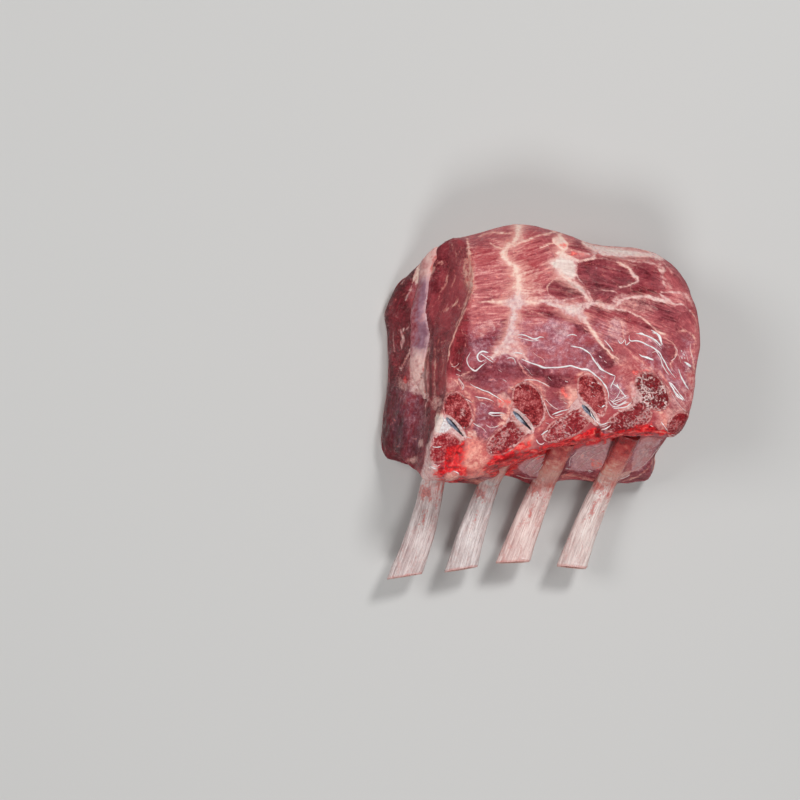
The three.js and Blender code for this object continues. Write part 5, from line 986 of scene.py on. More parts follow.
    ("fat", 0.85, 1.1, "-38.4,-9.8 -39.8,-15.3 -40.2,-19.7 -36.5,-25.2 -35.8,-28.5 -44.6,-28.5 -43.1,-22.6 -42.0,-15.7 -39.5,-9.4"),
    ("cool", 0.8, 2.2, "-36.9,-7.6 -38.4,-19.7 -36.5,-28.5 -46.1,-28.5 -42.8,-9.4"),
    ("warmth", 0.3, 1.47, "-36.9,-7.6 -38.4,-19.7 -36.5,-28.5 -46.1,-28.5 -42.8,-9.4"),
    ("blood", 1, 1.83, "-20.8,-21.1 -15.6,-19.0 -9.8,-17.5 -7.6,-20.4 -12.7,-24.1 -19.3,-24.8"),
    ("blood", 0.9, 1.47, "2.7,-16.0 14.4,-13.1 23.9,-11.6 23.9,-14.2 14.4,-16.0 3.4,-19.0"),
    ("blood", 0.9, 1.47, "26.1,-12.0 32.0,-10.5 37.1,-9.4 40.4,-9.1 39.3,-10.5 33.5,-12.4 26.9,-13.8"),
    ("red", 0.9, 1.83, "-42.8,19.9 -39.1,19.9 -37.6,1.6 -39.1,-13.1 -42.8,-13.1"),
    ("lift", 0.5, 1.83, "-42.0,16.2 -34.7,16.2 -34.7,-2.1 -40.6,-5.8"),
    ("lift", 0.6, 1.47, "-51.6,8.9 -38.4,8.2 -39.8,0.8 -50.1,0.8"),
    ("red", 0.5, 2.93, "-20.8,-7.2 7.1,-2.8 36.4,1.6 43.7,-5.8 7.1,-15.3 -14.9,-16.8"),
    ("lift", 0.35, 2.93, "-20.8,-7.2 7.1,-2.8 36.4,1.6 43.7,-5.8 7.1,-15.3 -14.9,-16.8"),
    ("film", 0.5, 1.83, "-26.6,49.9 -23.7,52.1 -23.0,43.7 -25.9,38.2"),
    ("tone", 0.34, 1.83, "-29.6,33.1 -26.6,31.6 -26.3,19.9 -28.8,12.6 -33.2,11.1 -33.6,19.2 -31.4,25.4"),
    # dark outer muscle, darker still towards the far left edge as painted shade where the face turns down
    ("tone", 0.23, 1.83, "-56.0,38.2 -48.6,41.9 -47.5,19.9 -50.8,11.1 -56.0,15.5"),
    ("tone", 0.09, 2.2, "-58.2,7.4 -51.6,6.7 -50.8,-13.1 -53.0,-17.5 -58.2,-14.6"),
    ("red", 0.7, 2.2, "-58.2,7.4 -51.6,6.7 -50.8,-13.1 -53.0,-17.5 -58.2,-14.6"),
    ("red", 0.9, 1.47, "-38.4,19.9 -34.0,19.9 -34.3,6.0 -38.4,6.0"),
    ("clean", 1, 1.47, "-28.5,-7.2 -23.0,-8.0 -22.6,-12.4 -26.6,-14.6 -28.8,-11.6"),
    ("fat", 0.7, 0.92, "-27.0,-9.8 -23.7,-9.4 -22.2,-13.8 -25.2,-15.7 -27.0,-13.5"),
    ("clean", 1, 0.73, "-35.8,-25.5 -34.3,-24.4 -32.1,-24.1 -29.9,-24.8 -28.8,-26.1 -30.3,-27.2 -33.6,-27.4 -35.8,-26.6"),
    ("fat", 0.82, 0.66, "-35.4,-25.5 -34.0,-24.6 -32.1,-24.3 -30.3,-25.0 -29.2,-26.1 -30.7,-27.0 -33.6,-27.2 -35.4,-26.5"),
    ("warmth", 0.85, 0.73, "-35.8,-25.5 -34.3,-24.4 -32.1,-24.1 -29.9,-24.8 -28.8,-26.1 -30.3,-27.2 -33.6,-27.4 -35.8,-26.6"),
    ("blood", 1, 0.73, "-33.2,-15.3 -30.3,-14.6 -28.8,-16.4 -29.9,-19.7 -31.4,-22.6 -34.3,-23.7 -35.1,-21.1 -34.0,-18.2"),
    ("clean", 0.8, 2.57, "-27.0,-15.7 -25.2,-16.8 -27.0,-18.6 -25.5,-20.4 -27.4,-22.2 -24.4,-24.4 -20.8,-25.5 -17.8,-21.1 -18.9,-16.0 -23.0,-14.9"),
    ("clot", 0.5, 1.1, "-20.0,-23.7 -17.5,-22.4 -14.9,-21.7 -12.0,-22.6 -8.0,-23.0 -9.8,-24.1 -13.8,-24.4 -16.7,-24.6"),
    ("clot", 0.8, 0.73, "-17.5,-20.8 -13.1,-19.5 -7.6,-18.4 -7.2,-19.3 -12.7,-20.6 -16.7,-21.5"),
    ("clot", 0.55, 0.92, "-33.6,-17.5 -31.4,-16.8 -31.4,-20.4 -33.2,-22.6 -34.3,-21.1"),
    ("clot", 0.8, 0.73, "19.5,-9.4 22.1,-9.4 22.1,-12.4 19.9,-12.0"),
    ("clot", 0.6, 0.73, "-1.7,-17.9 4.1,-16.4 9.3,-14.6 9.3,-15.7 4.1,-17.5 -1.4,-19.0"),
    ("clot", 0.6, 0.73, "12.2,-13.1 18.1,-12.0 18.1,-13.1 12.6,-14.2"),
    ("fat", 0.55, 1.1, "-29.9,-1.4 -27.7,-0.6 -27.0,-2.8 -28.1,-5.0 -29.9,-4.7"),
    ("clean", 1, 0.73, "-36.9,-9.4 -28.5,-9.8 -28.5,-13.5 -32.1,-15.3 -35.4,-15.3"),
    ("blood", 1, 1.47, "-21.1,-23.3 -18.2,-20.1 -12.7,-19.0 -8.0,-20.4 -9.1,-24.8 -13.4,-27.0 -17.8,-26.6"),
    ("lift", 0.9, 2.2, "-28.1,-22.2 -24.4,-20.4 -20.0,-21.5 -18.6,-23.7 -20.8,-26.3 -24.4,-27.0 -27.4,-25.5"),
    ("fat", 0.5, 2.2, "-27.4,-22.2 -24.1,-21.1 -20.4,-22.2 -19.7,-24.1 -22.2,-26.3 -25.9,-26.3"),
    ("warmth", 0.95, 2.2, "-28.1,-21.5 -23.7,-20.1 -18.9,-21.9 -18.6,-25.5 -23.0,-27.4 -27.4,-26.3"),
    ("blood", 0.3, 2.57, "-27.4,-24.1 -23.0,-22.6 -18.6,-24.8 -22.2,-27.4 -26.6,-27.0"),
    ("red", 0.6, 1.83, "-56.7,39.7 -47.9,41.9 -47.2,19.2 -50.8,11.1 -56.0,14.0"),
    ("haze", 0.55, 1.83, "-9.4,44.8 -2.5,44.1 -0.3,38.2 -9.1,37.5"),
    ("fat", 0.95, 0.66, "-27.4,54.0 -25.9,54.3 -25.2,49.2 -25.2,41.5 -27.0,41.1 -27.0,47.4"),
    ("warmth", 0.92, 1.1, "-28.1,55.1 -24.8,55.1 -23.7,39.7 -28.1,39.7"),
    ("warmth", 0.12, 1.83, "-12.0,52.1 -4.7,52.1 -4.7,36.0 -12.7,36.0"),
    ("film", 0.5, 2.2, "-6.9,52.1 -0.3,49.9 1.2,38.2 -6.9,37.5"),
    ("tone", 0.42, 1.47, "20.3,35.3 29.8,33.1 32.7,30.9 26.1,31.3 20.6,32.7"),
    ("tone", 0.68, 2.2, "-8.3,25.8 4.1,30.2 7.1,27.2 -3.9,19.9"),
    ("lift", 0.8, 1.47, "53.2,32.4 58.4,32.4 58.4,14.8 54.0,14.8"),
    ("lift", 0.6, 1.83, "27.6,38.9 40.8,38.9 40.8,33.5 28.3,33.5"),
    ("lift", 0.65, 2.2, "-7.6,37.5 2.7,37.5 2.7,30.9 -7.6,30.9"),
    ("film", 0.5, 1.47, "42.6,-2.5 46.6,-1.7 47.7,-5.8 45.9,-9.8 42.2,-8.3"),
    ("lift", 0.8, 1.47, "42.6,-2.5 46.6,-1.7 47.7,-5.8 45.9,-9.8 42.2,-8.3"),
    ("clean", 0.9, 1.1, "43.3,-2.8 47.0,-2.1 47.7,-5.8 47.0,-9.1 43.7,-8.3"),
    ("fat", 0.42, 1.47, "43.0,-3.6 45.9,-2.8 46.6,-5.8 45.2,-8.3 42.6,-7.2"),
    ("warmth", 0.8, 1.47, "42.2,-2.1 47.4,-1.4 48.1,-10.2 41.9,-9.4"),
    ("veil", 0.5, 2.93, "-54.5,6.0 -44.2,6.0 -42.8,-5.8 -44.2,-16.8 -50.1,-18.6 -55.2,-13.1"),
    ("lift", 0.45, 2.2, "-54.5,6.0 -43.5,6.0 -42.8,-5.8 -45.7,-7.2 -53.8,-5.0"),
    ("tone", 0.24, 1.1, "-40.4,52.1 -38.0,52.1 -37.3,41.1 -40.2,41.1"),
    ("film", 0.5, 1.83, "27.6,38.9 40.8,38.9 40.8,33.5 28.3,33.5"),
]
FIBRES = [
    (-18.6, 49.9, 12.46, 6, 1.0),
    (-3.9, 52.1, 9.53, 18, 1.0),
    (-17.8, 33.8, 9.53, 4, 0.8),
    (-3.9, 34.6, 10.99, -4, 0.8),
    (-18.6, 23.6, 7.33, 10, 0.5),
    (23.9, 47.4, 13.19, -12, 0.55),
    (9.3, 41.9, 8.06, -12, 0.55),
    (22.5, 39.7, 4.4, 20, 0.5),
    (40.8, 46.3, 7.33, -25, 0.5),
    (40.1, 33.8, 14.66, -20, 0.9),
    (26.1, 31.6, 12.46, -20, 0.9),
    (49.6, 47.4, 5.13, -55, 0.6),
    (53.2, 29.1, 5.13, -50, 0.6),
    (7.1, 25.4, 9.53, -10, 0.3),
    (18.1, 19.9, 6.6, -25, 0.4),
    (36.4, 19.9, 10.26, -40, 0.5),
    (48.1, 7.1, 10.99, -50, 0.7),
    (-14.9, 11.1, 14.66, -8, 0.3),
    (5.6, 8.2, 5.86, -15, 0.5),
    (-20.4, -5.8, 8.79, -40, 0.4),
    (7.1, 0.8, 6.6, -10, 0.4),
    (14.4, 56.5, 5.86, -5, 0.7),
    (30.9, 10.7, 6.6, 30, 0.4),
    (-34.0, 38.2, 9.53, 80, 0.15),
    (-36.9, 10.7, 8.06, 86, 0.22),
    (-51.6, 30.9, 9.53, 60, 0.28),
    (-50.1, -7.6, 12.46, 80, 0.3),
    (-30.3, 19.2, 5.86, 75, 0.35),
    (-22.2, -19.0, 8.79, 20, 0.05),
    (-0.3, -17.9, 9.53, 18, 0.3),
    (21.7, -13.1, 14.66, 8, 0.4),
    (16.2, -21.1, 8.79, 60, 0.4),
    (38.2, -18.6, 5.86, 65, 0.4),
    (-3.9, -23.3, 5.86, 50, 0.4),
    (10.7, -26.3, 14.66, 0, 0.6),
    (55.4, 8.9, 4.4, 80, 0.5),
]
# <<< drawn lines


def dense(text, default):
    """A drawn line as close points with widths."""
    rows = []
    for word in text.split():
        v = [float(c) for c in word.split(",")]
        rows.append([v[0], v[1], v[2] if len(v) > 2 else default])
    keys = np.array(rows, float)
    n = max(2, (len(keys) - 1) * 4 + 1)
    pts = open_curve(keys, np.linspace(0, 1, n)) if len(keys) > 2 else np.stack([lerp(keys[0], keys[1], t) for t in np.linspace(0, 1, n)])
    pts[:, 2] = np.maximum(pts[:, 2], 0.15)
    return pts


def line_field(u, v, pts, reach):
    """For places near the line: (indices, distance, width of the line there)."""
    lo, hi = pts[:, :2].min(0) - reach, pts[:, :2].max(0) + reach
    idx = np.nonzero((u > lo[0]) & (u < hi[0]) & (v > lo[1]) & (v < hi[1]))[0]
    if not len(idx):
        return idx, None, None
    p = np.stack([u[idx], v[idx]], -1)
    a, b = pts[:-1, :2], pts[1:, :2]
    ab = b - a
    t = ((p[:, None] - a[None]) * ab[None]).sum(-1) / np.maximum((ab**2).sum(-1), 1e-9)[None]
    t = clamp01(t)
    d = np.linalg.norm(p[:, None] - (a[None] + ab[None] * t[..., None]), axis=-1)
    j = d.argmin(1)
    r = np.arange(len(idx))
    return idx, d[r, j], lerp(pts[j, 2], pts[j + 1, 2], t[r, j])


def area_field(u, v, keys, soft):
    """For places near a closed outline: (indices, 1 inside falling to 0 outside)."""
    lo, hi = keys.min(0) - soft - 0.3, keys.max(0) + soft + 0.3
    idx = np.nonzero((u > lo[0]) & (u < hi[0]) & (v > lo[1]) & (v < hi[1]))[0]
    if not len(idx):
        return idx, None
    p = np.stack([u[idx], v[idx]], -1)
    near = np.full(len(idx), 1e9)
    inside = np.zeros(len(idx), bool)
    for a, b in zip(keys, np.roll(keys, -1, 0)):
        ab = b - a
        t = clamp01(((p - a) @ ab) / max(ab @ ab, 1e-9))
        near = np.minimum(near, np.hypot(p[:, 0] - a[0] - ab[0] * t, p[:, 1] - a[1] - ab[1] * t))
        cross = (a[1] > p[:, 1]) != (b[1] > p[:, 1])
        slope = (p[:, 1] - a[1]) / (b[1] - a[1] if abs(b[1] - a[1]) > 1e-9 else 1e-9)
        inside ^= cross & (p[:, 0] < a[0] + ab[0] * slope)
    return idx, 1 - smooth(-0.7 * soft, soft, np.where(inside, -near, near))


def seen_plane(p):
    k = (EYE[2] - PLANE_Z) / (EYE[2] - p[..., 2])
    return EYE[0] + (p[..., 0] - EYE[0]) * k, EYE[1] + (p[..., 1] - EYE[1]) * k


def painted(p, n):
    """Drawn fields at surface places p (N, 3) with normals n: a dictionary of arrays."""
    u, v = seen_plane(p)
    to_eye = EYE - p
    to_eye /= np.linalg.norm(to_eye, axis=-1, keepdims=True)
    shown = smooth(0.0, 0.16, (to_eye * n).sum(-1)) * smooth(0.4, 2.0, p[:, 2])
    q = np.stack([u, v, 0 * u], -1)
    wu = u + 0.55 * noise(q, 3.1, 3) + 0.22 * noise(q, 1.2, 4)
    wv = v + 0.55 * noise(q, 3.1, 5) + 0.22 * noise(q, 1.2, 6)
    N = len(p)
    f = {k: np.zeros(N) for k in ("fat", "warm", "blood", "crease_shade", "red", "veil", "film", "lump", "fibk", "near", "white", "haze", "cool", "lift", "clot")}
    f["tone"] = np.full(N, 0.62)
    f["near"] = np.full(N, 12.0)
    wsum = np.full(N, 1e-6)
    for width, strength, warm, text in FAT_LINES:
        pts = dense(text, width)
        idx, d, w = line_field(wu, wv, pts, 9.0)
        if not len(idx):
            continue
        soft = np.maximum(0.9, 0.9 * w)
        c = clamp01(0.5 + (w / 2 - d) / soft) * strength
        f["fat"][idx] = np.maximum(f["fat"][idx], c)
        # a wider pale haze, which reaches along the fibres
        far = strength * (0.35 + 0.65 * smooth(0.6, 2.8, w)) * np.exp(-np.maximum(0, d - 0.3 * w) / (0.7 + 0.75 * w))
        f["haze"][idx] = np.maximum(f["haze"][idx], far)
        f["warm"][idx] += warm * c**2
        wsum[idx] += c**2
        f["near"][idx] = np.minimum(f["near"][idx], np.maximum(0, d - w / 2))
    f["warm"] /= wsum
    for name, lines in (("crease_shade", SHADE_LINES), ("blood", BLOOD_LINES)):
        for width, strength, warm, text in lines:
            pts = dense(text, width)
            idx, d, w = line_field(wu, wv, pts, 5.0)
            if not len(idx):
                continue
            c = clamp01(0.5 + (w / 2 - d) / np.maximum(0.9, 0.6 * w)) * strength
            f[name][idx] = np.maximum(f[name][idx], c)
    for name, patches in PATCHES.items():
        for value, x, y, rx, ry, turn, soft in patches:
            c, s = math.cos(math.radians(turn)), math.sin(math.radians(turn))
            reach = max(rx, ry) * (1 + soft) + 2
            idx = np.nonzero((np.abs(u - x) < reach) & (np.abs(v - y) < reach))[0]
            if not len(idx):
                continue
            du, dv = wu[idx] - x, wv[idx] - y
            r = np.hypot((du * c + dv * s) / rx, (-du * s + dv * c) / ry)
            m = 1 - smooth(1 - 0.75 * soft, 1 + 0.55 * soft + 0.02, r)
            if name == "tone":
                f[name][idx] = lerp(f[name][idx], value, m)
            else:
                f[name][idx] = np.maximum(f[name][idx], value * m)
    for name, value, soft, text in AREAS:
        keys = np.array([[float(c) for c in word.split(",")] for word in text.split()])
        wide = 0.5 if soft < 0.6 else 1.0
        idx, m = area_field(lerp(u, wu, wide), lerp(v, wv, wide), keys, soft)
        if not len(idx):
            continue
        if name == "tone":
            f[name][idx] = lerp(f[name][idx], value, m)
        elif name == "warmth":
            f["warm"][idx] = lerp(f["warm"][idx], value, m)
        elif name == "clean":
            f["blood"][idx] *= 1 - value * m
        else:
            f[name][idx] = np.maximum(f[name][idx], value * m)
            if name == "fat":
                f["haze"][idx] = np.maximum(f["haze"][idx], 0.8 * value * m)
    # fibre direction: the strongest claim wins
    best = np.full(N, 0.25)
    angle = np.zeros(N)
    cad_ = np.full(N, 0.4)
    for x, y, r, a, s in FIBRES:
        c = 1 - np.hypot(wu - x, wv - y) / (1.25 * r)
        won = c > best
        best = np.where(won, c, best)
        angle = np.where(won, math.radians(a), angle)
        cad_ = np.where(won, s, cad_)
    f["fibk"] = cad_
    f["angle"] = angle
    f["shown"] = shown
    return f


# === build ===========================================================================================================
def mm_mesh(name, points, faces):
    mesh = bpy.data.meshes.new(name)
    pts = np.asarray(points, float) / 1000.0
    quads = [f for f in faces if len(f)]
    sizes = np.concatenate([np.full(len(f), f.shape[1], np.int32) for f in quads])
    flat = np.concatenate([np.asarray(f, np.int32).ravel() for f in quads])
    mesh.vertices.add(len(pts))
    mesh.vertices.foreach_set("co", pts.astype(np.float32).ravel())
    mesh.loops.add(len(flat))
    mesh.loops.foreach_set("vertex_index", flat)
    mesh.polygons.add(len(sizes))
    starts = np.concatenate([[0], np.cumsum(sizes)[:-1]]).astype(np.int32)
    mesh.polygons.foreach_set("loop_start", starts)
    mesh.polygons.foreach_set("use_smooth", np.ones(len(sizes), bool))
    mesh.update(calc_edges=True)
    mesh.validate()
    obj = bpy.data.objects.new(name, mesh)
    bpy.context.scene.collection.objects.link(obj)
    return obj


def put(obj, **fields):
    for name, a in fields.items():
        a = np.asarray(a, np.float32)
        kind = "FLOAT" if a.ndim == 1 else "FLOAT_VECTOR"
        layer = obj.data.attributes.new(name, kind, "POINT")
        layer.data.foreach_set("value" if kind == "FLOAT" else "vector", a.ravel())


def outward(points, faces):
    """Faces turned so that the closed mesh's volume is positive."""
    vol = 0.0
    for f in faces:
        for k in range(1, f.shape[1] - 1):
            a, b, c = points[f[:, 0]], points[f[:, k]], points[f[:, k + 1]]
            vol += (a * np.cross(b, c)).sum()
    return faces if vol > 0 else [f[:, ::-1] for f in faces]


def grid_faces(rows, cols, wrap):
    i, j = np.meshgrid(np.arange(rows - 1), np.arange(cols if wrap else cols - 1), indexing="ij")
    a = i * cols + j
    b = i * cols + (j + 1) % cols
    return np.stack([a, b, b + cols, a + cols], -1).reshape(-1, 4)


def upsample(a, k):
    """A grid (rows, cols, ...) with k steps for each step, straight between its points."""
    r = np.arange((a.shape[0] - 1) * k + 1) / k
    i = np.minimum(r.astype(int), a.shape[0] - 2)
    w = (r - i).reshape((-1,) + (1,) * (a.ndim - 1))
    a = a[i] * (1 - w) + a[i + 1] * w
    c = np.arange((a.shape[1] - 1) * k + 1) / k
    j = np.minimum(c.astype(int), a.shape[1] - 2)
    w = (c - j).reshape((1, -1) + (1,) * (a.ndim - 2))
    return a[:, j] * (1 - w) + a[:, j + 1] * w


def rim_edges(faces):
    """Edges of one face only, in that face's turn."""
    e = np.concatenate([np.stack([faces[:, k], faces[:, (k + 1) % 4]], -1) for k in range(4)])
    key = np.sort(e, 1)
    code = key[:, 0].astype(np.int64) * (1 << 32) + key[:, 1]
    _, first, count = np.unique(code, return_index=True, return_counts=True)
    return e[first[count == 1]]


# ---- seam of fat, as in part.mjs ------------------------------------------------------------------------------------
def seam_z(x, y):
    return 20.2 + 0.9 * np.sin(x / 17 + 2.6) + 3.4 * smooth(52, 18, y) + 4.5 * smooth(10, -4, y)


def seam_half(x, y):
    t = 3.0 + 0.5 * np.sin(x / 9) + (3.2 + 1.2 * smooth(30, 50, y)) * bell(x, -50, 13)
    return t * (0.35 + 0.65 * smooth(0, 0.3, y / 74)) / 2


# the eye muscle's edge on the end cut, on the drawn plane
EYE_EDGE = ((-3.0, -41.6), (2.3, -41.7), (15.1, -41.8), (26.1, -41.1), (34.2, -42.6), (45.2, -41.3), (52.9, -39.3), (58.0, -37.5))


def past_eye(p):
    """How far a place on the end cut lies inside the eye muscle, in mm; far below 0 off the end cut."""
    u, v = seen_plane(p)
    keys = np.array(EYE_EDGE)
    return 1.5 * (u - np.interp(v, keys[:, 0], keys[:, 1])) - 14 * np.maximum(smooth(54, 58, p[..., 1]), smooth(-36, -32, p[..., 0]))


def seam_edge(p):
    """Over or under 0 outside or inside the seam, in mm."""
    x, y, z = p[..., 0] + CENTRE[0], p[..., 1] + CENTRE[1], p[..., 2]
    e = np.abs(z - seam_z(x, y)) - seam_half(x, y)
    e = np.maximum(e, past_eye(p))
    return np.maximum(e, 0.4 - y) + 0.35 * noise(p, 4.0, 71) + 0.2 * noise(p, 1.3, 72)


# ---- fields on the block --------------------------------------------------------------------------------------------
base, tips, row_s = block_grid()
ROWS, COLS = base.shape[:2]
normal = grid_normals(base)
P = base.reshape(-1, 3)
N = normal.reshape(-1, 3)
TAU2 = np.broadcast_to(TAU[None], (ROWS, COLS)).reshape(-1)
x, y, z = P.T
nx, ny, nz = N.T
f = painted(P, N)
shown = f["shown"]

bone = np.full(len(P), 99.0)
slot = np.full(len(P), 99.0)
for v in VERTEBRAE.values():
    a, b, c, d = bone_sd(x, y, v)
    bone = np.minimum(bone, np.minimum(a, np.minimum(b, c)))
    slot = np.minimum(slot, d)
high = smooth(35.0, 36.5, z)
bone = np.where(high > 0, bone, 99.0)
slot = np.where(high > 0.5, slot, 99.0)

rib_near = np.full(len(P), 99.0)
low_side = np.nonzero((y < 2) & (z < 44))[0]
for name in RIBS:
    line = rib_line(name, np.linspace(0, 1, 90))
    for part in np.array_split(low_side, 12):
        d = np.linalg.norm(P[part][:, None] - line[None], axis=-1).min(1)
        rib_near[part] = np.minimum(rib_near[part], d)

inner = smooth(14.6, 15.6, TAU2) * (1 - smooth(17.9, 18.7, TAU2))
lip = np.where(TAU2 > 10, smooth(17.1, 18.0, TAU2), 1 - smooth(1.0, 2.1, TAU2))
lift = smooth(0.2, 4.0, z)
left_end = smooth(0.0, 0.004, np.broadcast_to(EDGE_LEFT / LENGTH - row_s[:, None], (ROWS, COLS)).reshape(-1) + 0.002)
right_end = smooth(0.0, 0.02, np.broadcast_to(row_s[:, None] - (1 - EDGE_RIGHT / LENGTH), (ROWS, COLS)).reshape(-1) + 0.005)
ends = np.maximum(left_end, right_end)
lump = f["lump"]

coarse = lift * (0.55 * fbm(P, 26, 11) + 0.35 * fbm(P, 10, 12, 2))
coarse += shown * lift * (0.5 * (1 - np.exp(-((f["near"] / 2.6) ** 2))) - 0.25) * (1 - 0.7 * lump)
coarse += lip * (0.65 * fbm(P, 6, 13) + 0.28 * fbm(P, 2.2, 14, 2)) * (1 - ends)
coarse += inner * lift * (1.25 * np.exp(-((np.maximum(0, rib_near - 3.6) / 2.2) ** 2)) - 0.7 * smooth(5, 10, rib_near))
coarse += lump * (0.75 * fbm(P, 5.5, 15, 3) + 0.25)
coarse += lift * smooth(10, 14, TAU2) * (1 - smooth(15.6, 16.4, TAU2)) * 0.5 * fbm(P, 5, 16, 2)
# small knobs of fat in the corner below the backbone: place on the drawn plane, half sizes and height, in mm
pu, pv = seen_plane(P)
for ku, kv, rx, ry, high_ in ((-32.6, -25.9, 3.3, 1.8, 1.3), (-24.6, -19.4, 4.6, 3.4, 0.6), (-25.6, -25.0, 3.4, 2.0, 0.6), (-18.5, -21.5, 3.0, 2.0, 0.5), (-35.6, -21.0, 1.6, 3.0, -0.5), (-14.5, -23.2, 5.0, 1.0, -0.5)):
    coarse += shown * high_ * np.exp(-((((pu - ku) / rx) ** 2 + ((pv - kv) / ry) ** 2) ** 1.4))
# a hidden side bulges between its own fat lines
hidden = (1 - shown) * lift
ridge_far = np.abs(noise(P + 3.0 * np.stack([noise(P, 15, 31), noise(P, 15, 32), noise(P, 15, 33)], -1), 17.0, 34))
coarse += hidden * ends * 0.5 * (smooth(0.0, 0.25, ridge_far) - 0.6)

angle = lerp(0.12 + 0.25 * fbm(P, 24, 36), f["angle"], shown)
ca, sa = np.cos(angle), np.sin(angle)
fu, fv = x * ca + y * sa, -x * sa + y * ca
side_turn = smooth(0.5, 0.8, np.abs(nx)) * (1 - shown)
fib = np.stack([np.where(ends * (1 - shown) > 0.5, z, fu), np.where(ends * (1 - shown) > 0.5, y, fv), z * 0.8 + x * 0.15], -1)
grainy = np.stack([fib[:, 0] / 7.5, fib[:, 1] / 1.25, fib[:, 2] / 1.6], -1)
fine = lift * (0.10 * f["fibk"] * noise(grainy, 1.0, 41) + 0.05 * noise(P, 1.5, 42) + 0.03 * noise(P, 0.8, 43))
fine -= 0.12 * f["crease_shade"]

e_seam = seam_edge(P)
sink = 1.7 * smooth(0.25, -0.6, bone) + 2.4 * smooth(0.5, -0.5, slot)
sink = np.maximum(sink, 0.9 * smooth(0.1, -0.9, e_seam))
# the seam's upper edge sinks into a crease, and the same crease is painted darker as shade below
crease = bell(e_seam, 0.55, 0.7) * (z > seam_z(x, y)) * (y > 0)
coarse -= 0.35 * crease
meat_p = P + N * (coarse + fine - sink)[:, None]
meat_p[:, 2] = np.where(z < 0.03, z, np.maximum(0.0, meat_p[:, 2]))

# fat on the sides that the drawn lines don't reach: a soft outer cover, and lines between the muscles at the end
cover = smooth(0.15, 0.65, np.maximum(ny, -nz)) * (1 - ends)
cover_fat = clamp01(0.62 + 0.75 * fbm(P * np.array([0.55, 1, 1]), 11, 51) + 0.2 * noise(grainy, 1.0, 52))
end_fat = clamp01(0.95 - 6.0 * ridge_far + 0.3 * fbm(P, 5, 53))
end_fat = np.maximum(end_fat, clamp01(1.25 - 0.11 * np.minimum(z, 30) * 2 + 0.5 * fbm(P, 8, 54)) * 0.9)
inner_fat = clamp01(0.30 + 0.7 * fbm(P, 7, 55))
other = np.where(ends > 0.5, end_fat, lerp(inner_fat, cover_fat, cover))
fat = lerp(other, f["fat"], shown)
warm = lerp(0.35 + 0.4 * fbm(P, 9, 56), f["warm"], shown)
# painted light: the drawn lift areas raise the muscle tone to stand in for light these faces lack
tone = lerp(0.45 + 0.16 * fbm(P, 12, 57), f["tone"] + 0.04 * left_end + 0.20 * f["lift"], shown)
film = lerp(0.35 * cover, f["film"], shown)
white = f["white"] * shown
cool = f["cool"] * shown
haze = lerp(clamp01(0.8 * other), f["haze"], shown)
veil = lerp(0.45 * (1 - cover) * (1 - ends), f["veil"], shown)
under_lip = smooth(16.5, 17.5, TAU2) * (1 - shown) * (1 - ends)
wall_clear = inner * smooth(39, 34, z) * clamp01(0.62 + 0.9 * fbm(P, 8, 59))
blood = np.maximum(f["blood"] * shown * (1 - 0.7 * wall_clear), 0.35 * under_lip * clamp01(0.5 + fbm(P, 6, 58)))
# painted shade: drawn crease lines and the seam's crease darken the colour
crease_shade = np.maximum(f["crease_shade"] * shown, crease * 0.75)
fibk = lerp(0.6, f["fibk"], shown)
red = np.maximum(f["red"] * shown, 0.42 * left_end * (1 - smooth(0.3, 0.8, f["haze"]))) + 0.25 * under_lip

tip_p = tips.copy()
points = np.vstack([meat_p, tip_p])
first, last = len(P), len(P) + 1
j = np.arange(COLS)
fan_a = np.stack([np.full(COLS, first), (j + 1) % COLS, j], -1)
fan_b = np.stack([np.full(COLS, last), (ROWS - 1) * COLS + j, (ROWS - 1) * COLS + (j + 1) % COLS], -1)
faces = outward(points, [grid_faces(ROWS, COLS, True), fan_a, fan_b])
ext = lambda a: np.concatenate([a, a[:1], a[-1:]])
muscle = mm_mesh("muscle_block", points, faces)
put(muscle, fat=ext(fat), warm=ext(warm), tone=ext(tone), red=ext(red), veil=ext(veil), film=ext(film), blood=ext(blood),
    crease_shade=ext(crease_shade), fibk=ext(fibk), fib=ext(fib), white=ext(white), haze=ext(haze), cool=ext(cool), clot=ext(f["clot"] * shown))

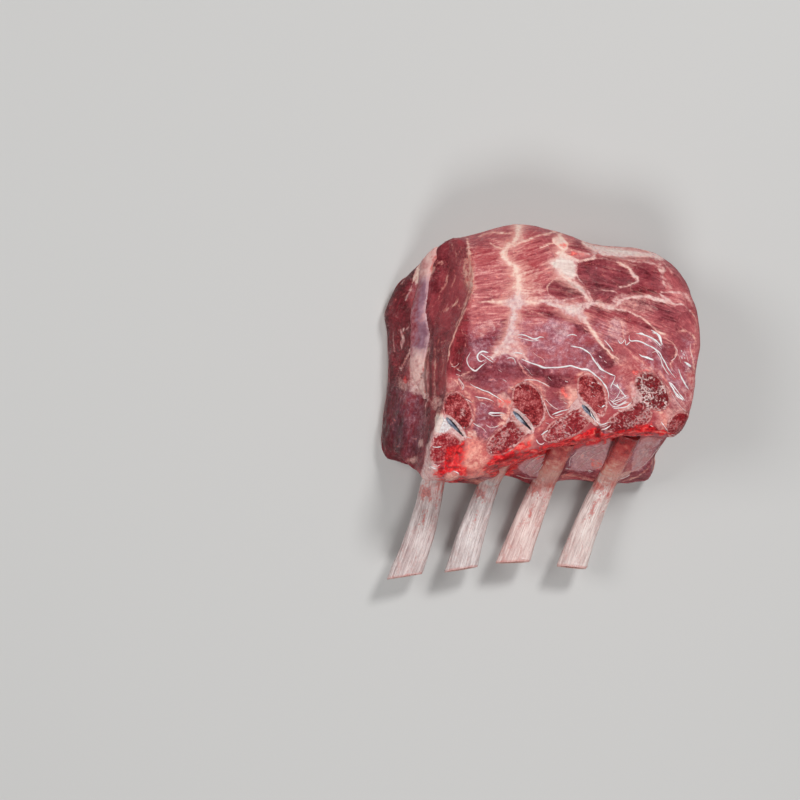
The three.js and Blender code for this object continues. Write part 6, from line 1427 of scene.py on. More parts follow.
# ---- sawn half vertebrae --------------------------------------------------------------------------------------------
# strips of the block's surface round each bone, twice as fine, raised into bone and closed underneath
cols_up = np.concatenate([np.nonzero(TAU >= 17.5)[0], np.nonzero(TAU < 5.2)[0]])
cg = coarse.reshape(ROWS, COLS)
plates = []
for name, v in VERTEBRAE.items():
    sub = base[:, cols_up]
    sx, sy, sz = sub[..., 0], sub[..., 1], sub[..., 2]
    a, b, c, d = bone_sd(sx, sy, v)
    near = (np.minimum(np.minimum(a, b), np.minimum(c, d)) < 2.2) & (sz > 36)
    rows = np.nonzero(near.any(1))[0]
    cols = np.nonzero(near.any(0))[0]
    r0, r1, c0, c1 = max(rows[0] - 1, 0), min(rows[-1] + 2, ROWS), max(cols[0] - 1, 0), min(cols[-1] + 2, len(cols_up))
    p = upsample(sub[r0:r1, c0:c1], 2)
    n = upsample(normal[:, cols_up][r0:r1, c0:c1], 2)
    n /= np.linalg.norm(n, axis=-1, keepdims=True)
    co = upsample(cg[:, cols_up][r0:r1, c0:c1], 2)
    shape = p.shape[:2]
    px, py, pz = p[..., 0], p[..., 1], p[..., 2]
    wob = 0.35 * noise(p, 3.2, 61) + 0.18 * noise(p, 1.3, 62)
    a, b, c, d = bone_sd(px, py, v)
    across, down = np.zeros(shape), np.zeros(shape)
    slit = np.full(shape, 9.0)
    if v["canal"]:
        turn = math.radians(v["canal"][4])
        dx, dy = px - v["canal"][0] + CENTRE[0], py - v["canal"][1] + CENTRE[1]
        across = dy * math.cos(turn) - dx * math.sin(turn)
        down = (dx * math.cos(turn) + dy * math.sin(turn)) / v["canal"][2]
        down = down / {"vertebra_3": 0.80}.get(name, 0.95)
        wide = 0.10 + 0.66 * smooth(-1.15, -0.40, down) * (1 - smooth(-0.40, 1.05, down)) ** 0.75
        slit = np.abs(across - 0.20 * down) - wide + 2.0 * smooth(0.85, 1.15, np.abs(down))
    whole = np.minimum(np.minimum(a, b), c) + wob
    canal = d + 0.5 * wob
    outline = np.minimum(whole, canal - 0.35)
    body = smooth(1.2, -1.2, a - b)
    strong = {"vertebra_1": (0.34, 0.10), "vertebra_2": (0.46, 0.14), "vertebra_3": (0.42, 0.18), "vertebra_4": (0.52, 1.0), "vertebra_5": (0.36, 0.36)}[name]
    strong = lerp(strong[1], strong[0], body)
    f1, f2 = cells(px + 0.3 * noise(p, 1.1, 63), py + 0.3 * noise(p, 1.1, 64), 0.95, 65)
    g1, g2 = cells(px, py, 0.55, 66)
    wall = 1 - smooth(0.06, 0.30, f2 - f1)
    pit = smooth(0.42, 0.12, f1) * 0.8 + smooth(0.35, 0.1, g1) * 0.35
    deep = smooth(-0.5, -1.3, whole) * smooth(0.2, 0.9, canal)
    relief = 0.14 - 3.0 * smooth(0.12, 1.15, outline)
    relief -= deep * (0.10 + (0.24 * strong + 0.10) * pit) - 0.05 * deep * wall * strong
    relief += 0.08 * bell(whole, -0.35, 0.35) + 0.12 * bell(canal, 0.6, 0.45) * (canal < 3)
    relief -= 0.4 * smooth(0.25, -0.75, canal) + 1.1 * smooth(0.15, -0.5, slit)
    relief += 0.10 * fbm(p, 3.0, 67, 2)
    q = p + n * (co + relief)[..., None]
    ok = (outline < 1.25) & (q[..., 2] > 36.2)
    quad = grid_faces(shape[0], shape[1], False)
    keep = ok.ravel()[quad].all(1)
    quad = quad[keep]
    used, inv = np.unique(quad, return_inverse=True)
    quad = inv.reshape(-1, 4)
    top = q.reshape(-1, 3)[used]
    rim = rim_edges(quad)
    k = len(top)
    rim_v, rim_inv = np.unique(rim, return_inverse=True)
    rim2 = rim_inv.reshape(-1, 2) + k
    mid = top[:, :2].mean(0)
    low = top[rim_v].copy()
    low[:, :2] = mid + (low[:, :2] - mid) * 0.84
    low[:, 2] = np.minimum(37.2, low[:, 2] - 0.6)
    pts = np.vstack([top, low, [[mid[0], mid[1], 37.2]]])
    walls = np.stack([rim[:, 1], rim[:, 0], rim2[:, 0], rim2[:, 1]], -1)
    fan = np.stack([rim2[:, 1], rim2[:, 0], np.full(len(rim2), len(pts) - 1)], -1)
    obj = mm_mesh("cut_bone_" + name[-1], pts, outward(pts, [quad, walls, fan]))
    pad = lambda arr, fill: np.concatenate([arr.ravel()[used], np.full(len(pts) - k, fill)])
    pf = painted(p.reshape(-1, 3), n.reshape(-1, 3))
    put(obj, blood=pad(pf["blood"] * pf["shown"], 0.0), fat=pad(pf["fat"] * pf["shown"], 0.0), edge=pad(whole, 0.0), slot=pad(canal, 9.0), body=pad(body, 0.5), strong=pad(strong, 0.5), wall=pad(wall, 0.0), pit=pad(pit * deep, 0.0),
        across=pad(across, 0.0), slit=pad(slit, 9.0), down=pad(down, 0.0), white=pad(pf["white"] * pf["shown"], 0.0),
        dim=np.full(len(pts), {"vertebra_5": 0.34, "vertebra_2": 0.12, "vertebra_4": 0.12}.get(name, 0.0)))
    plates.append((name, obj))

# ---- seam of fat ----------------------------------------------------------------------------------------------------
# columns over the sides where the seam can show
cols_s = np.nonzero((TAU > 6.5) & (TAU < 12.2))[0]
seam_parts = []
cols_all = np.arange(COLS)
k = 2
wrap = np.concatenate([base, base[:, :1]], 1)
wrap_n = np.concatenate([normal, normal[:, :1]], 1)
wrap_c = np.concatenate([(coarse + fine).reshape(ROWS, COLS), (coarse + fine).reshape(ROWS, COLS)[:, :1]], 1)
p, n, co = upsample(wrap, k), upsample(wrap_n, k), upsample(wrap_c, k)
n /= np.linalg.norm(n, axis=-1, keepdims=True)
e = seam_edge(p)
side_ok = p[..., 1] + CENTRE[1] > -1.5
stria = noise(np.stack([p[..., 0] / 2.2 + p[..., 2] / 3.0, p[..., 1] / 1.1 - p[..., 2] / 2.0, p[..., 2] / 2.5], -1), 1.0, 73)
lift_s = 0.28 - 1.9 * smooth(-0.35, 0.95, e) + 0.10 * stria + 0.18 * fbm(p, 5, 74)
q = p + n * (co + lift_s)[..., None]
quad = grid_faces(p.shape[0], p.shape[1], False)
keep = ((e < 1.05) & side_ok).ravel()[quad].all(1)
quad = quad[keep]
used, inv = np.unique(quad, return_inverse=True)
quad = inv.reshape(-1, 4)
top = q.reshape(-1, 3)[used]
# the seam's grid meets itself where the ring closes
key = np.round(p.reshape(-1, 3)[used] * 1e4).astype(np.int64)
_, firsts, back = np.unique(key, axis=0, return_index=True, return_inverse=True)
back = back.ravel()
top, used, quad = top[firsts], used[firsts], back[quad]
good = np.array([len(set(r)) == 4 for r in quad.tolist()])
quad = quad[good]
inside = top - n.reshape(-1, 3)[used] * 2.4
kk = len(top)
rim = rim_edges(quad)
walls = np.stack([rim[:, 1], rim[:, 0], rim[:, 0] + kk, rim[:, 1] + kk], -1)
pts = np.vstack([top, inside])
seam = mm_mesh("seam_of_fat", pts, outward(pts, [quad, quad[:, ::-1] + kk, walls]))
us, vs = seen_plane(p.reshape(-1, 3)[used])
wave = 1.4 * noise(np.stack([us, vs, 0 * us], -1), 4.5, 75) + 0.5 * us * 0.12
lav = smooth(47.0, 40.5, vs + wave) * smooth(10.5, 20, vs + wave)
lav = np.where((p.reshape(-1, 3)[used][:, 0] < -30), lav, 0.15)
up_side = (p.reshape(-1, 3)[used][:, 2] - seam_z(*(p.reshape(-1, 3)[used][:, :2] + np.array(CENTRE)).T)) / np.maximum(seam_half(*(p.reshape(-1, 3)[used][:, :2] + np.array(CENTRE)).T), 0.4)
up_side = np.maximum(up_side, 1 + past_eye(p.reshape(-1, 3)[used]) / 2.6)
two = lambda a: np.concatenate([a, a])
put(seam, pale=two(smooth(22, 12, vs + wave)), edge=two(e.ravel()[used]), lav=two(lav), stria=two(stria.ravel()[used]), upside=two(up_side))

# ---- ribs -----------------------------------------------------------------------------------------------------------
RIB_U, RIB_S = 190, 64
rib_objs = []
for name in RIBS:
    _, _, _, _, w, cut = RIBS[name]
    u = np.linspace(0, 1, RIB_U)
    u = lerp(u, 1 - (1 - u) ** 1.6, 0.25)
    c = rib_line(name, u)
    t = np.gradient(c, axis=0)
    t /= np.linalg.norm(t, axis=1, keepdims=True)
    side = np.cross(t, [0, 0, 1.0])
    side /= np.linalg.norm(side, axis=1, keepdims=True)
    up = np.cross(side, t)
    along = np.concatenate([[0], np.cumsum(np.linalg.norm(np.diff(c, axis=0), axis=1))])
    half = np.where(u < 0.5, lerp(w[0], w[1], np.minimum(1, u * 2)), lerp(w[1], w[2], np.maximum(0, u * 2 - 1) ** 0.9)) / 2
    tall = RIB_THICK * lerp(1.15, 0.92, u) / 2
    ang = np.linspace(0, 2 * np.pi, RIB_S, endpoint=False)
    ac = np.sign(np.cos(ang)) * np.abs(np.cos(ang)) ** 0.72
    hi = np.sign(np.sin(ang)) * np.abs(np.sin(ang)) ** 0.72
    co_, do_ = math.cos(math.radians(cut)), math.sin(math.radians(cut))
    seed = int(name[-1]) * 7

    def ring(i, shrink=1.0, push=0.0):
        """Points of station i, in mm, and their local places (along, across, high)."""
        across = half[i] * ac * shrink
        highs = tall[i] * hi * shrink
        lead = -across * (side[i, 0] * do_ - side[i, 1] * co_) / (t[i, 0] * do_ - t[i, 1] * co_) * smooth(0.84, 1, u[i])
        local = np.stack([along[i] + lead, across, highs], -1)
        return c[i] + np.outer(across, side[i]) + np.outer(highs, up[i]) + np.outer(lead + push, t[i]), local

    rows_p, rows_l, rows_m = [], [], []
    for sh in (0.25, 0.55, 0.85):
        a, l = ring(0, sh)
        rows_p.append(a), rows_l.append(l), rows_m.append(np.zeros(RIB_S))
    for i in range(RIB_U):
        a, l = ring(i)
        rows_p.append(a), rows_l.append(l), rows_m.append(np.zeros(RIB_S))
    caps = (0.985, 0.95, 0.9, 0.84, 0.76, 0.66, 0.55, 0.44, 0.32, 0.2, 0.09)
    for sh in caps:
        a, l = ring(RIB_U - 1, sh)
        rows_p.append(a), rows_l.append(l), rows_m.append(np.full(RIB_S, 1 - sh))
    g, l, m = np.array(rows_p), np.array(rows_l), np.array(rows_m)
    gn = grid_normals(g)
    stretch = np.stack([l[..., 0] / 11 + seed, l[..., 1] / 0.85, l[..., 2] / 0.85], -1)
    body_ = (m <= 0)
    st = np.concatenate([np.zeros(3), along, np.full(len(caps), along[-1])])
    t_end = np.broadcast_to((along[-1] - st)[:, None], l.shape[:2]) + 0.25 * noise(l, 2.0, 88 + seed)
    dis = body_ * (0.11 * noise(stretch, 1.0, 81 + seed) + 0.05 * noise(stretch * 2.1, 1.0, 82 + seed) + 0.22 * fbm(l, 9, 83 + seed, 2) + 0.07 * fbm(l, 2.2, 84 + seed, 2))
    # a low crest along the top and a hollow beside it
    dis += body_ * (hi > 0)[None] * (0.28 * bell(l[..., 1], 0.28 * w[2], 1.5) - 0.25 * bell(l[..., 1], -0.05 * w[2], 2.4)) * smooth(0.45, 0.6, l[..., 0] / along[-1])
    # rounded just before the sawn end, with a burr on its rim
    dis += body_ * (-0.25 * smooth(1.0, 0.0, t_end) + 0.16 * bell(t_end, 0.9, 0.5) * clamp01(0.5 + noise(l, 1.4, 85)))
    marrow = smooth(0.14, 0.30, m)
    f1, f2 = cells(l[..., 1], l[..., 2], 0.8, 86 + seed)
    dis += (~body_) * (marrow * (-0.35 - 0.3 * smooth(0.4, 0.1, f1)) + 0.08 * noise(l, 0.9, 87))
    g2 = g + gn * dis[..., None]
    R2 = len(g2)
    pts = np.vstack([g2.reshape(-1, 3), g2[0].mean(0)[None], g2[-1].mean(0)[None]])
    j = np.arange(RIB_S)
    fa = np.stack([np.full(RIB_S, R2 * RIB_S), (j + 1) % RIB_S, j], -1)
    fb = np.stack([np.full(RIB_S, R2 * RIB_S + 1), (R2 - 1) * RIB_S + j, (R2 - 1) * RIB_S + (j + 1) % RIB_S], -1)
    obj = mm_mesh("bare_rib_" + name[-1], pts, outward(pts, [grid_faces(R2, RIB_S, True), fa, fb]))
    ext2 = lambda a: np.concatenate([a.reshape((-1,) + a.shape[2:]), a[0].mean(0, keepdims=True), a[-1].mean(0, keepdims=True)])
    exit_y = RIBS[name][1][1] - CENTRE[1]
    past = exit_y - g2[..., 1]
    put(obj, loc=ext2(l), past=ext2(past), toend=ext2(t_end + 0 * m), cap=ext2(m), crest=ext2(noise(stretch, 1.0, 81 + seed)))
    rib_objs.append((name, obj))

# ---- folds of the clear membrane: fine raised ridges, their crests coloured as painted highlights (glints) ------------
verts_all, tris_all, at = [], [], 0
for o in [muscle, seam] + [o for _, o in plates] + [o for _, o in rib_objs]:
    me = o.data
    me.calc_loop_triangles()
    vv = np.empty(len(me.vertices) * 3, np.float32)
    me.vertices.foreach_get("co", vv)
    tt = np.empty(len(me.loop_triangles) * 3, np.int32)
    me.loop_triangles.foreach_get("vertices", tt)
    verts_all.append(vv.reshape(-1, 3)), tris_all.append(tt.reshape(-1, 3) + at)
    at += len(me.vertices)
tree = BVHTree.FromPolygons(np.vstack(verts_all).tolist(), np.vstack(tris_all).tolist())
eye = Vector(EYE / 1000)


def on_surface(u, v):
    d = (Vector((u / 1000, v / 1000, PLANE_Z / 1000)) - eye).normalized()
    hit, n, _, _ = tree.ray_cast(eye, d)
    return (np.array(hit) * 1000, np.array(n)) if hit is not None and hit.z > 0.001 else None


fold_pts, fold_faces, fold_glint_strength, fold_glint_rise = [], [], [], []
RNG_GLINT = np.random.default_rng(4072).random((64, 4))
count = 0
PROFILE = [(-1.0, -0.35), (-0.72, 0.12), (-0.3, 0.82), (0.05, 1.0), (0.38, 0.72), (0.75, 0.1), (1.0, -0.35), (0.0, -0.9)]


def add_fold(hp, hn, q, line, jit, strength):
    """A ridge along surface places hp with normals hn; widths are in line's third column."""
    global count
    n_at = len(hp)
    for _ in range(3):
        hp[1:-1] = 0.25 * hp[:-2] + 0.5 * hp[1:-1] + 0.25 * hp[2:]
        hn[1:-1] = 0.25 * hn[:-2] + 0.5 * hn[1:-1] + 0.25 * hn[2:]
    hn /= np.linalg.norm(hn, axis=1, keepdims=True)
    t = np.gradient(hp, axis=0)
    t /= np.maximum(np.linalg.norm(t, axis=1, keepdims=True), 1e-9)
    cross = np.cross(t, hn)
    cross /= np.maximum(np.linalg.norm(cross, axis=1, keepdims=True), 1e-9)
    q01 = q / q[-1]
    taper = np.minimum(1, np.minimum(q01, 1 - q01) * 6 + 0.12) ** 0.8
    amp = (0.78 + 0.45 * noise(jit, 2.2, 93)) * taper
    wid = line[:, 2] * 0.62 * (1.0 + 0.5 * noise(jit, 1.6, 94)) * taper ** 0.5
    tall_ = (0.30 + 0.5 * line[:, 2]) * strength * np.clip(amp, 0.15, 1.2)
    g = np.stack([hp + cross * (a * wid)[:, None] + hn * (b * tall_)[:, None] for a, b in PROFILE], 1)
    S = len(PROFILE)
    fold_pts.extend([g.reshape(-1, 3), g[0].mean(0)[None], g[-1].mean(0)[None]])
    j = np.arange(S)
    fold_faces.append((grid_faces(n_at, S, True) + count,
                       np.stack([np.full(S, n_at * S), (j + 1) % S, j], -1) + count,
                       np.stack([np.full(S, n_at * S + 1), (n_at - 1) * S + j, (n_at - 1) * S + (j + 1) % S], -1) + count))
    # how high up the ridge each point sits, which the material turns into a painted highlight
    hgt = np.array([max(0.0, b) for _, b in PROFILE])
    fold_glint_rise.append(np.concatenate([(hgt[None] * np.clip(amp, 0, 1)[:, None]).ravel(), [0, 0]]))
    fold_glint_strength.append(np.full(n_at * S + 2, strength))
    count += n_at * S + 2


# small seeded glints: short ridges whose crests carry painted highlights
glints = []
for i in range(64):
    gu, gv, gt, gl = RNG_GLINT[i]
    gu, gv = -33 + 78 * gu, -14 + 28 * gv
    turn = math.radians(-32 + 26 * (gt - 0.5))
    gl = 0.30 + 0.75 * gl
    bend = 0.12 * math.sin(i * 2.4)
    glints.append((0.14 + 0.10 * gt, 0.75, 0, f"{gu - gl * math.cos(turn):.2f},{gv - gl * math.sin(turn):.2f} {gu + bend:.2f},{gv + bend:.2f} {gu + gl * math.cos(turn):.2f},{gv + gl * math.sin(turn):.2f}"))
for number, (width, strength, warm_, text) in enumerate(FOLD_LINES + glints):
    pts = dense(text, width)
    d = np.concatenate([[0], np.cumsum(np.hypot(*np.diff(pts[:, :2], axis=0).T))])
    n_at = max(5, int(d[-1] / 0.32))
    q = np.linspace(0, d[-1], n_at)
    line = np.stack([np.interp(q, d, pts[:, c]) for c in range(3)], -1)
    jit = np.stack([line[:, 0], line[:, 1], np.full(n_at, number * 7.0)], -1)
    line[:, 0] += 0.22 * noise(jit, 2.2, 91)
    line[:, 1] += 0.22 * noise(jit, 2.2, 92)
    hits = [on_surface(a, b) for a, b, _ in line]
    ok = np.array([h is not None for h in hits])
    place = np.array([h[0] if h is not None else [0, 0, -99] for h in hits])
    jump = np.linalg.norm(np.diff(place, axis=0), axis=1) > 1.1
    cuts = [0] + [i + 1 for i in range(n_at - 1) if jump[i]] + [n_at]
    for start, stop in zip(cuts[:-1], cuts[1:]):
        if stop - start >= 4 and ok[start:stop].all():
            piece = slice(start, stop)
            add_fold(np.array([h[0] for h in hits[piece]]), np.array([h[1] for h in hits[piece]]), q[piece] - q[start], line[piece], jit[piece], strength)
pts = np.vstack(fold_pts)
folds = mm_mesh("membrane_folds_glints", pts, outward(pts, [np.vstack([a[0] for a in fold_faces]), np.vstack([a[1] for a in fold_faces] + [a[2] for a in fold_faces])]))
put(folds, rise=np.concatenate(fold_glint_rise), pale=np.concatenate(fold_glint_strength))


# === materials =======================================================================================================
def srgb(r, g, b):
    out = []
    for c in (r, g, b):
        c = c / 255
        out.append(c / 12.92 if c <= 0.04045 else ((c + 0.055) / 1.055) ** 2.4)
    return (*out, 1.0)


class Shader:
    """Short calls for building a node tree."""

    def __init__(self, name):
        self.mat = bpy.data.materials.new(name)
        self.mat.use_nodes = True
        self.t = self.mat.node_tree
        self.bsdf = self.t.nodes["Principled BSDF"]

    def put(self, socket, value):
        if hasattr(value, "links") or isinstance(value, bpy.types.NodeSocket):
            self.t.links.new(value, socket)
        else:
            socket.default_value = value

    def attr(self, name, vector=False):
        n = self.t.nodes.new("ShaderNodeAttribute")
        n.attribute_name = name
        return n.outputs["Vector" if vector else "Fac"]

    def place(self, scale=1000.0):
        n = self.t.nodes.new("ShaderNodeTexCoord")
        return self.vmul(n.outputs["Object"], (scale, scale, scale))

    def vmul(self, v, by):
        n = self.t.nodes.new("ShaderNodeVectorMath")
        n.operation = "MULTIPLY"
        self.put(n.inputs[0], v)
        self.put(n.inputs[1], by)
        return n.outputs[0]

    def vadd(self, v, by):
        n = self.t.nodes.new("ShaderNodeVectorMath")
        n.operation = "ADD"
        self.put(n.inputs[0], v)
        self.put(n.inputs[1], by)
        return n.outputs[0]

    def noise(self, vec, scale=1.0, detail=2.0, rough=0.5, distort=0.0, colour=False):
        n = self.t.nodes.new("ShaderNodeTexNoise")
        self.put(n.inputs["Vector"], vec)
        n.inputs["Scale"].default_value = scale
        n.inputs["Detail"].default_value = detail
        n.inputs["Roughness"].default_value = rough
        n.inputs["Distortion"].default_value = distort
        return n.outputs["Color" if colour else "Fac"]

    def voronoi(self, vec, scale=1.0, feature="F1", out="Distance"):
        n = self.t.nodes.new("ShaderNodeTexVoronoi")
        n.feature = feature
        self.put(n.inputs["Vector"], vec)
        n.inputs["Scale"].default_value = scale
        return n.outputs[out]

    def math(self, op, a, b=0.0, clamp=False):
        n = self.t.nodes.new("ShaderNodeMath")
        n.operation = op
        n.use_clamp = clamp
        self.put(n.inputs[0], a)
        self.put(n.inputs[1], b)
        return n.outputs[0]

    def add(self, a, b):
        return self.math("ADD", a, b)

    def mul(self, a, b):
        return self.math("MULTIPLY", a, b)

    def step(self, v, lo, hi, to_lo=0.0, to_hi=1.0):
        n = self.t.nodes.new("ShaderNodeMapRange")
        n.interpolation_type = "SMOOTHSTEP"
        self.put(n.inputs["Value"], v)
        n.inputs["From Min"].default_value = lo
        n.inputs["From Max"].default_value = hi
        n.inputs["To Min"].default_value = to_lo
        n.inputs["To Max"].default_value = to_hi
        return n.outputs["Result"]

    def mix(self, fac, a, b, how="MIX"):
        n = self.t.nodes.new("ShaderNodeMix")
        n.data_type = "RGBA"
        n.blend_type = how
        self.put(n.inputs[0], fac)
        self.put(n.inputs[6], a)
        self.put(n.inputs[7], b)
        return n.outputs[2]

    def ramp(self, fac, *stops):
        n = self.t.nodes.new("ShaderNodeValToRGB")
        self.put(n.inputs[0], fac)
        e = n.color_ramp.elements
        while len(e) < len(stops):
            e.new(0.5)
        for k, (at_, colour) in enumerate(stops):
            e[k].position = at_
            e[k].color = srgb(*colour)
        return n.outputs[0]

    def bump(self, height, distance, strength=1.0, normal=None):
        n = self.t.nodes.new("ShaderNodeBump")
        n.inputs["Strength"].default_value = strength
        n.inputs["Distance"].default_value = distance
        self.put(n.inputs["Height"], height)
        if normal is not None:
            self.put(n.inputs["Normal"], normal)
        return n.outputs[0]

    def finish(self, **sockets):
        for name, value in sockets.items():
            self.put(self.bsdf.inputs[name.replace("_", " ")], value)
        return self.mat


def muscle_material():
    m = Shader("raw_muscle")
    pos = m.place()
    fib = m.attr("fib", vector=True)
    fibk = m.attr("fibk")
    long1 = m.noise(m.vmul(fib, (0.10, 0.85, 0.55)), 1.0, 3.0, 0.55, 0.6)
    long2 = m.noise(m.vmul(fib, (0.22, 2.0, 1.3)), 1.0, 2.0, 0.5, 0.4)
    broad = m.noise(pos, 0.13, 3.0, 0.55)
    small = m.noise(pos, 0.9, 3.0, 0.6)
    tiny = m.noise(pos, 2.6, 2.0, 0.6)
    c = lambda v, k: m.mul(m.add(v, -0.5), k)  # centred and scaled
    tone = m.add(m.attr("tone"), m.mul(c(long1, 1.25), fibk))
    tone = m.add(tone, m.mul(c(long2, 0.55), fibk))
    tone = m.add(tone, c(broad, 0.55))
    tone = m.add(m.add(tone, c(small, 0.40)), c(tiny, 0.34))
    colour = m.ramp(tone, (0.0, (42, 6, 12)), (0.15, (82, 19, 27)), (0.28, (110, 34, 44)), (0.42, (135, 53, 62)),
                    (0.60, (160, 73, 80)), (0.78, (187, 97, 100)), (0.90, (205, 122, 121)), (1.0, (226, 157, 152)))
    colour = m.mix(m.mul(m.attr("red"), 0.55), colour, m.mix(m.step(tone, 0.15, 0.6), srgb(92, 10, 16), srgb(176, 46, 52)))
    # thin pale threads between the bundles
    thread = m.math("ABSOLUTE", m.add(m.noise(m.vmul(fib, (0.09, 0.5, 0.4)), 1.0, 2.0, 0.5, 0.9), -0.5))
    thread = m.mul(m.step(thread, 0.022, 0.004), m.step(m.noise(pos, 0.35, 2.0), 0.42, 0.62))
    colour = m.mix(m.mul(m.mul(thread, fibk), 0.45), colour, srgb(222, 160, 154))
    # bluish membrane over the muscle
    cloud = m.noise(pos, 0.42, 3.0, 0.6, 0.5)
    veil = m.attr("veil")
    veil = m.math("MAXIMUM", m.add(veil, m.mul(m.mul(veil, m.add(1.0, m.mul(veil, -1.0))), m.add(c(cloud, 9.0), c(small, 4.0)))), 0.0)
    veil = m.mul(m.math("MINIMUM", veil, 1.0), m.step(cloud, 0.25, 0.75, 0.45, 1.0))
    colour = m.mix(m.mul(veil, 0.62), colour, m.mix(m.step(tone, 0.15, 0.75), srgb(116, 66, 86), m.ramp(m.add(cloud, m.add(c(small, 0.9), c(tiny, 0.7))), (0.28, (122, 76, 100)), (0.46, (160, 120, 140)), (0.56, (180, 144, 160)), (0.76, (216, 190, 200)))))
    # soft cream film
    film = m.step(m.add(m.attr("film"), m.add(m.mul(c(long1, 1.0), fibk), m.add(m.add(c(small, 0.6), c(tiny, 0.5)), c(cloud, 0.7)))), 0.18, 0.95)
    colour = m.mix(m.mul(film, 0.76), colour, m.ramp(small, (0.35, (208, 144, 138)), (0.65, (232, 184, 174))))
    # pale haze round the fat, in streaks along the fibres
    streak = m.noise(m.vmul(fib, (0.06, 0.95, 0.7)), 1.0, 3.0, 0.6, 0.5)
    haze = m.step(m.add(m.attr("haze"), m.add(m.mul(c(streak, 2.0), m.step(fibk, 0.1, 0.9, 0.4, 1.0)), c(small, 0.3))), 0.22, 1.0)
    colour = m.mix(m.mul(haze, 0.80), colour, m.mix(m.mul(m.attr("warm"), 0.7), srgb(228, 160, 150), srgb(216, 128, 120)))
    # drawn fat, lightly feathered along the fibres
    feather = m.add(m.mul(m.add(c(long1, 0.8), c(streak, 0.7)), m.step(fibk, 0.0, 0.8, 0.4, 1.0)), m.add(c(small, 0.35), c(tiny, 0.12)))
    fat = m.add(m.attr("fat"), feather)
    core = m.step(fat, 0.30, 0.86)
    fat_colour = m.ramp(m.add(fat, m.add(c(small, 0.5), c(cloud, 0.5))), (0.35, (208, 136, 132)), (0.60, (226, 166, 157)), (0.85, (240, 198, 184)), (1.0, (247, 220, 206)))
    fat_colour = m.mix(m.mul(m.attr("warm"), 0.85), fat_colour, m.ramp(m.add(m.add(0.5, c(cloud, 1.7)), c(small, 0.9)), (0.25, (196, 62, 62)), (0.5, (226, 122, 110)), (0.75, (244, 184, 164))))
    cool = m.mul(m.attr("cool"), m.step(m.add(cloud, c(streak, 0.8)), 0.36, 0.60, 0.45, 1.0))
    fat_colour = m.mix(m.mul(cool, 0.8), fat_colour, m.ramp(m.add(small, c(cloud, 0.8)), (0.34, (184, 138, 152)), (0.5, (206, 170, 178)), (0.68, (228, 206, 206))))
    colour = m.mix(m.mul(core, 0.92), colour, fat_colour)
    # silverskin and gristle; the same near-white also paints wet highlights on the membranes
    white = m.step(m.add(m.attr("white"), m.add(m.mul(c(streak, 0.5), fibk), m.add(c(small, 0.2), c(cloud, 0.5)))), 0.15, 0.95)
    colour = m.mix(m.mul(white, 0.85), colour, m.ramp(m.add(streak, m.add(c(cloud, 0.5), c(small, 0.3))), (0.32, (206, 184, 178)), (0.5, (226, 206, 198)), (0.7, (240, 226, 218))))
    # painted shade in creases, then blood
    colour = m.mix(m.mul(m.attr("crease_shade"), 0.72), colour, srgb(58, 18, 24))
    blood = m.step(m.add(m.attr("blood"), m.add(c(small, 0.5), c(cloud, 1.4))), 0.14, 0.62)
    colour = m.mix(m.mul(blood, 0.92), colour, m.ramp(m.add(m.add(0.5, c(cloud, 2.0)), c(small, 0.55)), (0.22, (134, 2, 10)), (0.40, (204, 8, 20)), (0.54, (234, 22, 32)), (0.70, (246, 62, 60)), (0.90, (250, 138, 124))))
    colour = m.mix(m.mul(m.step(m.add(m.attr("clot"), c(small, 1.0)), 0.25, 0.75), 0.9), colour, m.ramp(small, (0.4, (96, 0, 6)), (0.62, (156, 4, 14))))
    damp = m.step(m.add(m.noise(pos, 0.30, 3.0, 0.6, 0.4), m.add(m.mul(m.attr("veil"), 0.14), m.mul(m.attr("film"), 0.08))), 0.50, 0.62)
    rough = m.add(m.add(0.42, c(small, 0.3)), m.mul(damp, -0.19))
    rough = m.add(rough, m.mul(blood, -0.14))
    rough = m.math("MAXIMUM", rough, 0.14)
    height = m.add(m.mul(m.mul(long1, fibk), 1.0), m.mul(m.mul(long2, fibk), 0.35))
    height = m.add(height, m.add(m.mul(small, 0.55), m.mul(tiny, 0.28)))
    height = m.add(height, m.mul(core, 0.35))
    n1 = m.bump(height, 0.00028, 0.85)
    wet = m.noise(pos, 0.55, 4.0, 0.6, 0.8)
    n2 = m.bump(wet, 0.0010, 0.8, n1)
    return m.finish(Base_Color=colour, Roughness=rough, Normal=n1, Coat_Normal=n2, Coat_Weight=m.add(m.add(0.06, m.mul(damp, 0.24)), m.add(m.mul(blood, 0.20), m.mul(m.mul(core, m.attr("warm")), 0.25))), Coat_Roughness=0.07,
                    Subsurface_Weight=0.08, Subsurface_Radius=(1.0, 0.32, 0.2), Subsurface_Scale=0.0015, IOR=1.19)


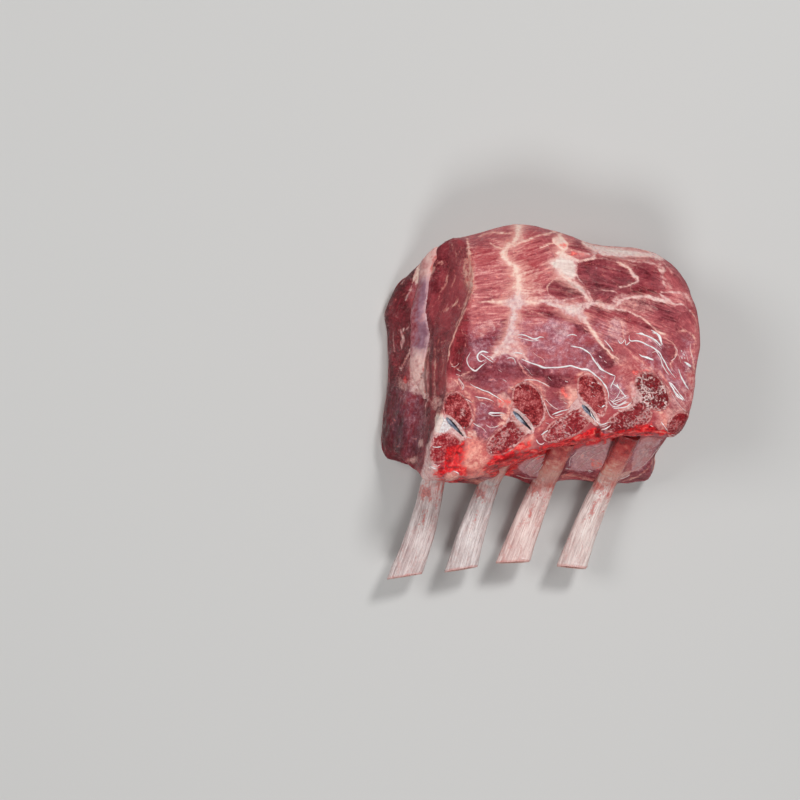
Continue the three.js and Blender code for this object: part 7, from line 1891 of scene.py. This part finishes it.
def bone_material():
    m = Shader("sawn_bone")
    pos = m.place()
    edge, slot_, body, strong, wall, pit, blood_, fat_ = (m.attr(k) for k in ("edge", "slot", "body", "strong", "wall", "pit", "blood", "fat"))
    across, white_, slit, down = (m.attr(k) for k in ("across", "white", "slit", "down"))
    small = m.noise(pos, 1.1, 3.0, 0.6)
    fine_ = m.noise(pos, 3.0, 3.0, 0.65)
    broad = m.noise(pos, 0.30, 2.0)
    c = lambda v, k: m.mul(m.add(v, -0.5), k)
    grain = m.noise(pos, 1.9, 2.0, 0.6)
    base_c = m.ramp(m.add(grain, m.add(c(small, 1.3), m.add(c(broad, 1.0), c(fine_, 0.8)))), (0.20, (88, 6, 16)), (0.40, (132, 22, 30)), (0.54, (160, 46, 50)), (0.70, (184, 80, 80)), (0.88, (218, 144, 140)))
    base_c = m.mix(m.mul(m.step(broad, 0.44, 0.62), 0.22), base_c, srgb(188, 100, 104))
    base_c = m.mix(m.mul(body, 0.45), base_c, m.ramp(small, (0.35, (138, 8, 26)), (0.65, (200, 52, 62))))
    # marrow in the pits and pale struts between them
    base_c = m.mix(m.mul(m.mul(m.step(pit, 0.2, 0.8), m.step(strong, 0.1, 0.9)), 0.9), base_c, srgb(104, 6, 18))
    deep = m.mul(m.step(strong, 0.3, 0.8), m.step(edge, -0.2, -1.0))
    base_c = m.mix(m.mul(deep, 0.8), base_c, m.ramp(small, (0.4, (104, 6, 20)), (0.6, (152, 24, 36))))
    warp = m.vadd(pos, m.vmul(m.noise(pos, 1.2, 2.0, 0.5, 0.0, True), (0.9, 0.9, 0.9)))
    vor = m.voronoi(warp, 0.72, "DISTANCE_TO_EDGE")
    web = m.mul(m.step(m.add(vor, c(fine_, 0.16)), 0.20, 0.07), m.step(m.add(small, m.add(c(grain, 0.5), c(broad, 1.0))), 0.46, 0.56))
    base_c = m.mix(m.mul(web, m.step(strong, 0.15, 0.95)), base_c, m.ramp(fine_, (0.35, (222, 160, 156)), (0.6, (252, 236, 232))))
    speck = m.mul(m.step(m.voronoi(warp, 1.6), 0.28, 0.14), m.step(m.add(small, c(broad, 0.5)), 0.48, 0.60))
    base_c = m.mix(m.mul(m.mul(speck, m.step(strong, 0.0, 0.45)), 0.85), base_c, srgb(238, 196, 190))
    base_c = m.mix(m.attr("dim"), base_c, m.ramp(small, (0.4, (82, 2, 10)), (0.62, (140, 24, 30))))
    # hard rim, here and there
    rim = m.mul(m.step(m.add(edge, c(small, 0.4)), -0.62, -0.22), m.step(broad, 0.36, 0.56, 0.45, 1.0))
    base_c = m.mix(m.mul(rim, 0.80), base_c, m.ramp(small, (0.4, (204, 118, 116)), (0.6, (232, 178, 172))))
    # canal: white gristle on one side, a thin pale line on the other, between them a slot painted dark as shade in the
    # groove, with a grey-blue cord
    left = m.mul(m.step(m.add(slot_, c(small, 1.8)), 1.6, 0.3), m.step(across, 0.1, -0.5))
    right = m.mul(m.step(m.add(slot_, c(small, 0.4)), 0.55, 0.15), m.step(across, -0.1, 0.4))
    base_c = m.mix(m.mul(left, 0.8), base_c, m.ramp(m.add(small, c(fine_, 0.5)), (0.36, (206, 128, 120)), (0.62, (238, 204, 198))))
    base_c = m.mix(m.mul(right, 0.8), base_c, m.ramp(m.add(small, c(fine_, 0.5)), (0.38, (214, 160, 158)), (0.6, (244, 226, 222))))
    base_c = m.mix(m.mul(m.step(m.add(fat_, m.add(c(fine_, 0.4), c(small, 0.9))), 0.42, 0.80), 0.85), base_c, m.ramp(small, (0.4, (214, 156, 156)), (0.6, (234, 196, 192))))
    # silverskin and painted wet highlights drawn over the bone
    base_c = m.mix(m.step(m.add(white_, c(small, 0.7)), 0.3, 0.7), base_c, m.ramp(m.add(small, c(fine_, 0.5)), (0.36, (206, 184, 184)), (0.6, (240, 232, 232))))
    core = m.step(m.add(slit, c(small, 0.3)), 0.28, -0.12)
    cord = m.mul(m.step(m.add(across, c(small, 0.9)), 0.42, 0.02), m.step(m.add(down, c(small, 0.8)), 0.60, -0.10))
    # painted shade in the canal's groove, except where the cord lies
    base_c = m.mix(core, base_c, m.mix(cord, srgb(46, 30, 40), m.ramp(m.add(broad, c(small, 1.2)), (0.36, (112, 116, 136)), (0.50, (160, 166, 184)), (0.64, (208, 212, 222)))))
    wet_blood = m.step(m.add(blood_, m.add(c(small, 0.9), c(broad, 0.9))), 0.3, 0.8)
    base_c = m.mix(m.mul(wet_blood, 0.94), base_c, m.ramp(small, (0.4, (170, 2, 12)), (0.6, (226, 22, 28))))
    rough = m.add(0.44, c(fine_, 0.5))
    rough = m.add(rough, m.mul(core, -0.22))
    rough = m.math("MAXIMUM", rough, 0.14)
    h = m.add(m.mul(small, 0.7), m.mul(fine_, 0.7))
    h = m.add(h, m.mul(m.mul(web, strong), 0.8))
    return m.finish(Base_Color=base_c, Roughness=rough, Normal=m.bump(h, 0.0003, 1.0), Coat_Weight=0.3, Coat_Roughness=0.08,
                    Subsurface_Weight=0.06, Subsurface_Radius=(1.0, 0.4, 0.3), Subsurface_Scale=0.001, IOR=1.24)


def seam_material():
    m = Shader("seam_fat")
    pos = m.place()
    lav, stria_, edge, upside, pale_ = (m.attr(k) for k in ("lav", "stria", "edge", "upside", "pale"))
    small = m.noise(pos, 0.9, 3.0, 0.6)
    tiny = m.noise(pos, 3.0, 2.0, 0.6)
    broad = m.noise(pos, 0.22, 3.0, 0.5, 0.4)
    c = lambda v, k: m.mul(m.add(v, -0.5), k)
    cream = m.ramp(m.add(broad, m.add(c(small, 0.3), m.mul(stria_, 0.08))), (0.25, (206, 148, 144)), (0.5, (222, 176, 170)), (0.75, (238, 208, 198)))
    purple = m.ramp(m.add(broad, m.mul(stria_, 0.12)), (0.25, (118, 66, 80)), (0.45, (140, 94, 110)), (0.62, (164, 122, 138)), (0.8, (200, 160, 168)))
    colour = m.mix(m.step(m.add(lav, m.add(c(small, 0.5), c(broad, 0.8))), 0.1, 0.9), cream, purple)
    colour = m.mix(m.mul(m.step(m.add(pale_, c(broad, 1.2)), 0.2, 0.8), 0.6), colour, m.ramp(small, (0.35, (228, 178, 172)), (0.65, (246, 214, 206))))
    flesh = m.step(m.add(broad, c(small, 0.5)), 0.56, 0.72)
    colour = m.mix(m.mul(flesh, 0.4), colour, srgb(178, 96, 96))
    # a pale rim along the upper edge
    rim = m.mul(m.step(m.add(upside, m.add(c(small, 0.7), c(broad, 1.0))), 0.50, 1.05), m.step(lav, 0.1, 0.5))
    colour = m.mix(m.mul(rim, 0.55), colour, srgb(216, 172, 172))
    fade = m.mul(m.step(m.add(upside, m.add(m.mul(stria_, 0.5), m.add(c(small, 0.9), c(broad, 2.2)))), 0.15, -0.85), m.step(lav, 0.05, 0.6, 0.45, 1.0))
    colour = m.mix(m.mul(fade, 0.88), colour, m.ramp(m.add(small, m.mul(stria_, 0.2)), (0.30, (132, 52, 62)), (0.5, (158, 80, 88)), (0.72, (190, 124, 126))))
    colour = m.mix(m.mul(m.mul(m.step(edge, -0.5, 0.35), m.step(upside, 0.6, -0.2)), 0.4), colour, srgb(150, 76, 84))
    red_side = m.mul(m.mul(m.step(m.add(upside, c(small, 1.2)), 0.35, 0.95), m.step(lav, 0.3, 0.0)), m.step(broad, 0.46, 0.60))
    colour = m.mix(m.mul(red_side, 0.75), colour, srgb(186, 70, 68))
    rough = m.math("MAXIMUM", m.add(0.36, c(small, 0.3)), 0.16)
    h = m.add(m.mul(small, 0.6), m.add(m.mul(tiny, 0.3), m.mul(stria_, 0.3)))
    return m.finish(Base_Color=colour, Roughness=rough, Normal=m.bump(h, 0.00025, 0.8), Coat_Weight=0.12, Coat_Roughness=0.15,
                    Subsurface_Weight=0.15, Subsurface_Radius=(1.0, 0.5, 0.4), Subsurface_Scale=0.0015, IOR=1.3)


def rib_material(name, tint, stain, raw, blush, grey):
    m = Shader(name)
    loc = m.attr("loc", vector=True)
    past, toend, cap, crest = (m.attr(k) for k in ("past", "toend", "cap", "crest"))
    pos = m.place()
    streak = m.noise(m.vmul(loc, (0.07, 1.3, 1.3)), 1.0, 4.0, 0.65, 0.4)
    fibre = m.noise(m.vmul(loc, (0.22, 4.5, 4.5)), 1.0, 2.0, 0.6)
    small = m.noise(pos, 1.1, 3.0, 0.6)
    broad = m.noise(m.vmul(loc, (0.10, 0.22, 0.22)), 1.0, 3.0, 0.55, 0.5)
    slow = m.noise(pos, 0.28, 3.0, 0.55, 0.4)
    c = lambda v, k: m.mul(m.add(v, -0.5), k)
    v = m.add(m.add(streak, c(fibre, 0.9)), m.mul(crest, 0.10))
    colour = m.ramp(v, (0.26, (158, 118, 116)), (0.40, (194, 160, 156)), (0.50, (216, 192, 187)), (0.62, (234, 215, 209)), (0.80, (252, 242, 236)))
    colour = m.mix(grey, colour, m.ramp(v, (0.26, (134, 112, 110)), (0.40, (176, 158, 157)), (0.50, (208, 196, 194)), (0.62, (232, 222, 220)), (0.80, (250, 244, 242))))
    fleck = m.step(m.add(fibre, c(small, 0.6)), 0.60, 0.70)
    colour = m.mix(m.mul(fleck, 0.45 * grey), colour, srgb(124, 98, 96))
    colour = m.mix(0.30, colour, srgb(*tint))
    pink = m.step(m.add(broad, c(small, 0.6)), 0.46, 0.64)
    colour = m.mix(m.mul(pink, blush), colour, srgb(208, 138, 130))
    blotch = m.noise(m.vmul(loc, (0.10, 0.34, 0.34)), 1.0, 4.0, 0.6, 0.8)
    red = m.step(m.add(m.add(blotch, c(small, 0.35)), m.add(stain, m.step(past, 26.0, 1.0, -0.07, 0.06))), 0.57, 0.70)
    colour = m.mix(m.mul(red, 0.68), colour, m.ramp(small, (0.4, (160, 36, 38)), (0.6, (206, 104, 96))))
    # flesh left on towards the meat, lightened as painted light against the shade of the meat above it, and the covered
    # part inside the chest
    near = m.step(m.add(past, m.add(c(slow, 34.0), c(small, 9.0))), 5.0, -3.0)
    flesh = m.ramp(m.add(slow, m.add(c(small, 0.5), c(streak, 0.5))), (0.3, (178, 60, 56)), (0.46, (214, 118, 106)), (0.60, (234, 166, 150)), (0.78, (244, 204, 192)))
    colour = m.mix(m.mul(near, raw), colour, flesh)
    inside = m.step(m.add(past, c(slow, 12.0)), 0.0, -7.0)
    split = m.vmul(loc, (0.0, 1.0, 0.0))
    n = m.t.nodes.new("ShaderNodeSeparateXYZ")
    m.put(n.inputs[0], split)
    aside = m.step(m.add(m.math("ABSOLUTE", n.outputs[1]), c(small, 1.6)), 2.6, 4.6)
    depth = m.add(m.mul(past, -0.027), m.add(c(slow, 1.0), m.add(c(streak, 0.4), m.mul(aside, 0.16))))
    wet_side = m.ramp(depth, (0.0, (226, 172, 156)), (0.14, (212, 122, 108)), (0.27, (188, 58, 56)), (0.42, (154, 24, 32)), (0.60, (112, 10, 20)))
    colour = m.mix(m.mul(inside, 0.94), colour, wet_side)
    # bright rim of the sawn end, and marrow
    rim = m.step(toend, 1.1, 0.2)
    colour = m.mix(m.mul(rim, 0.42), colour, srgb(206, 116, 108))
    sawn = m.step(cap, 0.002, 0.02)
    colour = m.mix(m.mul(sawn, 0.85), colour, srgb(220, 168, 156))
    marrow = m.step(m.add(cap, c(small, 0.3)), 0.16, 0.30)
    cells_ = m.voronoi(pos, 1.4, "DISTANCE_TO_EDGE")
    spongy = m.mix(m.step(cells_, 0.05, 0.16), srgb(206, 140, 128), srgb(122, 28, 32))
    colour = m.mix(marrow, colour, spongy)
    rough = m.math("MAXIMUM", m.add(0.44, m.add(m.add(c(streak, 0.5), c(small, 0.4)), m.mul(inside, -0.14))), 0.2)
    h = m.add(m.mul(streak, 1.0), m.add(m.mul(fibre, 0.6), m.mul(small, 0.35)))
    h = m.mul(h, m.add(1.0, m.mul(inside, -0.7)))
    return m.finish(Base_Color=colour, Roughness=rough, Normal=m.bump(h, 0.00035, 1.0), Coat_Weight=0.25, Coat_Roughness=0.2,
                    Subsurface_Weight=0.1, Subsurface_Radius=(1.0, 0.6, 0.5), Subsurface_Scale=0.0015, IOR=1.4)


def fold_glint_material():
    m = Shader("membrane")
    pos = m.place()
    rise = m.attr("rise")
    small = m.noise(pos, 0.7, 3.0, 0.6)
    c = lambda v, k: m.mul(m.add(v, -0.5), k)
    # painted highlight: the ridge's crest turns near-white, whiter where the line is strong
    k = m.step(m.add(rise, c(small, 0.5)), -0.05, 0.30)
    top = m.mix(m.step(m.add(m.attr("pale"), c(small, 0.5)), 0.45, 0.95), srgb(228, 172, 168), srgb(255, 252, 252))
    colour = m.mix(k, srgb(192, 118, 124), top)
    rough = m.math("MAXIMUM", m.add(0.2, c(small, 0.2)), 0.08)
    return m.finish(Base_Color=colour, Roughness=rough, Coat_Weight=0.9, Coat_Roughness=0.06, Subsurface_Weight=0.2,
                    Subsurface_Radius=(1.0, 0.6, 0.6), Subsurface_Scale=0.001, IOR=1.42, Normal=m.bump(small, 0.0002, 0.5))


muscle.data.materials.append(muscle_material())
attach(muscle, "root")
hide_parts("meat")
seam.data.materials.append(seam_material())
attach(seam, "root")
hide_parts("fat_seam")
bone_mat = bone_material()
for name, o in plates:
    o.data.materials.append(bone_mat)
    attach(o, "root")
    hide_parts(name)
RIB_LOOKS = {"rib_1": ((212, 190, 188), 0.03, 0.42, 0.28, 0.70), "rib_2": ((220, 208, 206), -0.02, 0.45, 0.18, 0.85),
             "rib_3": ((244, 206, 198), 0.01, 0.62, 0.50, 0.10), "rib_4": ((236, 216, 208), 0.02, 0.72, 0.24, 0.35)}
for name, o in rib_objs:
    tint, stain, raw, blush, grey = RIB_LOOKS[name]
    o.data.materials.append(rib_material("rib_bone_" + name[-1], tint, stain, raw, blush, grey))
    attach(o, "root")
    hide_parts(name)
folds.data.materials.append(fold_glint_material())
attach(folds, "root")

# === floor, light and camera =========================================================================================
floor = bpy.data.meshes.new("floor")
floor.from_pydata([(-3, -3, 0), (3, -3, 0), (3, 3, 0), (-3, 3, 0)], [], [(0, 1, 2, 3)])
floor_obj = bpy.data.objects.new("floor", floor)
floor_obj.location.z = -0.0003
bpy.context.scene.collection.objects.link(floor_obj)
pale = bpy.data.materials.new("pale_floor")
pale.use_nodes = True
pale.node_tree.nodes["Principled BSDF"].inputs["Base Color"].default_value = (0.58, 0.575, 0.565, 1)
pale.node_tree.nodes["Principled BSDF"].inputs["Roughness"].default_value = 0.7
floor.materials.append(pale)
floor_obj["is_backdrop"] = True


def area(name, place, target, size, power, colour=(1, 1, 1)):
    light = bpy.data.lights.new(name, "AREA")
    light.shape = "DISK"
    light.size = size
    light.energy = power
    light.color = colour
    o = bpy.data.objects.new(name, light)
    o.location = place
    o.rotation_euler = (Vector(target) - Vector(place)).to_track_quat("-Z", "Y").to_euler()
    bpy.context.scene.collection.objects.link(o)
    return o


area("key", (0.42, 0.58, 0.95), (0, 0, 0.02), 0.26, 7.0)
area("fill", (-0.70, 0.25, 0.80), (0, 0, 0.02), 0.5, 3.4)
area("front", (0.05, -0.60, 0.85), (0, 0, 0.02), 0.36, 3.7)
world = bpy.data.worlds.new("studio") if not bpy.context.scene.world else bpy.context.scene.world
bpy.context.scene.world = world
world.use_nodes = True
world.node_tree.nodes["Background"].inputs["Color"].default_value = (1, 1, 1, 1)
world.node_tree.nodes["Background"].inputs["Strength"].default_value = 0.16

cam = bpy.data.cameras.new("camera")
cam.sensor_width = 36.0
cam.lens = 36.0 * 760.0 / 312.48
cam.clip_start = 0.01
cam_obj = bpy.data.objects.new("camera", cam)
cam_obj.location = (EYE[0] / 1000, EYE[1] / 1000, EYE[2] / 1000)
bpy.context.scene.collection.objects.link(cam_obj)
bpy.context.scene.camera = cam_obj
bpy.context.scene.view_settings.view_transform = "Standard"
bpy.context.scene.view_settings.look = "None"

NEW_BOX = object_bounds()
as_list = lambda b: [[float(c) for c in v] for v in b]
{"cad": as_list(CAD_BOX), "visual": as_list(NEW_BOX)}
